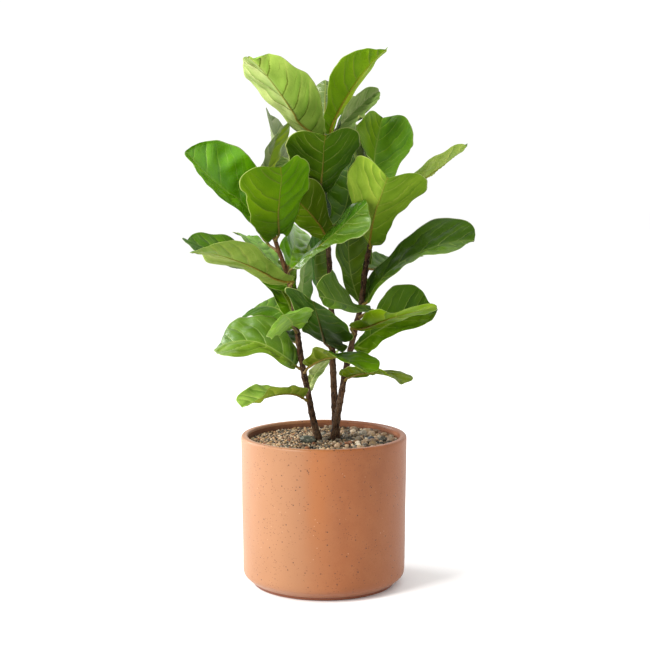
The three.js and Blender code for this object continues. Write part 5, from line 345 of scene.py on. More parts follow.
    "leaf_right_03": ([0, 0.1, 0.1, -0.1, -0.7, -0.7, 0.7, 0.7, 0.7, -0.8, -0.1, -0.1, -0, 0.4, 1.4, 2.2, 1.4, -0.3, -1.3, 0.3, 0, 0.1, 0.1, 0, -0.8, -0.6, 1.8, 1.2, 0.9, -1.6],
        [-0, 0, 0.1, 0.3, 0.4, 0.2, -0, -0.2, -0.1, -0, -0.1, 0.1, 0.6, 1.4, 1.8, 0.9, 0.3, -0.5, -2.3, -1.6, -0, -0.3, -0.4, 0.2, 3.2, 2.3, -0.4, -2, 3.7, 3],
        [0, 0, 0, 0, 0, 0, 0, 0, 0, 0]),
    "leaf_right_05": ([-0.5, -0.6, 0.2, 0.1, -0.3, 1.1, -3.4, -0.5, -0.5, -2.1, 1, 1.2, -0.1, -0.5, -0.1, -0.1, -1.1, -0.2, -1.4, -1.7, 1.7, 2.3, -0.2, -0.7, 0.3, -1, 0.9, 0.2, -1.3, -0.8],
        [-4.1, -4.1, 1, 1.6, -0.8, -0.7, -2.2, 0.1, 0.5, -0.6, -3.9, -4.2, -3.5, 0.1, -0.9, -3, -2, 0.3, 1.6, 1.1, -1.9, -2.4, -3.9, 0.1, -0.7, -3, -0.5, 0.4, 1.7, 2.2],
        [2.2, 1.2, 0.8, -0.2, -0.8, -1.9, -1.7, -1, -0.3, 0.2]),
    "leaf_right_06": ([0, 0, 0, 0, 0, 0, 0, 0, 0, 0, 0, 0, 0, 0, 0, 0, 0, 0, 0, 0, 0, 0, 0, 0, 0, 0, 0, 0, 0, 0],
        [-0.1, 0.3, 0.9, 1.6, 0.4, -2.6, -6.4, -5, -2.5, -1.3, 0.1, -0.1, -0.4, -0.7, -0.3, 1, 2.7, 2.7, 0.5, -2.6, 0, -0.1, -0.2, -0.4, -0, 1.5, 4.2, 5, 0.7, -6.6],
        [0, 0, 0, 0, 0, 0, 0, 0, 0, 0]),
    "leaf_right_07": ([-0.3, -0.1, 0.4, 0.6, 0.2, -1.4, -0.2, 0.2, 0.4, -0.1, 3, 1.7, 1.4, 2, 0.5, 0.1, -0.1, -0.2, -0.9, -3, -4.7, -3, -4.1, -5.4, -3.5, 6.2, 1.3, -0.4, -1.1, 2.3],
        [2.4, 2.4, 0.6, 4.1, -0.5, -0.3, -1.2, -0.7, 0.5, -0.2, -0.4, 1.5, 3.5, 2.9, 4.8, 5, 1.8, 0.4, 0.1, -1.6, 2.9, 2.4, -0.6, 3.6, -1.5, -1.5, -1.5, -0.7, 0.5, 0.1],
        [-8.7, -6.4, -2.7, 1.8, 4.9, 4.9, 1, -2.7, -4, -2.7]),
    "leaf_right_08": ([0, 0, 0, 0, 0, 0, 0, 0, 0, 0, 0, 0, 0, 0, 0, 0, 0, 0, 0, 0, 0, 0, 0, 0, 0, 0, 0, 0, 0, 0],
        [-1.5, -1.6, -2.3, -2.5, -2.4, -3.1, -1.5, -0.4, 0.1, 0.2, -0.7, -3.4, -4.5, -5.9, -5.2, -2.8, -0.8, 0, 0.2, 0.1, 1.9, -1.1, -0.4, -1.1, -0.3, 3.4, 2, 0.6, -0, -0.2],
        [0, 0, 0, 0, 0, 0, 0, 0, 0, 0]),
    "leaf_right_09": ([-6.2, -2.9, 0.3, 1.8, 4.7, 9.2, 5.6, 1.2, 2.4, -1.8, -5.5, -1.5, 1.4, 2.5, 3.8, 3.9, -1.1, -3.8, -0.2, 3.2, 4.6, 0.5, -1.8, -2.3, -2.6, -1.1, 2.8, 3.3, 1, -1.7],
        [0.3, 0.6, 0.3, 0.1, -0.2, -0.7, -0.9, -0.3, 1.9, 2.5, -0.2, -0.4, -0.3, -0.1, 0.1, 0.3, 0.5, 0.5, 1.2, -0.2, -0.2, -0.5, -0.3, -0.1, 0.3, 1.3, 2.5, 1.9, -4.9, -4.6],
        [4.5, 3.3, 2.8, 1.3, -0.4, -2.4, -2.7, -1.5, -0.4, 0.3]),
    "leaf_right_10": ([-3, -0.9, 0.6, 5.5, 4.1, 0.2, -0.3, 0, 0.2, 0.3, 1.3, -0.9, -1.2, -3.4, 0.1, -0.8, -0.5, -0.1, 0.1, 0.1, -1.3, -2.4, 0.3, 5.4, 4.6, -1.3, -1.1, 0.4, 1, 0.9],
        [1, 1.3, 0.2, -0.8, -1, -1.7, -1.4, -1.3, -1, -1.6, 0.2, -0, -0.7, -1.7, -3, -4.2, -4.7, -3.3, -3.2, -6.3, -1.4, -2.4, -1.1, -0.4, -1, -0.3, -1.7, 1.9, 0.9, 0.2],
        [-9, -9, -5.7, -0.8, 3.9, 6.6, 6.9, 6, 2.8, -0.2]),
    "leaf_right_11": ([3.8, -1.5, -4.9, 0.8, 0.7, 0, -0.7, -0.5, 0.1, -1.4, 0.6, -2, -4.4, -3.6, -1.6, -0.4, -3.9, -2, 0.1, -3.2, -1.6, 0.9, 1.4, -3.9, -1, -2.3, -3.6, -0.9, -0.8, -0.1],
        [-1.5, -2.7, -1.2, 0.8, -1.7, 1.3, -0.2, 2.2, 2, -0.5, 1.8, 2.4, -0.1, -3.5, -0.6, -2.8, -1.4, 0.6, 0.6, -3.9, 1.9, 3.8, 1.5, -2.1, 0.3, -1.4, -0.3, 0.4, 0.4, -1.5],
        [0, 0, 0, 0, 0, 0, 0, 0, 0, 0]),
    "leaf_right_12": ([-2.3, -0.3, 1, 3.5, 0.9, -1, -0.5, 0.2, -0.3, -1.6, -0, -0.6, -1.1, -2, -1, -0.1, 0.5, 1.3, 1.9, 3.5, -1.9, -1, -0.5, 0.3, -2.1, -2.8, 1.7, 7, 2.4, -4.3],
        [0.6, 3.2, 0.9, -0.6, -0.5, -0.2, 0.1, 2.1, 1.4, -0.1, 0.2, 0.4, -1.1, -1, -0.4, 0.4, 1.3, 2.3, 1, -0.1, -1.9, -7.2, -4.6, 0.6, 1.6, 0.5, -2, 1.4, 1.7, -0.1],
        [0, 0, 0, 0, 0, 0, 0, 0, 0, 0]),
}
OUT_S = [0, .02, .06, .12, .2, .3, .4, .5, .6, .68, .76, .84, .91, .96, .985, 1]
OUT_W = [0, .2, .36, .46, .51, .54, .62, .76, .9, .98, 1, .93, .75, .5, .28, 0]
OUT_F = [0, -.02, -.03, -.03, -.02, -.01, 0, 0, 0, 0, .005, .015, .03, .035, .02, 0]
KEYS = [0, .15, .42, .68, .9, 1]
BLADE_H = 0.75  # mm, thickness of the visible blade
GRAVEL_Z = 259.0


# ---------------------------------------------------------------- small numeric helpers
def pchip(x, xs, ys):
    """Monotone cubic through the points."""
    xs, ys = np.asarray(xs, float), np.asarray(ys, float)
    h, d = np.diff(xs), np.diff(ys) / np.diff(xs)
    m = np.zeros(len(xs))
    for i in range(1, len(xs) - 1):
        if d[i - 1] * d[i] > 0:
            w1, w2 = 2 * h[i] + h[i - 1], h[i] + 2 * h[i - 1]
            m[i] = (w1 + w2) / (w1 / d[i - 1] + w2 / d[i])
    m[0], m[-1] = d[0], d[-1]
    x = np.clip(np.asarray(x, float), xs[0], xs[-1])
    i = np.clip(np.searchsorted(xs, x, side="right") - 1, 0, len(xs) - 2)
    t = (x - xs[i]) / h[i]
    return ((2 * t**3 - 3 * t**2 + 1) * ys[i] + (t**3 - 2 * t**2 + t) * h[i] * m[i]
            + (-2 * t**3 + 3 * t**2) * ys[i + 1] + (t**3 - t**2) * h[i] * m[i + 1])


def smooth(a, b, x):
    t = np.clip((np.asarray(x, float) - a) / (b - a), 0, 1)
    return t * t * (3 - 2 * t)


def unit(v):
    return v / np.maximum(np.linalg.norm(v, axis=-1, keepdims=True), 1e-12)


def rodr(axis, v, ang):
    c, s = math.cos(ang), math.sin(ang)
    return v * c + np.cross(axis, v) * s + axis * float(axis @ v) * (1 - c)


def wobble(p, seed, scale, terms=5):
    """Smooth noise from a few sine waves, about -1 to 1."""
    r = np.random.default_rng(seed)
    out = np.zeros(p.shape[:-1])
    for _ in range(terms):
        k = r.normal(size=p.shape[-1]) / scale
        out += np.sin(p @ k * 2.2 + r.uniform(0, 6.28))
    return out / math.sqrt(terms) * 0.8


def new_mesh(name, verts_mm, faces, mats, face_mat=None, corner=None, point=None, shade=True):
    """A mesh object from vertices in millimetres and a list of faces, with named attributes."""
    me = bpy.data.meshes.new(name)
    v = np.asarray(verts_mm, np.float64) * MM
    if isinstance(faces, np.ndarray):
        faces = [faces]
    loops = np.concatenate([f.ravel() for f in faces]).astype(np.int32)
    sizes = np.concatenate([np.full(len(f), f.shape[1], np.int32) for f in faces])
    starts = np.concatenate([[0], np.cumsum(sizes)[:-1]]).astype(np.int32)
    me.vertices.add(len(v))
    me.vertices.foreach_set("co", v.astype(np.float32).ravel())
    me.loops.add(len(loops))
    me.loops.foreach_set("vertex_index", loops)
    me.polygons.add(len(sizes))
    me.polygons.foreach_set("loop_start", starts)
    me.polygons.foreach_set("loop_total", sizes)
    me.polygons.foreach_set("use_smooth", np.full(len(sizes), shade))
    for m in mats:
        me.materials.append(m)
    if face_mat is not None:
        me.polygons.foreach_set("material_index", np.asarray(face_mat, np.int32))
    for k, a in (point or {}).items():
        at = me.attributes.new(k, "FLOAT_VECTOR", "POINT")
        at.data.foreach_set("vector", np.asarray(a, np.float32).ravel())
    for k, a in (corner or {}).items():
        at = me.attributes.new(k, "FLOAT_VECTOR", "CORNER")
        at.data.foreach_set("vector", np.asarray(a, np.float32).ravel())
    me.update(calc_edges=True)
    me.validate(clean_customdata=False)
    ob = bpy.data.objects.new(name, me)
    bpy.context.scene.collection.objects.link(ob)
    return ob


# ---------------------------------------------------------------- node helpers
class Nodes:
    def __init__(self, name):
        self.mat = bpy.data.materials.new(name)
        self.mat.use_nodes = True
        self.t = self.mat.node_tree
        for n in list(self.t.nodes):
            self.t.nodes.remove(n)
        self.out = self.t.nodes.new("ShaderNodeOutputMaterial")
        self.p = self.t.nodes.new("ShaderNodeBsdfPrincipled")
        self.t.links.new(self.p.outputs[0], self.out.inputs["Surface"])

    def put(self, sock, v):
        if isinstance(v, bpy.types.NodeSocket):
            self.t.links.new(v, sock)
        elif isinstance(v, (tuple, list)) and len(v) == 3 and sock.type == "RGBA":
            sock.default_value = (*v, 1)
        else:
            sock.default_value = v

    def node(self, kind, ins=None, **props):
        n = self.t.nodes.new(kind)
        for k, v in props.items():
            setattr(n, k, v)
        for k, v in (ins or {}).items():
            self.put(n.inputs[k], v)
        return n

    def m(self, op, a, b=None, c=None, clamp=False):
        n = self.t.nodes.new("ShaderNodeMath")
        n.operation, n.use_clamp = op, clamp
        for i, v in enumerate((a, b, c)):
            if v is not None:
                self.put(n.inputs[i], v)
        return n.outputs[0]

    def ramp(self, x, a, b, lo=0.0, hi=1.0, kind="SMOOTHSTEP"):
        n = self.t.nodes.new("ShaderNodeMapRange")
        n.interpolation_type = kind
        n.clamp = True if kind == "LINEAR" else n.clamp
        for i, v in enumerate((x, a, b, lo, hi)):
            self.put(n.inputs[i], v)
        return n.outputs[0]

    def mix(self, f, a, b, mode="MIX"):
        n = self.t.nodes.new("ShaderNodeMix")
        n.data_type, n.blend_type = "RGBA", mode
        self.put(n.inputs[0], f)
        self.put(n.inputs[6], a)
        self.put(n.inputs[7], b)
        return n.outputs[2]

    def attr(self, name):
        n = self.t.nodes.new("ShaderNodeAttribute")
        n.attribute_name = name
        return n

    def xyz(self, v):
        n = self.t.nodes.new("ShaderNodeSeparateXYZ")
        self.put(n.inputs[0], v)
        return n.outputs

    def vec(self, x, y, z):
        n = self.t.nodes.new("ShaderNodeCombineXYZ")
        for i, v in enumerate((x, y, z)):
            self.put(n.inputs[i], v)
        return n.outputs[0]

    def coord(self):
        return self.t.nodes.new("ShaderNodeTexCoord").outputs["Object"]

    def noise(self, vec, scale, detail=3, rough=.55, dist=0):
        n = self.node("ShaderNodeTexNoise", {"Vector": vec, "Scale": scale, "Detail": detail, "Roughness": rough, "Distortion": dist})
        return n.outputs[0]

    def voronoi(self, vec, scale, feature="F1", rand=1.0, out=0):
        n = self.node("ShaderNodeTexVoronoi", {"Vector": vec, "Scale": scale, "Randomness": rand}, feature=feature)
        return n.outputs[out]

    def scale(self, vec, s):
        n = self.t.nodes.new("ShaderNodeVectorMath")
        n.operation = "MULTIPLY"
        self.put(n.inputs[0], vec)
        n.inputs[1].default_value = s
        return n.outputs[0]

    def bump(self, height, dist, strength=1.0, normal=None):
        n = self.node("ShaderNodeBump", {"Strength": strength, "Distance": dist, "Height": height})
        if normal is not None:
            self.put(n.inputs["Normal"], normal)
        return n.outputs[0]

    def done(self, color, rough, normal=None, **rest):
        self.put(self.p.inputs["Base Color"], color)
        self.put(self.p.inputs["Roughness"], rough)
        if normal is not None:
            self.put(self.p.inputs["Normal"], normal)
        for k, v in rest.items():
            self.put(self.p.inputs[k.replace("_", " ")], v)
        return self.mat


# ---------------------------------------------------------------- leaf materials
def leaf_material(under):
    n = Nodes("leaf_underside" if under else "leaf_upper_side")
    tint = n.attr("tint_under" if under else "tint_upper").outputs["Color"]
    phi, gap, t = n.xyz(n.attr("vein").outputs["Vector"])
    x, y, seed = n.xyz(n.attr("flat").outputs["Vector"])
    gloss, shade, dark = n.xyz(n.attr("kind").outputs["Vector"])
    pos = n.coord()
    at = n.m("ABSOLUTE", t)
    ax = n.m("ABSOLUTE", x)
    flat = n.vec(x, y, seed)
    # side veins: distance in mm from the nearest one, thinner towards the margin
    wob = n.m("MULTIPLY", n.m("SUBTRACT", n.noise(flat, .07, 2), .5), .22)
    ph = n.m("ADD", phi, wob)
    d1 = n.m("MULTIPLY", n.m("ABSOLUTE", n.m("SUBTRACT", n.m("FRACT", n.m("ADD", ph, .5)), .5)), gap)
    w1 = n.m("MULTIPLY", n.ramp(at, 0.0, 1.0, .62 if under else .50, .12, "LINEAR"), n.m("MULTIPLY_ADD", dark, 1.5 if under else .5, 1.0))
    v1 = n.m("MULTIPLY", n.ramp(d1, n.m("MULTIPLY", w1, .5), n.m("MULTIPLY_ADD", w1, 1.2, .25), 1.0, 0.0), n.ramp(at, .45, .95, 1.0, .10))
    # forks between them, only out towards the margin
    d2 = n.m("MULTIPLY", n.m("ABSOLUTE", n.m("SUBTRACT", n.m("FRACT", n.m("ADD", ph, n.m("MULTIPLY", n.m("SUBTRACT", at, .5), .55))), .5)), gap)
    v2 = n.m("MULTIPLY", n.ramp(d2, .1, .7, 1.0, 0.0), n.m("MULTIPLY", n.ramp(at, .40, .62, 0.0, .62), n.ramp(at, .75, .95, 1.0, 0.0)))
    # ladder of cross veins between the side veins, and the fine net
    lad = n.vec(n.m("MULTIPLY", ph, 3.4), n.m("MULTIPLY", ax, .10), n.m("ADD", seed, n.m("MULTIPLY", n.m("SIGN", x), 3.7)))
    v3 = n.ramp(n.voronoi(lad, 1.0, "DISTANCE_TO_EDGE"), .010, .055, 1.0, 0.0)
    net = n.ramp(n.voronoi(flat, .45, "DISTANCE_TO_EDGE"), .02, .16, 1.0, 0.0)
    # midrib line
    v0 = n.ramp(ax, n.ramp(y, 0, 190, 1.1, .35, "LINEAR"), n.ramp(y, 0, 190, 2.3, .95, "LINEAR"), 1.0, 0.0)
    veins = n.m("MAXIMUM", n.m("MAXIMUM", v0, v1), v2)
    big = n.noise(pos, 14, 3)
    fine = n.noise(flat, .30, 4, .6)
    # blade colour: soft patches, a little paler by the veins, a thin yellowish margin
    c = n.mix(n.ramp(big, .30, .70), n.mix(1.0, tint, (.80, .86, .70), "MULTIPLY"), n.mix(1.0, tint, (1.18, 1.10, 1.15), "MULTIPLY"))
    c = n.mix(n.m("MULTIPLY", n.ramp(fine, .35, .7), .16), c, n.mix(1.0, c, (.76, .84, .6), "MULTIPLY"))
    # painted light and shade: each panel between two side veins is painted darker at one vein and lighter towards the
    # next, one way or the other
    cell = n.vec(n.m("MULTIPLY", n.m("FLOOR", ph), 1.37), n.m("MULTIPLY", n.m("SIGN", x), 2.3), seed)
    way = n.ramp(n.noise(cell, 1.0, 1), .40, .60)
    f1 = n.m("FRACT", ph)
    grad = n.m("ADD", n.m("MULTIPLY", f1, way), n.m("MULTIPLY", n.m("SUBTRACT", 1.0, f1), n.m("SUBTRACT", 1.0, way)))
    soft = n.m("MULTIPLY", n.ramp(at, .04, .28), n.ramp(at, .80, 1.0, 1.0, .25))
    lo = n.mix(1.0, c, (.72, .79, .62), "MULTIPLY")
    hi = n.mix(1.0, c, (1.20, 1.12, 1.22), "MULTIPLY")
    c = n.mix(soft, c, n.mix(n.ramp(grad, .05, .95, 0.0, 1.0, "LINEAR"), lo, hi))
    # the blade dips to each vein: painted shade on one flank, painted light on the other
    s1 = n.m("MULTIPLY", n.m("SUBTRACT", n.m("FRACT", n.m("ADD", ph, .5)), .5), gap)
    fade = n.m("MULTIPLY", n.ramp(at, .02, .12), n.ramp(at, .62, .96, 1.0, .0))
    painted_flank_shade = n.m("MULTIPLY", n.m("MULTIPLY", n.ramp(s1, .2, 7.5, 1.0, 0.0), n.ramp(s1, -.6, .3, 0.0, 1.0)), fade)
    lit = n.m("MULTIPLY", n.m("MULTIPLY", n.ramp(s1, -6.0, -.4, 0.0, 1.0), n.ramp(s1, -.4, .4, 1.0, 0.0)), fade)
    c = n.mix(n.m("MULTIPLY", painted_flank_shade, .52), c, n.mix(1.0, c, (.52, .62, .42), "MULTIPLY"))
    c = n.mix(n.m("MULTIPLY", lit, .40), c, n.mix(1.0, c, (1.45, 1.28, 1.5), "MULTIPLY"))
    halo = n.m("MULTIPLY", n.ramp(d1, 0.0, 2.4, .20, 0.0), n.ramp(at, .4, .9, 1.0, .2))
    pale = n.mix(1.0, tint, (1.7, 1.35, 1.8), "MULTIPLY")
    c = n.mix(halo, c, pale)
    if under:
        c = n.mix(n.m("MULTIPLY", v3, .22), c, n.mix(1.0, tint, (.70, .76, .45), "MULTIPLY"))
        c = n.mix(n.m("MULTIPLY", net, .10), c, n.mix(1.0, tint, (.68, .76, .5), "MULTIPLY"))
        side = n.mix(.30, n.mix(1.0, tint, (1.45, 1.18, 1.1), "MULTIPLY"), (.55, .55, .20))
        side = n.mix(n.m("MULTIPLY", dark, n.ramp(at, .55, .95, 1.0, .2)), side, n.mix(1.0, tint, (.34, .33, .13), "MULTIPLY"))
        rib = n.mix(.55, n.mix(1.0, tint, (1.15, .70, .38), "MULTIPLY"), (.26, .150, .022))
        vein_col = n.mix(v0, side, rib)
        c = n.mix(n.m("MULTIPLY", veins, n.m("MULTIPLY_ADD", dark, .34, .54)), c, vein_col)
    else:
        c = n.mix(n.m("MULTIPLY", v3, .17), c, pale)
        vein_col = n.mix(.40, n.mix(1.0, tint, (2.2, 1.6, 2.4), "MULTIPLY"), (.42, .52, .16))
        c = n.mix(n.m("MULTIPLY", veins, .60), c, vein_col)
    edge = n.ramp(at, .968, .992)
    c = n.mix(n.m("MULTIPLY", edge, .58), c, (.54, .60, .19))
    spots = n.ramp(n.voronoi(pos, 58, "F1"), .030, .055, .55, 0.0)
    c = n.mix(n.m("MULTIPLY", spots, n.ramp(n.noise(pos, 23, 1), .62, .67)), c, (.09, .05, .02))
    # roughness and relief
    rough = n.m("ADD", n.ramp(n.noise(flat, .05, 3), .3, .7, -.04, .06, "LINEAR"),
                n.m("SUBTRACT", .60, n.m("MULTIPLY", gloss, .14 if under else .36)))
    rough = n.m("ADD", rough, n.m("MULTIPLY", veins, .05), clamp=True)
    sgn = 1.0 if under else -1.0
    h = n.m("MULTIPLY", veins, .55 * sgn)
    h = n.m("ADD", h, n.m("MULTIPLY", v3, .16 * sgn))
    h = n.m("ADD", h, n.m("MULTIPLY", net, .04 * sgn))
    h = n.m("ADD", h, n.m("MULTIPLY", fine, .10))
    nb = n.bump(h, .0009 if under else .0007, .8)
    spec = n.m("MULTIPLY_ADD", n.m("MULTIPLY", gloss, gloss), .14 if under else .50, .04)
    return n.done(c, rough, nb, Specular_IOR_Level=spec)


def rib_material():
    n = Nodes("leaf_rib_and_stalk")
    tint = n.attr("tint_rib").outputs["Color"]
    along, side, seed = n.xyz(n.attr("flat").outputs["Vector"])
    pos = n.coord()
    f = n.noise(pos, 240, 4, .6)
    c = n.mix(n.ramp(f, .35, .7), tint, n.mix(1.0, tint, (.68, .62, .55), "MULTIPLY"))
    # towards the tip the rib takes the colour of the blade
    blade = n.mix(1.0, n.attr("tint_under").outputs["Color"], (1.12, 1.0, .9), "MULTIPLY")
    c = n.mix(n.ramp(along, 45, 150, 0.0, .62, "LINEAR"), c, blade)
    brown = n.m("MULTIPLY", n.ramp(along, -22, 6, .85, 0.0), n.ramp(n.noise(pos, 90, 3), .3, .65, .35, 1.0))
    c = n.mix(brown, c, (.13, .075, .032))
    lent = n.ramp(n.voronoi(n.scale(pos, (1, 1, .45)), 420, "F1"), .12, .25, .5, 0.0)
    c = n.mix(lent, c, (.24, .19, .10))
    h = n.m("ADD", n.m("MULTIPLY", f, .5), n.m("MULTIPLY", lent, .6))
    return n.done(c, n.ramp(f, .3, .7, .5, .66), n.bump(h, .0004, .6), Specular_IOR_Level=.18)


UPPER, UNDER, RIB = leaf_material(False), leaf_material(True), rib_material()


# ---------------------------------------------------------------- leaves
NS, HALF = 64, 13  # stations along a blade, columns on each side of its midrib


def midrib(az, el, roll, base, L, k0, k1, c0, tw, s):
    t = np.array([math.cos(el) * math.cos(az), math.cos(el) * math.sin(az), math.sin(el)])
    n = np.array([-math.sin(el) * math.cos(az), -math.sin(el) * math.sin(az), math.cos(el)])
    n = rodr(t, n, roll)
    sd = np.cross(t, n)
    pos = np.array(base, float)
    out = [(pos.copy(), t.copy(), n.copy(), sd.copy())]
    for i in range(1, len(s)):
        ds, mid = s[i] - s[i - 1], (s[i] + s[i - 1]) / 2
        bend = (k0 + k1 * (2 * mid - 1)) * ds / 2
        for half in range(2):
            t, n = rodr(sd, t, -bend), rodr(sd, n, -bend)
            t, sd = rodr(n, t, c0 * ds / 2), rodr(n, sd, c0 * ds / 2)
            n, sd = rodr(t, n, tw * ds / 2), rodr(t, sd, tw * ds / 2)
            if half == 0:
                pos = pos + t * (L * ds)
        out.append((pos.copy(), t.copy(), n.copy(), sd.copy()))
    return [np.array(a) for a in zip(*out)]


def tube(centre, side, normal, ra, rb, k=10):
    """Rings of k points round a line. Returns vertices (n, k, 3)."""
    a = np.arange(k) / k * 2 * math.pi
    return (centre[:, None] + side[:, None] * (np.cos(a)[None, :, None] * ra[:, None, None])
            + normal[:, None] * (np.sin(a)[None, :, None] * rb[:, None, None]))


def tube_faces(n, k, first=0):
    i, j = np.meshgrid(np.arange(n - 1), np.arange(k), indexing="ij")
    a, b = i * k + j, i * k + (j + 1) % k
    return np.stack([a, b, b + k, a + k], -1).reshape(-1, 4) + first


def leaf_sheet(row, idx):
    """The middle surface of one blade, with its fold, margins, quilting and waves."""
    (name, stem, start, out, base, az, el, roll, L, W, k0, k1, c0, tw, fR, gR, fL, gL, q, mR, mL) = row
    _, _, _, _, gloss, wave, bulge = LOOK[name]
    rng = np.random.default_rng(1000 + idx)
    seed = float(rng.uniform(0, 50))
    lin = np.linspace(0, 1, NS)
    s = .62 * lin + .38 * (.5 - .5 * np.cos(math.pi * lin))
    s = .005 + s * (.9985 - .005)
    sfull = np.concatenate([[0], s])
    M, T, N, S = [a[1:] for a in midrib(az, el, roll, base, L, k0, k1, c0, tw, sfull)]
    T0 = T[0]
    tpos = np.concatenate([1 - (1 - np.linspace(0, 1, HALF + 1)) ** 1.25])
    ts = np.concatenate([-tpos[::-1], tpos[1:]])
    nt = len(ts)
    width = pchip(s, OUT_S, OUT_W) * W / 2
    lead = pchip(s, OUT_S, OUT_F)
    own = {1: pchip(s, KEYS, [mR[0], *mR, mR[3]]), -1: pchip(s, KEYS, [mL[0], *mL, mL[3]])}
    # a slightly irregular margin
    for sg in (1, -1):
        ph = rng.uniform(0, 6.28, 4)
        own[sg] = own[sg] * (1 + .016 * np.sin(s * 17 + ph[0]) + .011 * np.sin(s * 29 + ph[1]) + .006 * np.sin(s * 53 + ph[2]))
    notch = q * np.exp(-(((s - .93) / .06) ** 2)) * np.minimum(1, (1 - s) / .02)
    hats = np.array([pchip(s, [0, *EDGE_S, 1], [0] + [float(i == k) for i in range(10)] + [0]) for k in range(10)])
    edge = {sg: [np.array(EDGES[name][i][10 * k:10 * k + 10]) @ hats for k in range(3)] if name in EDGES else [s * 0] * 3
            for i, sg in ((0, 1), (1, -1))}
    shift = np.array(EDGES[name][2]) @ hats if name in EDGES else s * 0
    P = np.zeros((NS, nt, 3))
    X = np.zeros((NS, nt))
    PH = {1: np.zeros((NS, nt)), -1: np.zeros((NS, nt))}
    GP = {1: np.zeros((NS, nt)), -1: np.zeros((NS, nt))}
    for j, t in enumerate(ts):
        sg = 1 if t >= 0 else -1
        f, g = (fR, gR) if sg > 0 else (fL, gL)
        a = abs(t)
        w = width * own[sg]
        am = f + g * a / 2
        sc = np.sinc(g * a / 2 / math.pi)
        P[:, j] = (M + T * (L * a**1.5 * (lead + notch))[:, None] + S * (sg * w * a * math.cos(am) * sc)[:, None]
                   + N * (w * a * math.sin(am) * sc)[:, None])
        X[:, j] = sg * w * a
        e, h, d = edge[sg]
        ang = f + g * a
        P[:, j] += ((S * (sg * math.cos(ang)) + N * math.sin(ang)) * (e * a)[:, None] + T * (h * a**1.6)[:, None]
                    + (N * math.cos(ang) - S * (sg * math.sin(ang))) * (d * a**2)[:, None]
                    + S * (shift * (1 - a))[:, None])
    # vein phase of each half: whole numbers lie on side veins
    for sg in (1, -1):
        marks = np.array([0, .07, .235, .42, .60, .765, .895, 1.0])
        marks[1:-1] += rng.normal(0, .022, 6) + (rng.uniform(-.05, .05) if sg < 0 else 0)
        off = 0.0
        for j, t in enumerate(ts):
            a = abs(t)
            x = width * own[sg] * a if (t >= 0) == (sg > 0) else width * 0
            slope = .62 + 2 * .0095 * x
            ys = s - (.62 * x + .0095 * x * x) / L
            v = np.interp(ys, marks, np.arange(8.)) + np.minimum(ys, 0) / (marks[1] - marks[0])
            step = np.interp(ys, (marks[1:] + marks[:-1]) / 2, np.diff(marks)) * L
            PH[sg][:, j] = v + off
            GP[sg][:, j] = step / np.sqrt(1 + slope**2)
    both = np.where(ts[None, :] >= 0, PH[1], PH[-1])
    at = np.abs(ts)[None, :]
    # surface normals of the plain sheet
    ds = np.gradient(P, axis=0)
    dt = np.gradient(P, axis=1)
    nrm = unit(np.cross(dt, ds))
    flip = np.sign((nrm * N[:, None]).sum(-1, keepdims=True))
    nrm = nrm * np.where(flip == 0, 1, flip)
    nrm[0], nrm[-1] = N[0], N[-1]
    # bulges between veins, a waving margin and slow undulation
    pocket = (np.abs(np.sin(math.pi * both)) ** .75 - .62) * smooth(.03, .30, at) * (1 - .9 * smooth(.62, .97, at))
    uneven = 1 + .75 * wobble(np.stack([both * .9, ts[None, :] * 1.2 + both * 0], -1), 400 + idx, 1.0, 4)
    dents = wobble(np.stack([np.repeat(s[:, None] * L / 30, nt, 1), X / 24], -1), 600 + idx, 1.0, 6) * smooth(0, .3, at) * (1 - smooth(.7, 1, at))
    ph = rng.uniform(0, 6.28, 6)
    ends = (smooth(0, .15, s) * (1 - .6 * smooth(.9, 1, s)))[:, None]
    right = (ts[None, :] >= 0)
    wv = np.where(right, np.sin(s[:, None] * 13 + ph[0]) + .6 * np.sin(s[:, None] * 23 + ph[1]),
                  np.sin(s[:, None] * 14 + ph[2]) + .6 * np.sin(s[:, None] * 21 + ph[3]))
    slow = np.sin(s[:, None] * 6 + ph[4]) * ts[None, :] * .6
    lift = (bulge * (pocket * uneven * 2.7 + dents * 2.2) + wave * (at**2.4 * wv * .85 + slow * at)) * ends
    P = P + nrm * lift[..., None]
    return P, nrm, s, ts, X, PH, GP, at, T, N, S, seed


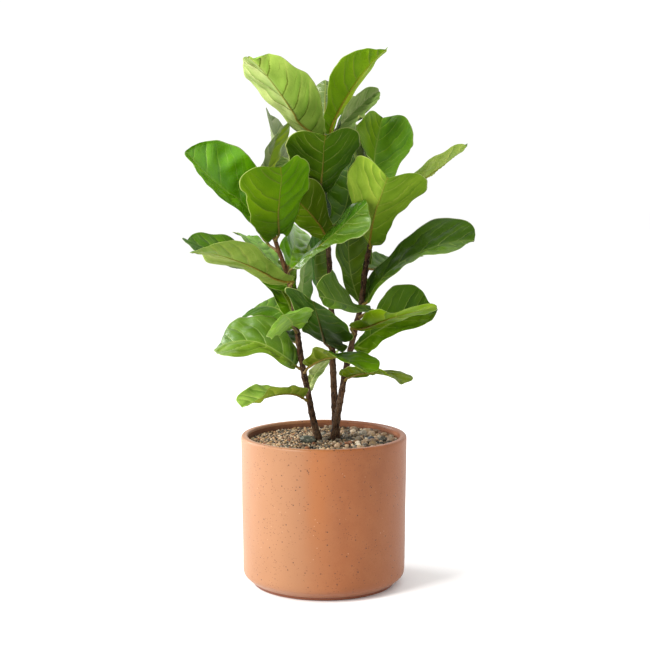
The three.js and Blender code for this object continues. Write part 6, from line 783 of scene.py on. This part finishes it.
def build_leaf(row, idx):
    (name, stem, start, out, base, az, el, roll, L, W) = row[:10]
    up_r, up_l, un_r, un_l, gloss, wave, bulge = [np.array(v) for v in LOOK[name]]
    P, nrm, s, ts, X, PH, GP, at, T, N, S, seed = leaf_sheet(row, idx)
    T0, nt = T[0], len(ts)
    ds = np.gradient(P, axis=0)
    dt = np.gradient(P, axis=1)
    nr2 = unit(np.cross(dt, ds))
    flip = np.sign((nr2 * nrm).sum(-1, keepdims=True))
    nr2 = nr2 * np.where(flip == 0, 1, flip)
    nr2[0], nr2[-1] = nrm[0], nrm[-1]
    h = BLADE_H / 2 * (1 - .55 * at**6)
    top = P + nr2 * h[..., None]
    bot = P - nr2 * h[..., None]
    top[:, 0] = bot[:, 0] = P[:, 0]
    top[:, -1] = bot[:, -1] = P[:, -1]
    # indices: the whole top grid, then the inner columns of the bottom
    ti = np.arange(NS * nt).reshape(NS, nt)
    bi = ti.copy()
    bi[:, 1:-1] = NS * nt + np.arange(NS * (nt - 2)).reshape(NS, nt - 2)
    verts = [top.reshape(-1, 3), bot[:, 1:-1].reshape(-1, 3)]
    sgn = np.sign(np.dot(np.cross(T0, N[0]), S[0]))
    up = np.stack([ti[:-1, :-1], ti[:-1, 1:], ti[1:, 1:], ti[1:, :-1]], -1).reshape(-1, 4)
    dn = np.stack([bi[:-1, :-1], bi[1:, :-1], bi[1:, 1:], bi[:-1, 1:]], -1).reshape(-1, 4)
    ii, jj = np.meshgrid(np.arange(NS - 1), np.arange(nt - 1), indexing="ij")
    ci = np.stack([ii, ii, ii + 1, ii + 1], -1).reshape(-1, 4)
    cj = np.stack([jj, jj + 1, jj + 1, jj], -1).reshape(-1, 4)
    ci2 = np.stack([ii, ii + 1, ii + 1, ii], -1).reshape(-1, 4)
    cj2 = np.stack([jj, jj, jj + 1, jj + 1], -1).reshape(-1, 4)
    # check the winding against the upper side
    v4 = top.reshape(-1, 3)[up[len(up) // 2]]
    if np.cross(v4[1] - v4[0], v4[3] - v4[0]) @ nr2[NS // 2, nt // 2] < 0:
        up, dn = up[:, ::-1], dn[:, ::-1]
        ci, cj, ci2, cj2 = ci[:, ::-1], cj[:, ::-1], ci2[:, ::-1], cj2[:, ::-1]

    def corner(ci, cj):
        lefthalf = (np.minimum.reduce(cj, axis=1) < HALF)[:, None]
        sg = np.where(lefthalf, -1, 1)
        phv = np.where(sg > 0, PH[1][ci, cj], PH[-1][ci, cj])
        gpv = np.where(sg > 0, GP[1][ci, cj], GP[-1][ci, cj])
        tv = ts[cj]
        return (np.stack([phv, gpv, tv], -1).reshape(-1, 3),
                np.stack([X[ci, cj], s[ci] * L, np.full(ci.shape, seed)], -1).reshape(-1, 3))

    va, fa = corner(ci, cj)
    vb, fb = corner(ci2, cj2)
    # end caps
    ring0 = np.concatenate([ti[0], bi[0, 1:-1][::-1]])
    ring1 = np.concatenate([ti[-1], bi[-1, 1:-1][::-1]])
    if np.cross(v4[1] - v4[0], v4[3] - v4[0]) @ nr2[NS // 2, nt // 2] < 0:
        ring0 = ring0[::-1]
    else:
        ring1 = ring1[::-1]
    # stalk and midrib: one tapering tube from inside the stem to near the tip
    A, O = np.array(start, float), np.array(out, float)
    B = np.array(base, float)
    reach = np.linalg.norm(B - A)
    od = np.array([O[0] * .8, O[1] * .8, .6])
    A2 = A - O * 4.2 - np.array([0, 0, 1.0])
    P1, P2 = A + od * reach * .35, B - T0 * reach * .4
    u = np.linspace(0, 1, 9)[:, None]
    bez = (1 - u) ** 3 * A + 3 * (1 - u) ** 2 * u * P1 + 3 * (1 - u) * u**2 * P2 + u**3 * B
    r0 = 2.1 + .25 * min(W / 130, 1.3)
    ks = np.unique(np.round(np.linspace(1, NS - 5, 30)).astype(int))
    sr = s[ks]
    rr = (r0 * .86) * (1 - sr) ** .85 + .22
    mid = P[:, HALF]
    cen = mid[ks] - nr2[ks, HALF] * (rr - BLADE_H / 2 - .14 * smooth(0, .1, sr) + .45 * (1 - smooth(0, .07, sr)) * -1)[:, None]
    line = np.concatenate([A2[None], bez[:-1], cen])
    stalk_u = np.concatenate([[-.12], u[:-1, 0]])
    rad = np.concatenate([r0 * (1.0 + .55 * np.exp(-((stalk_u + .05) / .16) ** 2) + .12 * smooth(.75, 1, stalk_u)), rr])
    tang = unit(np.gradient(line, axis=0))
    sides = np.concatenate([np.repeat(S[:1], len(stalk_u), 0), S[ks]])
    sides = unit(sides - tang * (sides * tang).sum(-1, keepdims=True))
    nor = np.cross(sides, tang)
    K = 10
    tb = tube(line, sides, nor, rad, rad * .95, K)
    first = NS * nt + NS * (nt - 2)
    verts.append(tb.reshape(-1, 3))
    tf = tube_faces(len(line), K, first)
    q4 = verts[2][tf[K * 3] - first]
    cen4 = line[3]
    if np.cross(q4[1] - q4[0], q4[3] - q4[0]) @ (q4[0] - cen4) < 0:
        tf = tf[:, ::-1]
        capA, capB = np.arange(K)[None] + first, (np.arange(K)[::-1] + (len(line) - 1) * K)[None] + first
    else:
        capA, capB = np.arange(K)[::-1][None] + first, (np.arange(K) + (len(line) - 1) * K)[None] + first
    along = np.concatenate([(stalk_u - 1) * reach, sr * L])
    tcorner = np.stack([along[(tf - first) // K], np.zeros(tf.shape), np.full(tf.shape, seed)], -1).reshape(-1, 3)
    zero = lambda n: np.zeros((n, 3))
    caps = [ring0[None], ring1[None], capA, capB]
    capn = sum(c.size for c in caps)
    capflat = np.concatenate([np.tile([[0, s[0] * L, seed]], (caps[0].size, 1)), np.tile([[0, L, seed]], (caps[1].size, 1)),
                              np.tile([[-reach, 0, seed]], (K, 1)), np.tile([[L, 0, seed]], (K, 1))])
    faces = [up, dn, tf, *caps]
    fmat = np.concatenate([np.zeros(len(up)), np.ones(len(dn)), np.full(len(tf), 2), [1, 1, 2, 2]])
    V = np.concatenate(verts)
    rib = (un_r + un_l) / 2 * np.array([1.20, .78, .36]) * .5 + np.array([.225, .130, .014]) * .5
    # the halves differ in painted light and shade, with a soft change across the midrib
    tc = np.concatenate([np.tile(ts, NS), np.tile(ts[1:-1], NS), np.zeros(len(verts[2]))])
    half = smooth(-.12, .12, tc)[:, None]
    upper, under = up_l * (1 - half) + up_r * half, un_l * (1 - half) + un_r * half
    ob = new_mesh(name + "_look", V, faces, [UPPER, UNDER, RIB], fmat,
                  corner={"vein": np.concatenate([va, vb, zero(len(tcorner)), zero(capn)]),
                          "flat": np.concatenate([fa, fb, tcorner, capflat])},
                  point={"tint_upper": upper, "tint_under": under,
                         "tint_rib": np.tile(rib, (len(V), 1)), "kind": np.tile([gloss, 0, DARK_VEINS.get(name, .12)], (len(V), 1))})
    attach(ob, "root")
    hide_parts(name)
    return ob


DARK_VEINS = {"leaf_centre_02": 1.0, "leaf_left_04": .8, "leaf_centre_01": .55, "leaf_left_09": .5}
for i, row in enumerate(LEAVES):
    build_leaf(row, i)


# ---------------------------------------------------------------- stems
def bark_material(name, red):
    n = Nodes(name)
    pos = n.coord()
    tall = n.scale(pos, (1, 1, .28))
    rings = n.scale(pos, (.35, .35, 1))
    a = n.noise(tall, 260, 6, .65)
    b = n.noise(pos, 55, 4, .6)
    r = n.noise(rings, 190, 4, .6)
    z = n.xyz(pos)[2]
    c = n.mix(n.ramp(a, .38, .64), (.0075, .0035, .0018), (.088, .042, .018))
    c = n.mix(n.ramp(b, .48, .70, 0, .6), c, (.115, .072, .042))
    c = n.mix(n.m("MULTIPLY", n.ramp(r, .5, .7), .35), c, (.030, .014, .007))
    if red:
        c = n.mix(n.ramp(z, .47, .60, 0.0, .55), c, n.mix(n.ramp(a, .3, .7), (.075, .030, .010), (.185, .085, .030)))
    lent = n.ramp(n.voronoi(n.scale(pos, (1, 1, 1.8)), 230, "F1"), .14, .24, .75, 0.0)
    c = n.mix(lent, c, (.22, .155, .095))
    h = n.m("ADD", n.m("MULTIPLY", a, .8), n.m("ADD", n.m("MULTIPLY", r, .35), n.m("MULTIPLY", lent, .3)))
    return n.done(c, n.ramp(a, .3, .7, .62, .86), n.bump(h, .0012, 1.0), Specular_IOR_Level=.12)


BARK = {"stem_left": bark_material("bark_left", True), "stem_centre": bark_material("bark_centre", False),
        "stem_right": bark_material("bark_right", False)}


def bud_material():
    n = Nodes("bud_sheath")
    pos = n.coord()
    a = n.noise(n.scale(pos, (1, 1, .25)), 420, 4)
    c = n.mix(n.ramp(a, .3, .7), (.09, .045, .018), (.30, .19, .075))
    return n.done(c, .6, n.bump(a, .0006, .7), Specular_IOR_Level=.35)


BUD = bud_material()


def spline(rows, z):
    rows = np.array(rows, float)
    return np.stack([pchip(z, rows[:, 2], rows[:, k]) for k in (0, 1, 3)], -1)


for si, (name, rows) in enumerate(STEMS.items()):
    rows = np.array(rows, float)
    rng = np.random.default_rng(77 + si)
    z0, z1 = rows[0, 2] - 10, rows[-1, 2]
    n = int((z1 - z0) / 2.0)
    z = np.linspace(z0, z1, n)
    zc = np.clip(z, rows[0, 2], None)
    xyr = spline(rows, zc)
    slope = (rows[0, :2] - rows[1, :2]) / (rows[0, 2] - rows[1, 2])
    low = np.minimum(z - rows[0, 2], 0)
    xyr[:, 0] += slope[0] * low
    xyr[:, 1] += slope[1] * low
    K = 22
    a = np.arange(K) / K * 2 * math.pi
    rad = np.repeat(xyr[:, 2:3], K, 1) * (.97 + .05 * np.exp(-(z - rows[0, 2])[:, None] / 9).clip(0, 1.6) * .8)
    # nodes: low rings where leaves once were, 13 to 27 mm apart, each with a scar on one side
    at, scars = rows[0, 2] + 14, []
    while at < z1 - 4:
        turn = rng.uniform(0, 6.28)
        scars.append((at, turn))
        tilt = rng.uniform(-1.2, 1.2)
        dz = z[:, None] - at - tilt * np.cos(a[None] - turn)
        rad += .55 * np.exp(-(dz / 1.6) ** 2) + .35 * np.exp(-(dz / 5.0) ** 2)
        da = np.angle(np.exp(1j * (a[None] - turn)))
        rad += 1.15 * np.exp(-((dz / 2.4) ** 2) - (da / .55) ** 2)
        rad -= .5 * np.exp(-(((dz - 1.2) / 1.4) ** 2) - (da / .4) ** 2)
        at += rng.uniform(13, 27)
    grid = np.stack([np.repeat(z[:, None], K, 1) / 9, np.cos(a)[None] * 1.6 + z[:, None] * 0, np.sin(a)[None] * 1.6 + z[:, None] * 0], -1)
    rad += .28 * wobble(grid, 5 + si, 1.0, 7) + .16 * wobble(grid * 3.1, 15 + si, 1.0, 7)
    C = np.concatenate([xyr[:, :2], z[:, None]], 1)
    V = np.stack([C[:, 0:1] + np.cos(a)[None] * rad, C[:, 1:2] + np.sin(a)[None] * rad, np.repeat(z[:, None], K, 1)], -1)
    faces = [tube_faces(n, K), np.arange(K)[::-1][None], (np.arange(K) + (n - 1) * K)[None]]
    allv, fm = [V.reshape(-1, 3)], [np.zeros(len(faces[0]) + 2)]
    # bud sheath at the tip
    tip, pre = rows[-1], rows[-2]
    up = unit(tip[:3] - pre[:3])
    sx = unit(np.cross(up, [0, 1, 0]))
    sy = np.cross(sx, up)
    u = np.linspace(0, 1, 16)
    prof = tip[3] * (1.02 + .18 * np.sin(np.clip(u * 3.2, 0, 3.14))) * (1 - u**1.7) + .25
    line = tip[:3] + up * (u[:, None] * 15.5 - 1.5) + sx * (1.3 * u[:, None] ** 2)
    tb = tube(line, np.repeat(sx[None], 16, 0), np.repeat(sy[None], 16, 0), prof, prof, 12)
    f0 = n * K
    bf = tube_faces(16, 12, f0)
    v4 = tb.reshape(-1, 3)[bf[12 * 4] - f0]
    if np.cross(v4[1] - v4[0], v4[3] - v4[0]) @ (v4[0] - line[4]) < 0:
        bf = bf[:, ::-1]
    faces += [bf, np.arange(12)[::-1][None] + f0, (np.arange(12) + 15 * 12)[None] + f0]
    allv.append(tb.reshape(-1, 3))
    fm.append(np.ones(len(bf) + 2))
    ob = new_mesh(name + "_look", np.concatenate(allv), faces, [BARK[name], BUD], np.concatenate(fm))
    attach(ob, "root")
    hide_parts(name)


# ---------------------------------------------------------------- pot
def pot_material():
    n = Nodes("terracotta_matte")
    pos = n.coord()
    big = n.noise(n.scale(pos, (1, 1, .55)), 6.5, 4, .6)
    mid = n.noise(pos, 34, 4, .6)
    fine = n.noise(pos, 420, 4, .7)
    c = n.mix(n.ramp(big, .32, .68), (.232, .065, .0125), (.273, .081, .0175))
    c = n.mix(n.ramp(mid, .42, .66, 0, .22), c, (.330, .115, .033))
    c = n.mix(n.ramp(fine, .50, .75, 0, .38), c, (.175, .050, .013))
    px, py, z = n.xyz(pos)
    # a pale painted sheen on the -X side, towards the lamps, that thins out towards +X, and one warmer streak down the
    # front
    painted_sheen = n.ramp(n.m("ADD", px, n.m("MULTIPLY_ADD", big, .05, -.025)), -.085, .045, 1.0, 0.0)
    c = n.mix(n.m("MULTIPLY", painted_sheen, .92), c, n.mix(n.ramp(big, .3, .7), (.345, .158, .068), (.385, .182, .082)))
    streak = n.m("MULTIPLY", n.ramp(n.m("ABSOLUTE", n.m("ADD", px, n.m("MULTIPLY_ADD", mid, .020, .000))), .002, .034, 1.0, 0.0),
                 n.m("MULTIPLY", n.ramp(py, -.10, -.08, 1.0, 0.0), n.ramp(z, .05, .17, .25, 1.0)))
    c = n.mix(n.m("MULTIPLY", streak, .45), c, (.345, .100, .012))
    # painted shade: darker and redder towards the bottom, over the lower bevel that faces down
    c = n.mix(n.m("MULTIPLY", n.ramp(z, .004, .030, .55, 0.0), n.ramp(mid, .25, .6, .6, 1.0)), c, (.255, .090, .045))
    # a deeper painted shadow on the foot, under the bevel
    c = n.mix(n.ramp(z, .0042, .0068, .80, 0.0), c, (.185, .050, .021))
    # small dark pits, rarer big ones, and pale specks
    pit = n.ramp(n.voronoi(pos, 95, "F1"), .085, .13, 1.0, 0.0)
    pit = n.m("MULTIPLY", pit, n.ramp(n.noise(pos, 60, 2), .43, .47))
    pit2 = n.ramp(n.voronoi(n.scale(pos, (1, 1, 1.3)), 62, "F1"), .055, .10, 1.0, 0.0)
    pit2 = n.m("MULTIPLY", pit2, n.ramp(n.noise(pos, 19, 2), .53, .57))
    dust = n.ramp(n.voronoi(n.scale(pos, (1, 1, 1.1)), 200, "F1"), .14, .20, 1.0, 0.0)
    dust = n.m("MULTIPLY", dust, n.ramp(n.noise(pos, 27, 2), .40, .58))
    c = n.mix(n.m("MULTIPLY", dust, .75), c, (.085, .022, .007))
    speck = n.ramp(n.voronoi(n.scale(pos, (1.1, 1, .9)), 128, "F1"), .07, .12, 1.0, 0.0)
    speck = n.m("MULTIPLY", speck, n.ramp(n.noise(pos, 43, 2), .57, .62))
    c = n.mix(n.m("MULTIPLY", pit, .97), c, (.055, .015, .005))
    c = n.mix(n.m("MULTIPLY", pit2, .9), c, (.060, .020, .008))
    c = n.mix(n.m("MULTIPLY", speck, .45), c, (.700, .480, .300))
    h = n.m("SUBTRACT", n.m("MULTIPLY", fine, .25), n.m("ADD", pit, pit2))
    h = n.m("ADD", h, n.m("MULTIPLY", mid, .2))
    return n.done(c, n.ramp(fine, .3, .7, .40, .52), n.bump(h, .0007, .6), Specular_IOR_Level=.42, Diffuse_Roughness=.3, Sheen_Weight=.10, Sheen_Roughness=.4, Sheen_Tint=(1.0, .93, .86))


def inner_material():
    n = Nodes("terracotta_inside")
    pos = n.coord()
    a = n.noise(n.scale(pos, (1, 1, .6)), 26, 5, .65)
    f = n.noise(pos, 330, 3)
    c = n.mix(n.ramp(a, .3, .7), (.230, .080, .036), (.360, .140, .068))
    px, _, z = n.xyz(pos)
    # painted shade on the inside of the wall on the -X side, away from the lamps, and darker low down by the gravel
    c = n.mix(n.ramp(px, -.08, .07, .55, 0.0), c, (.110, .050, .020))
    c = n.mix(n.ramp(z, .258, .266, .55, 0.0), c, (.100, .048, .028))
    return n.done(c, .85, n.bump(f, .0006, .5), Specular_IOR_Level=.3)


def lathe(profile, sides, wob=0.0, seed=1):
    prof = np.array(profile, float)
    a = np.arange(sides) / sides * 2 * math.pi
    V = np.stack([prof[:, 0:1] * np.cos(a)[None], prof[:, 0:1] * np.sin(a)[None], np.repeat(prof[:, 1:2], sides, 1)], -1)
    if wob:
        g = np.stack([np.cos(a)[None] * 1.5 + 0 * prof[:, :1], np.sin(a)[None] * 1.5 + 0 * prof[:, :1], prof[:, 1:2] / 90 + 0 * a[None]], -1)
        k = 1 + wob * wobble(g, seed, 1.0, 6) / np.maximum(prof[:, 0:1], 1) * (prof[:, 0:1] > 60)
        V[..., 0] *= k
        V[..., 1] *= k
    return V


def chaikin(p, times=2):
    p = np.array(p, float)
    for _ in range(times):
        out = [p[0]]
        for a, b in zip(p[:-1], p[1:]):
            out += [a * .75 + b * .25, a * .25 + b * .75]
        p = np.array(out + [p[-1]])
    return p


outer = [(0, 0), (100, 0), (126.3, 0), (127.6, .5), (128.1, 1.4), (128.2, 4.0), (128.9, 5.2), (132.0, 6.6), (136.6, 10.1), (141.0, 13.8), (143.6, 16.4),
         (145.3, 19.2), (146.3, 22.6), (146.8, 27)]
outer += [(146.8 + 2.8 * (z - 26) / 238, z) for z in np.linspace(38, 262, 15)]
outer += [(149.7, 266), (149.3, 269.4), (147.6, 271.4), (145.2, 272), (142, 272), (139.6, 271.9), (138.2, 270.6), (137.7, 267.5)]
inner = [(137.6, 264), (137.3, 258), (136.9, 250), (136.5, 246)]
prof = chaikin(outer + inner, 2)
V = lathe(prof, 192, .28, 9)
np_, K = V.shape[:2]
split = int(np.argmax((prof[:, 1] > 262) & (np.arange(np_) > np_ // 2) & (prof[:, 0] < 137.75)))
V[0] = V[0].mean(0)
faces = tube_faces(np_, K)
fm = (np.arange(len(faces)) // K >= split).astype(int)
v4 = V.reshape(-1, 3)[faces[K * (np_ // 2)]]
if np.cross(v4[1] - v4[0], v4[3] - v4[0])[:2] @ v4[0][:2] < 0:
    faces = faces[:, ::-1]
# the hidden inside: straight down to a floor, so that the shell is closed
low = lathe([(135.5, 230), (133.5, 30), (128, 16), (100, 13), (0.01, 13)], 192)
nv = V.reshape(-1, 3).shape[0]
V2 = np.concatenate([V.reshape(-1, 3), low.reshape(-1, 3)])
link = np.stack([np.arange(K), (np.arange(K) + 1) % K], -1)
a, b = link[:, 0] + (np_ - 1) * K, link[:, 1] + (np_ - 1) * K
join = np.stack([a, b, link[:, 1] + nv, link[:, 0] + nv], -1)
rest = tube_faces(5, K, nv)
v4 = V2[faces[K * (np_ // 2)]]
lowf = np.concatenate([join, rest])
w4 = V2[join[0]]
if np.cross(w4[1] - w4[0], w4[3] - w4[0])[:2] @ w4[0][:2] > 0:
    lowf = lowf[:, ::-1]
faces = np.concatenate([faces[K:], lowf])
base_tri = faces[:0]
fm = np.concatenate([fm[K:], np.ones(len(lowf), int)])
# bottom disc as one polygon in place of the collapsed first ring
ring = np.arange(K) + K
capdown = ring[::-1][None]
pot = new_mesh("pot_look", V2, [faces, capdown], [pot_material(), inner_material()], np.concatenate([fm, [0]]))
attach(pot, "root")
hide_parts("pot")


# ---------------------------------------------------------------- potting mix and gravel
def soil_material(name, dark, light, scale):
    n = Nodes(name)
    pos = n.coord()
    a = n.noise(pos, scale, 5, .7)
    v = n.voronoi(pos, scale * 1.7, "F1")
    c = n.mix(n.ramp(a, .3, .7), dark, light)
    c = n.mix(n.ramp(v, .1, .5, .5, 0), c, (.02, .013, .009))
    return n.done(c, .95, n.bump(n.m("ADD", a, v), .002, .9), Specular_IOR_Level=.2)


for o, m in ((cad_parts["potting_mix"], soil_material("potting_mix_dark", (.020, .013, .009), (.085, .052, .032), 140)),):
    o.data.materials.clear()
    o.data.materials.append(m)


def gravel_top(x, y):
    r = np.hypot(x, y)
    return GRAVEL_Z + 4 * np.exp(-((r / 70) ** 2))


def pebble_material():
    n = Nodes("pebbles")
    col = n.attr("stone").outputs["Color"]
    seed = n.xyz(n.attr("kind").outputs["Vector"])
    pos = n.coord()
    sp = n.t.nodes.new("ShaderNodeVectorMath")
    sp.operation = "ADD"
    n.put(sp.inputs[0], pos)
    n.put(sp.inputs[1], n.attr("kind").outputs["Vector"])
    p = sp.outputs[0]
    a = n.noise(p, 420, 4, .6)
    b = n.noise(p, 1500, 3, .6)
    c = n.mix(n.ramp(a, .32, .7), n.mix(1.0, col, (.66, .64, .62), "MULTIPLY"), n.mix(1.0, col, (1.25, 1.22, 1.2), "MULTIPLY"))
    c = n.mix(n.ramp(b, .55, .7, 0, .35), c, n.mix(1.0, col, (.5, .47, .44), "MULTIPLY"))
    band = n.ramp(n.noise(n.scale(p, (1, 1, 3.5)), 160, 2), .60, .66, 0.0, .35)
    c = n.mix(band, c, (.62, .56, .47))
    return n.done(c, n.ramp(a, .3, .7, .5, .78), n.bump(n.m("ADD", n.m("MULTIPLY", b, .5), a), .0005, .6), Specular_IOR_Level=.4)


PEBBLE = pebble_material()


def ico(level):
    import bmesh
    bm = bmesh.new()
    bmesh.ops.create_icosphere(bm, subdivisions=level, radius=1.0)
    bm.verts.ensure_lookup_table()
    v = np.array([x.co[:] for x in bm.verts])
    f = np.array([[q.index for q in x.verts] for x in bm.faces])
    bm.free()
    return v, f


ICO = {0: ico(1), 1: ico(2), 2: ico(3)}


def ground_tone(x, y):
    """More olive to the left, and much darker close to the stems."""
    k = smooth(-40, 95, x)
    c = np.array([.90, .83, .70]) * (1 - k) + np.array([.84, .82, .78]) * k
    near = min(math.hypot(x - fx, y - fy) - fr for fx, fy, fr in stem_feet)
    return c * (.34 + .66 * float(smooth(3, 30, near)))


rng = np.random.default_rng(4)
stem_feet = [(spline(r, np.array([264.0]))[0]) for r in STEMS.values()]
R_IN = 136.0
placed, cells = [], {}  # x, y, r
special = [(-28.5, -18.0, (16.0, 13.0, 7.0), (.075, .085, .062), .25), (85.5, 10.0, (6.6, 6.0, 4.6), (.068, .076, .086), .3)]  # x, y, semi axes, colour, turn


def room(x, y, r, gap):
    if math.hypot(x, y) + r * .92 > R_IN:
        return False
    for fx, fy, fr in stem_feet:
        if math.hypot(x - fx, y - fy) < fr + r * .75:
            return False
    ci, cj = int(x // 12), int(y // 12)
    for i in (-1, 0, 1):
        for j in (-1, 0, 1):
            for px, py, pr in cells.get((ci + i, cj + j), ()):
                if math.hypot(px - x, py - y) < (pr + r) * gap:
                    return False
    return True


def put_down(x, y, r):
    placed.append((x, y, r))
    cells.setdefault((int(x // 12), int(y // 12)), []).append((x, y, r))


for x, y, axes, colr, turn in special:
    put_down(x, y, (axes[0] + axes[1]) / 2 * .95)
n_special = len(placed)


def size_at(x):
    """Pebbles grow from the left side to the right."""
    k = smooth(-20, 100, x)
    return 1.04 + .60 * k


for lo, hi, tries, gap in ((4.2, 6.0, 500, .97), (2.6, 3.8, 1500, .93), (2.4, 3.4, 9000, .93), (1.6, 2.2, 5000, .93)):
    for _ in range(tries):
        rr_, aa = R_IN * math.sqrt(rng.uniform()), rng.uniform(0, 2 * math.pi)
        x, y = rr_ * math.cos(aa), rr_ * math.sin(aa)
        k = float(size_at(x))
        if lo > 2.5 and rng.uniform() > smooth(-70, 105, x + y * .35) * (.9 if lo > 4 else 1.0) + (.02 if lo > 4 else .12):
            continue
        r = rng.uniform(lo, hi) * (k if lo > 2 else min(k, 1.15)) * .86
        if room(x, y, r, gap):
            put_down(x, y, r)

PAL = np.array([(200, 170, 140), (170, 140, 110), (186, 160, 132), (150, 118, 88), (120, 100, 70), (205, 188, 165), (140, 128, 112),
                (96, 84, 66), (60, 55, 45), (158, 104, 70), (112, 112, 104), (178, 150, 108), (222, 210, 192), (84, 66, 50)], float) / 255
PAL = np.where(PAL < .04045, PAL / 12.92, ((PAL + .055) / 1.055) ** 2.4)
WEI = np.array([14, 12, 12, 8, 7, 11, 9, 7, 6, 3, 7, 8, 6, 6], float)
groups = {k: ([], [], [], []) for k in range(3)}
counts = {k: 0 for k in groups}
for i, (x, y, r) in enumerate(placed):
    ang = rng.uniform(0, 6.28)
    if i < n_special:
        ax_, col, ang = np.array(special[i][2]), np.array(special[i][3]), special[i][4]
        lev = 2
    else:
        ax_ = r * np.array([rng.uniform(1.0, 1.28), rng.uniform(.82, 1.0), rng.uniform(.58, .86)])
        col = PAL[rng.choice(len(PAL), p=WEI / WEI.sum())] * rng.uniform(.45, 1.15) * ground_tone(x, y)
        lev = 2 if r > 3.6 else 1 if r > 1.9 else 0
    v, f = ICO[lev]
    w = v.copy()
    for _ in range(5):
        k = unit(rng.normal(size=3))
        d = w @ k
        w = w + k * (np.minimum(d, rng.uniform(.62, .9)) - d)[:, None] * .8  # worn facets
    w = w * (1 + .05 * wobble(v, int(rng.integers(1e6)), .8, 4))[:, None]
    w = w * ax_
    tl, tz = rng.normal(0, .28 if i >= n_special else .08), rng.uniform(0, 6.28)
    k = np.array([math.cos(tz), math.sin(tz), 0])
    w = w * math.cos(tl) + np.cross(k, w) * math.sin(tl) + k * (w @ k)[:, None] * (1 - math.cos(tl))
    ca, sa = math.cos(ang), math.sin(ang)
    w = w @ np.array([[ca, sa, 0], [-sa, ca, 0], [0, 0, 1]])
    zc = gravel_top(x, y) - .9 + ax_[2] * rng.uniform(.25, .62)
    w = w + np.array([x, y, zc])
    g = groups[i % 3]
    g[0].append(w)
    g[1].append(f + counts[i % 3])
    g[2].append(np.tile(col, (len(w), 1)))
    g[3].append(np.tile(rng.uniform(0, 3, 3), (len(w), 1)))
    counts[i % 3] += len(w)
for k, (vs, fs, cs, ks) in groups.items():
    ob = new_mesh("gravel_stones_%d" % (k + 1), np.concatenate(vs), np.concatenate(fs), [PEBBLE],
                  point={"stone": np.concatenate(cs), "kind": np.concatenate(ks)})
    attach(ob, "root")
print("stones", len(placed))

# the finer bed under the stones
rs = np.concatenate([np.linspace(0, 1, 60) ** .8 * 136.6])
K = 150
a = np.arange(K) / K * 2 * math.pi
gx, gy = rs[:, None] * np.cos(a)[None], rs[:, None] * np.sin(a)[None]
gz = gravel_top(gx, gy) - 1.4
gp = np.stack([gx, gy], -1)
gz = gz + .55 * wobble(gp, 31, 5.0, 8) + .4 * wobble(gp, 32, 2.4, 8)
top = np.stack([gx, gy, gz], -1)
side = np.stack([gx[-1], gy[-1], np.full(K, 246.0)], -1)[None]
V = np.concatenate([top, side])
V[0] = V[0].mean(0)
faces = tube_faces(len(V), K)
v4 = V.reshape(-1, 3)[faces[K * 30]]
if np.cross(v4[1] - v4[0], v4[3] - v4[0])[2] < 0:
    faces = faces[:, ::-1]
capu = (np.arange(K) + K)[None]
faces2 = faces[K:]
capd = ((np.arange(K)[::-1]) + (len(V) - 1) * K)[None]
bed = new_mesh("gravel_bed", V.reshape(-1, 3), [faces2, capu, capd], [soil_material("fine_grit", (.014, .010, .006), (.090, .064, .038), 420)])
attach(bed, "root")
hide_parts("gravel_topping")


# ---------------------------------------------------------------- stage, light and camera
def floor_material():
    n = Nodes("floor_white")
    a = n.noise(n.coord(), 1.3, 2)
    return n.done(n.mix(n.ramp(a, .3, .7), (.957, .957, .957), (.965, .965, .965)), .9, Specular_IOR_Level=.1)


fl = new_mesh("studio_floor", [(-14000, -14000, -.4), (14000, -14000, -.4), (14000, 14000, -.4), (-14000, 14000, -.4)],
              np.array([[0, 1, 2, 3]]), [floor_material()], shade=False)
fl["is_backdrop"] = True

world = bpy.data.worlds.new("studio")
bpy.context.scene.world = world
world.use_nodes = True
bg = world.node_tree.nodes["Background"]
bg.inputs[0].default_value = (1, 1, 1, 1)
bg.inputs[1].default_value = 1.05


def area(name, loc, target, size, power, colour=(1, 1, 1)):
    d = bpy.data.lights.new(name, "AREA")
    d.shape, d.size, d.size_y = "RECTANGLE", size[0], size[1]
    d.energy, d.color = power, colour
    o = bpy.data.objects.new(name, d)
    o.location = loc
    o.rotation_euler = (Vector(target) - Vector(loc)).to_track_quat("-Z", "Y").to_euler()
    bpy.context.scene.collection.objects.link(o)
    return o


area("key", (-2.35, -1.95, 2.3), (0, 0, .5), (1.2, 2.0), 145, (1.0, .985, .96))
area("side", (-2.7, 1.3, 1.4), (0, 0, .35), (1.2, 2.2), 85)

cam = bpy.data.cameras.new("camera")
cam.sensor_width, cam.sensor_fit = 36.0, "HORIZONTAL"
cam.lens = 1586.41 / 650 * 36
cam.clip_start, cam.clip_end = .05, 100
co = bpy.data.objects.new("camera", cam)
co.location = (.0019974, -2.82213, .812554)
co.rotation_euler = (math.radians(90) - .120733839, 0, 0)
bpy.context.scene.collection.objects.link(co)
bpy.context.scene.camera = co
bpy.context.scene.view_settings.view_transform = "Standard"
bpy.context.scene.view_settings.look = "None"
bpy.context.scene.view_settings.exposure = 0.0
bpy.context.scene.view_settings.gamma = 1.0

bpy.context.view_layer.update()
lo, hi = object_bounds()
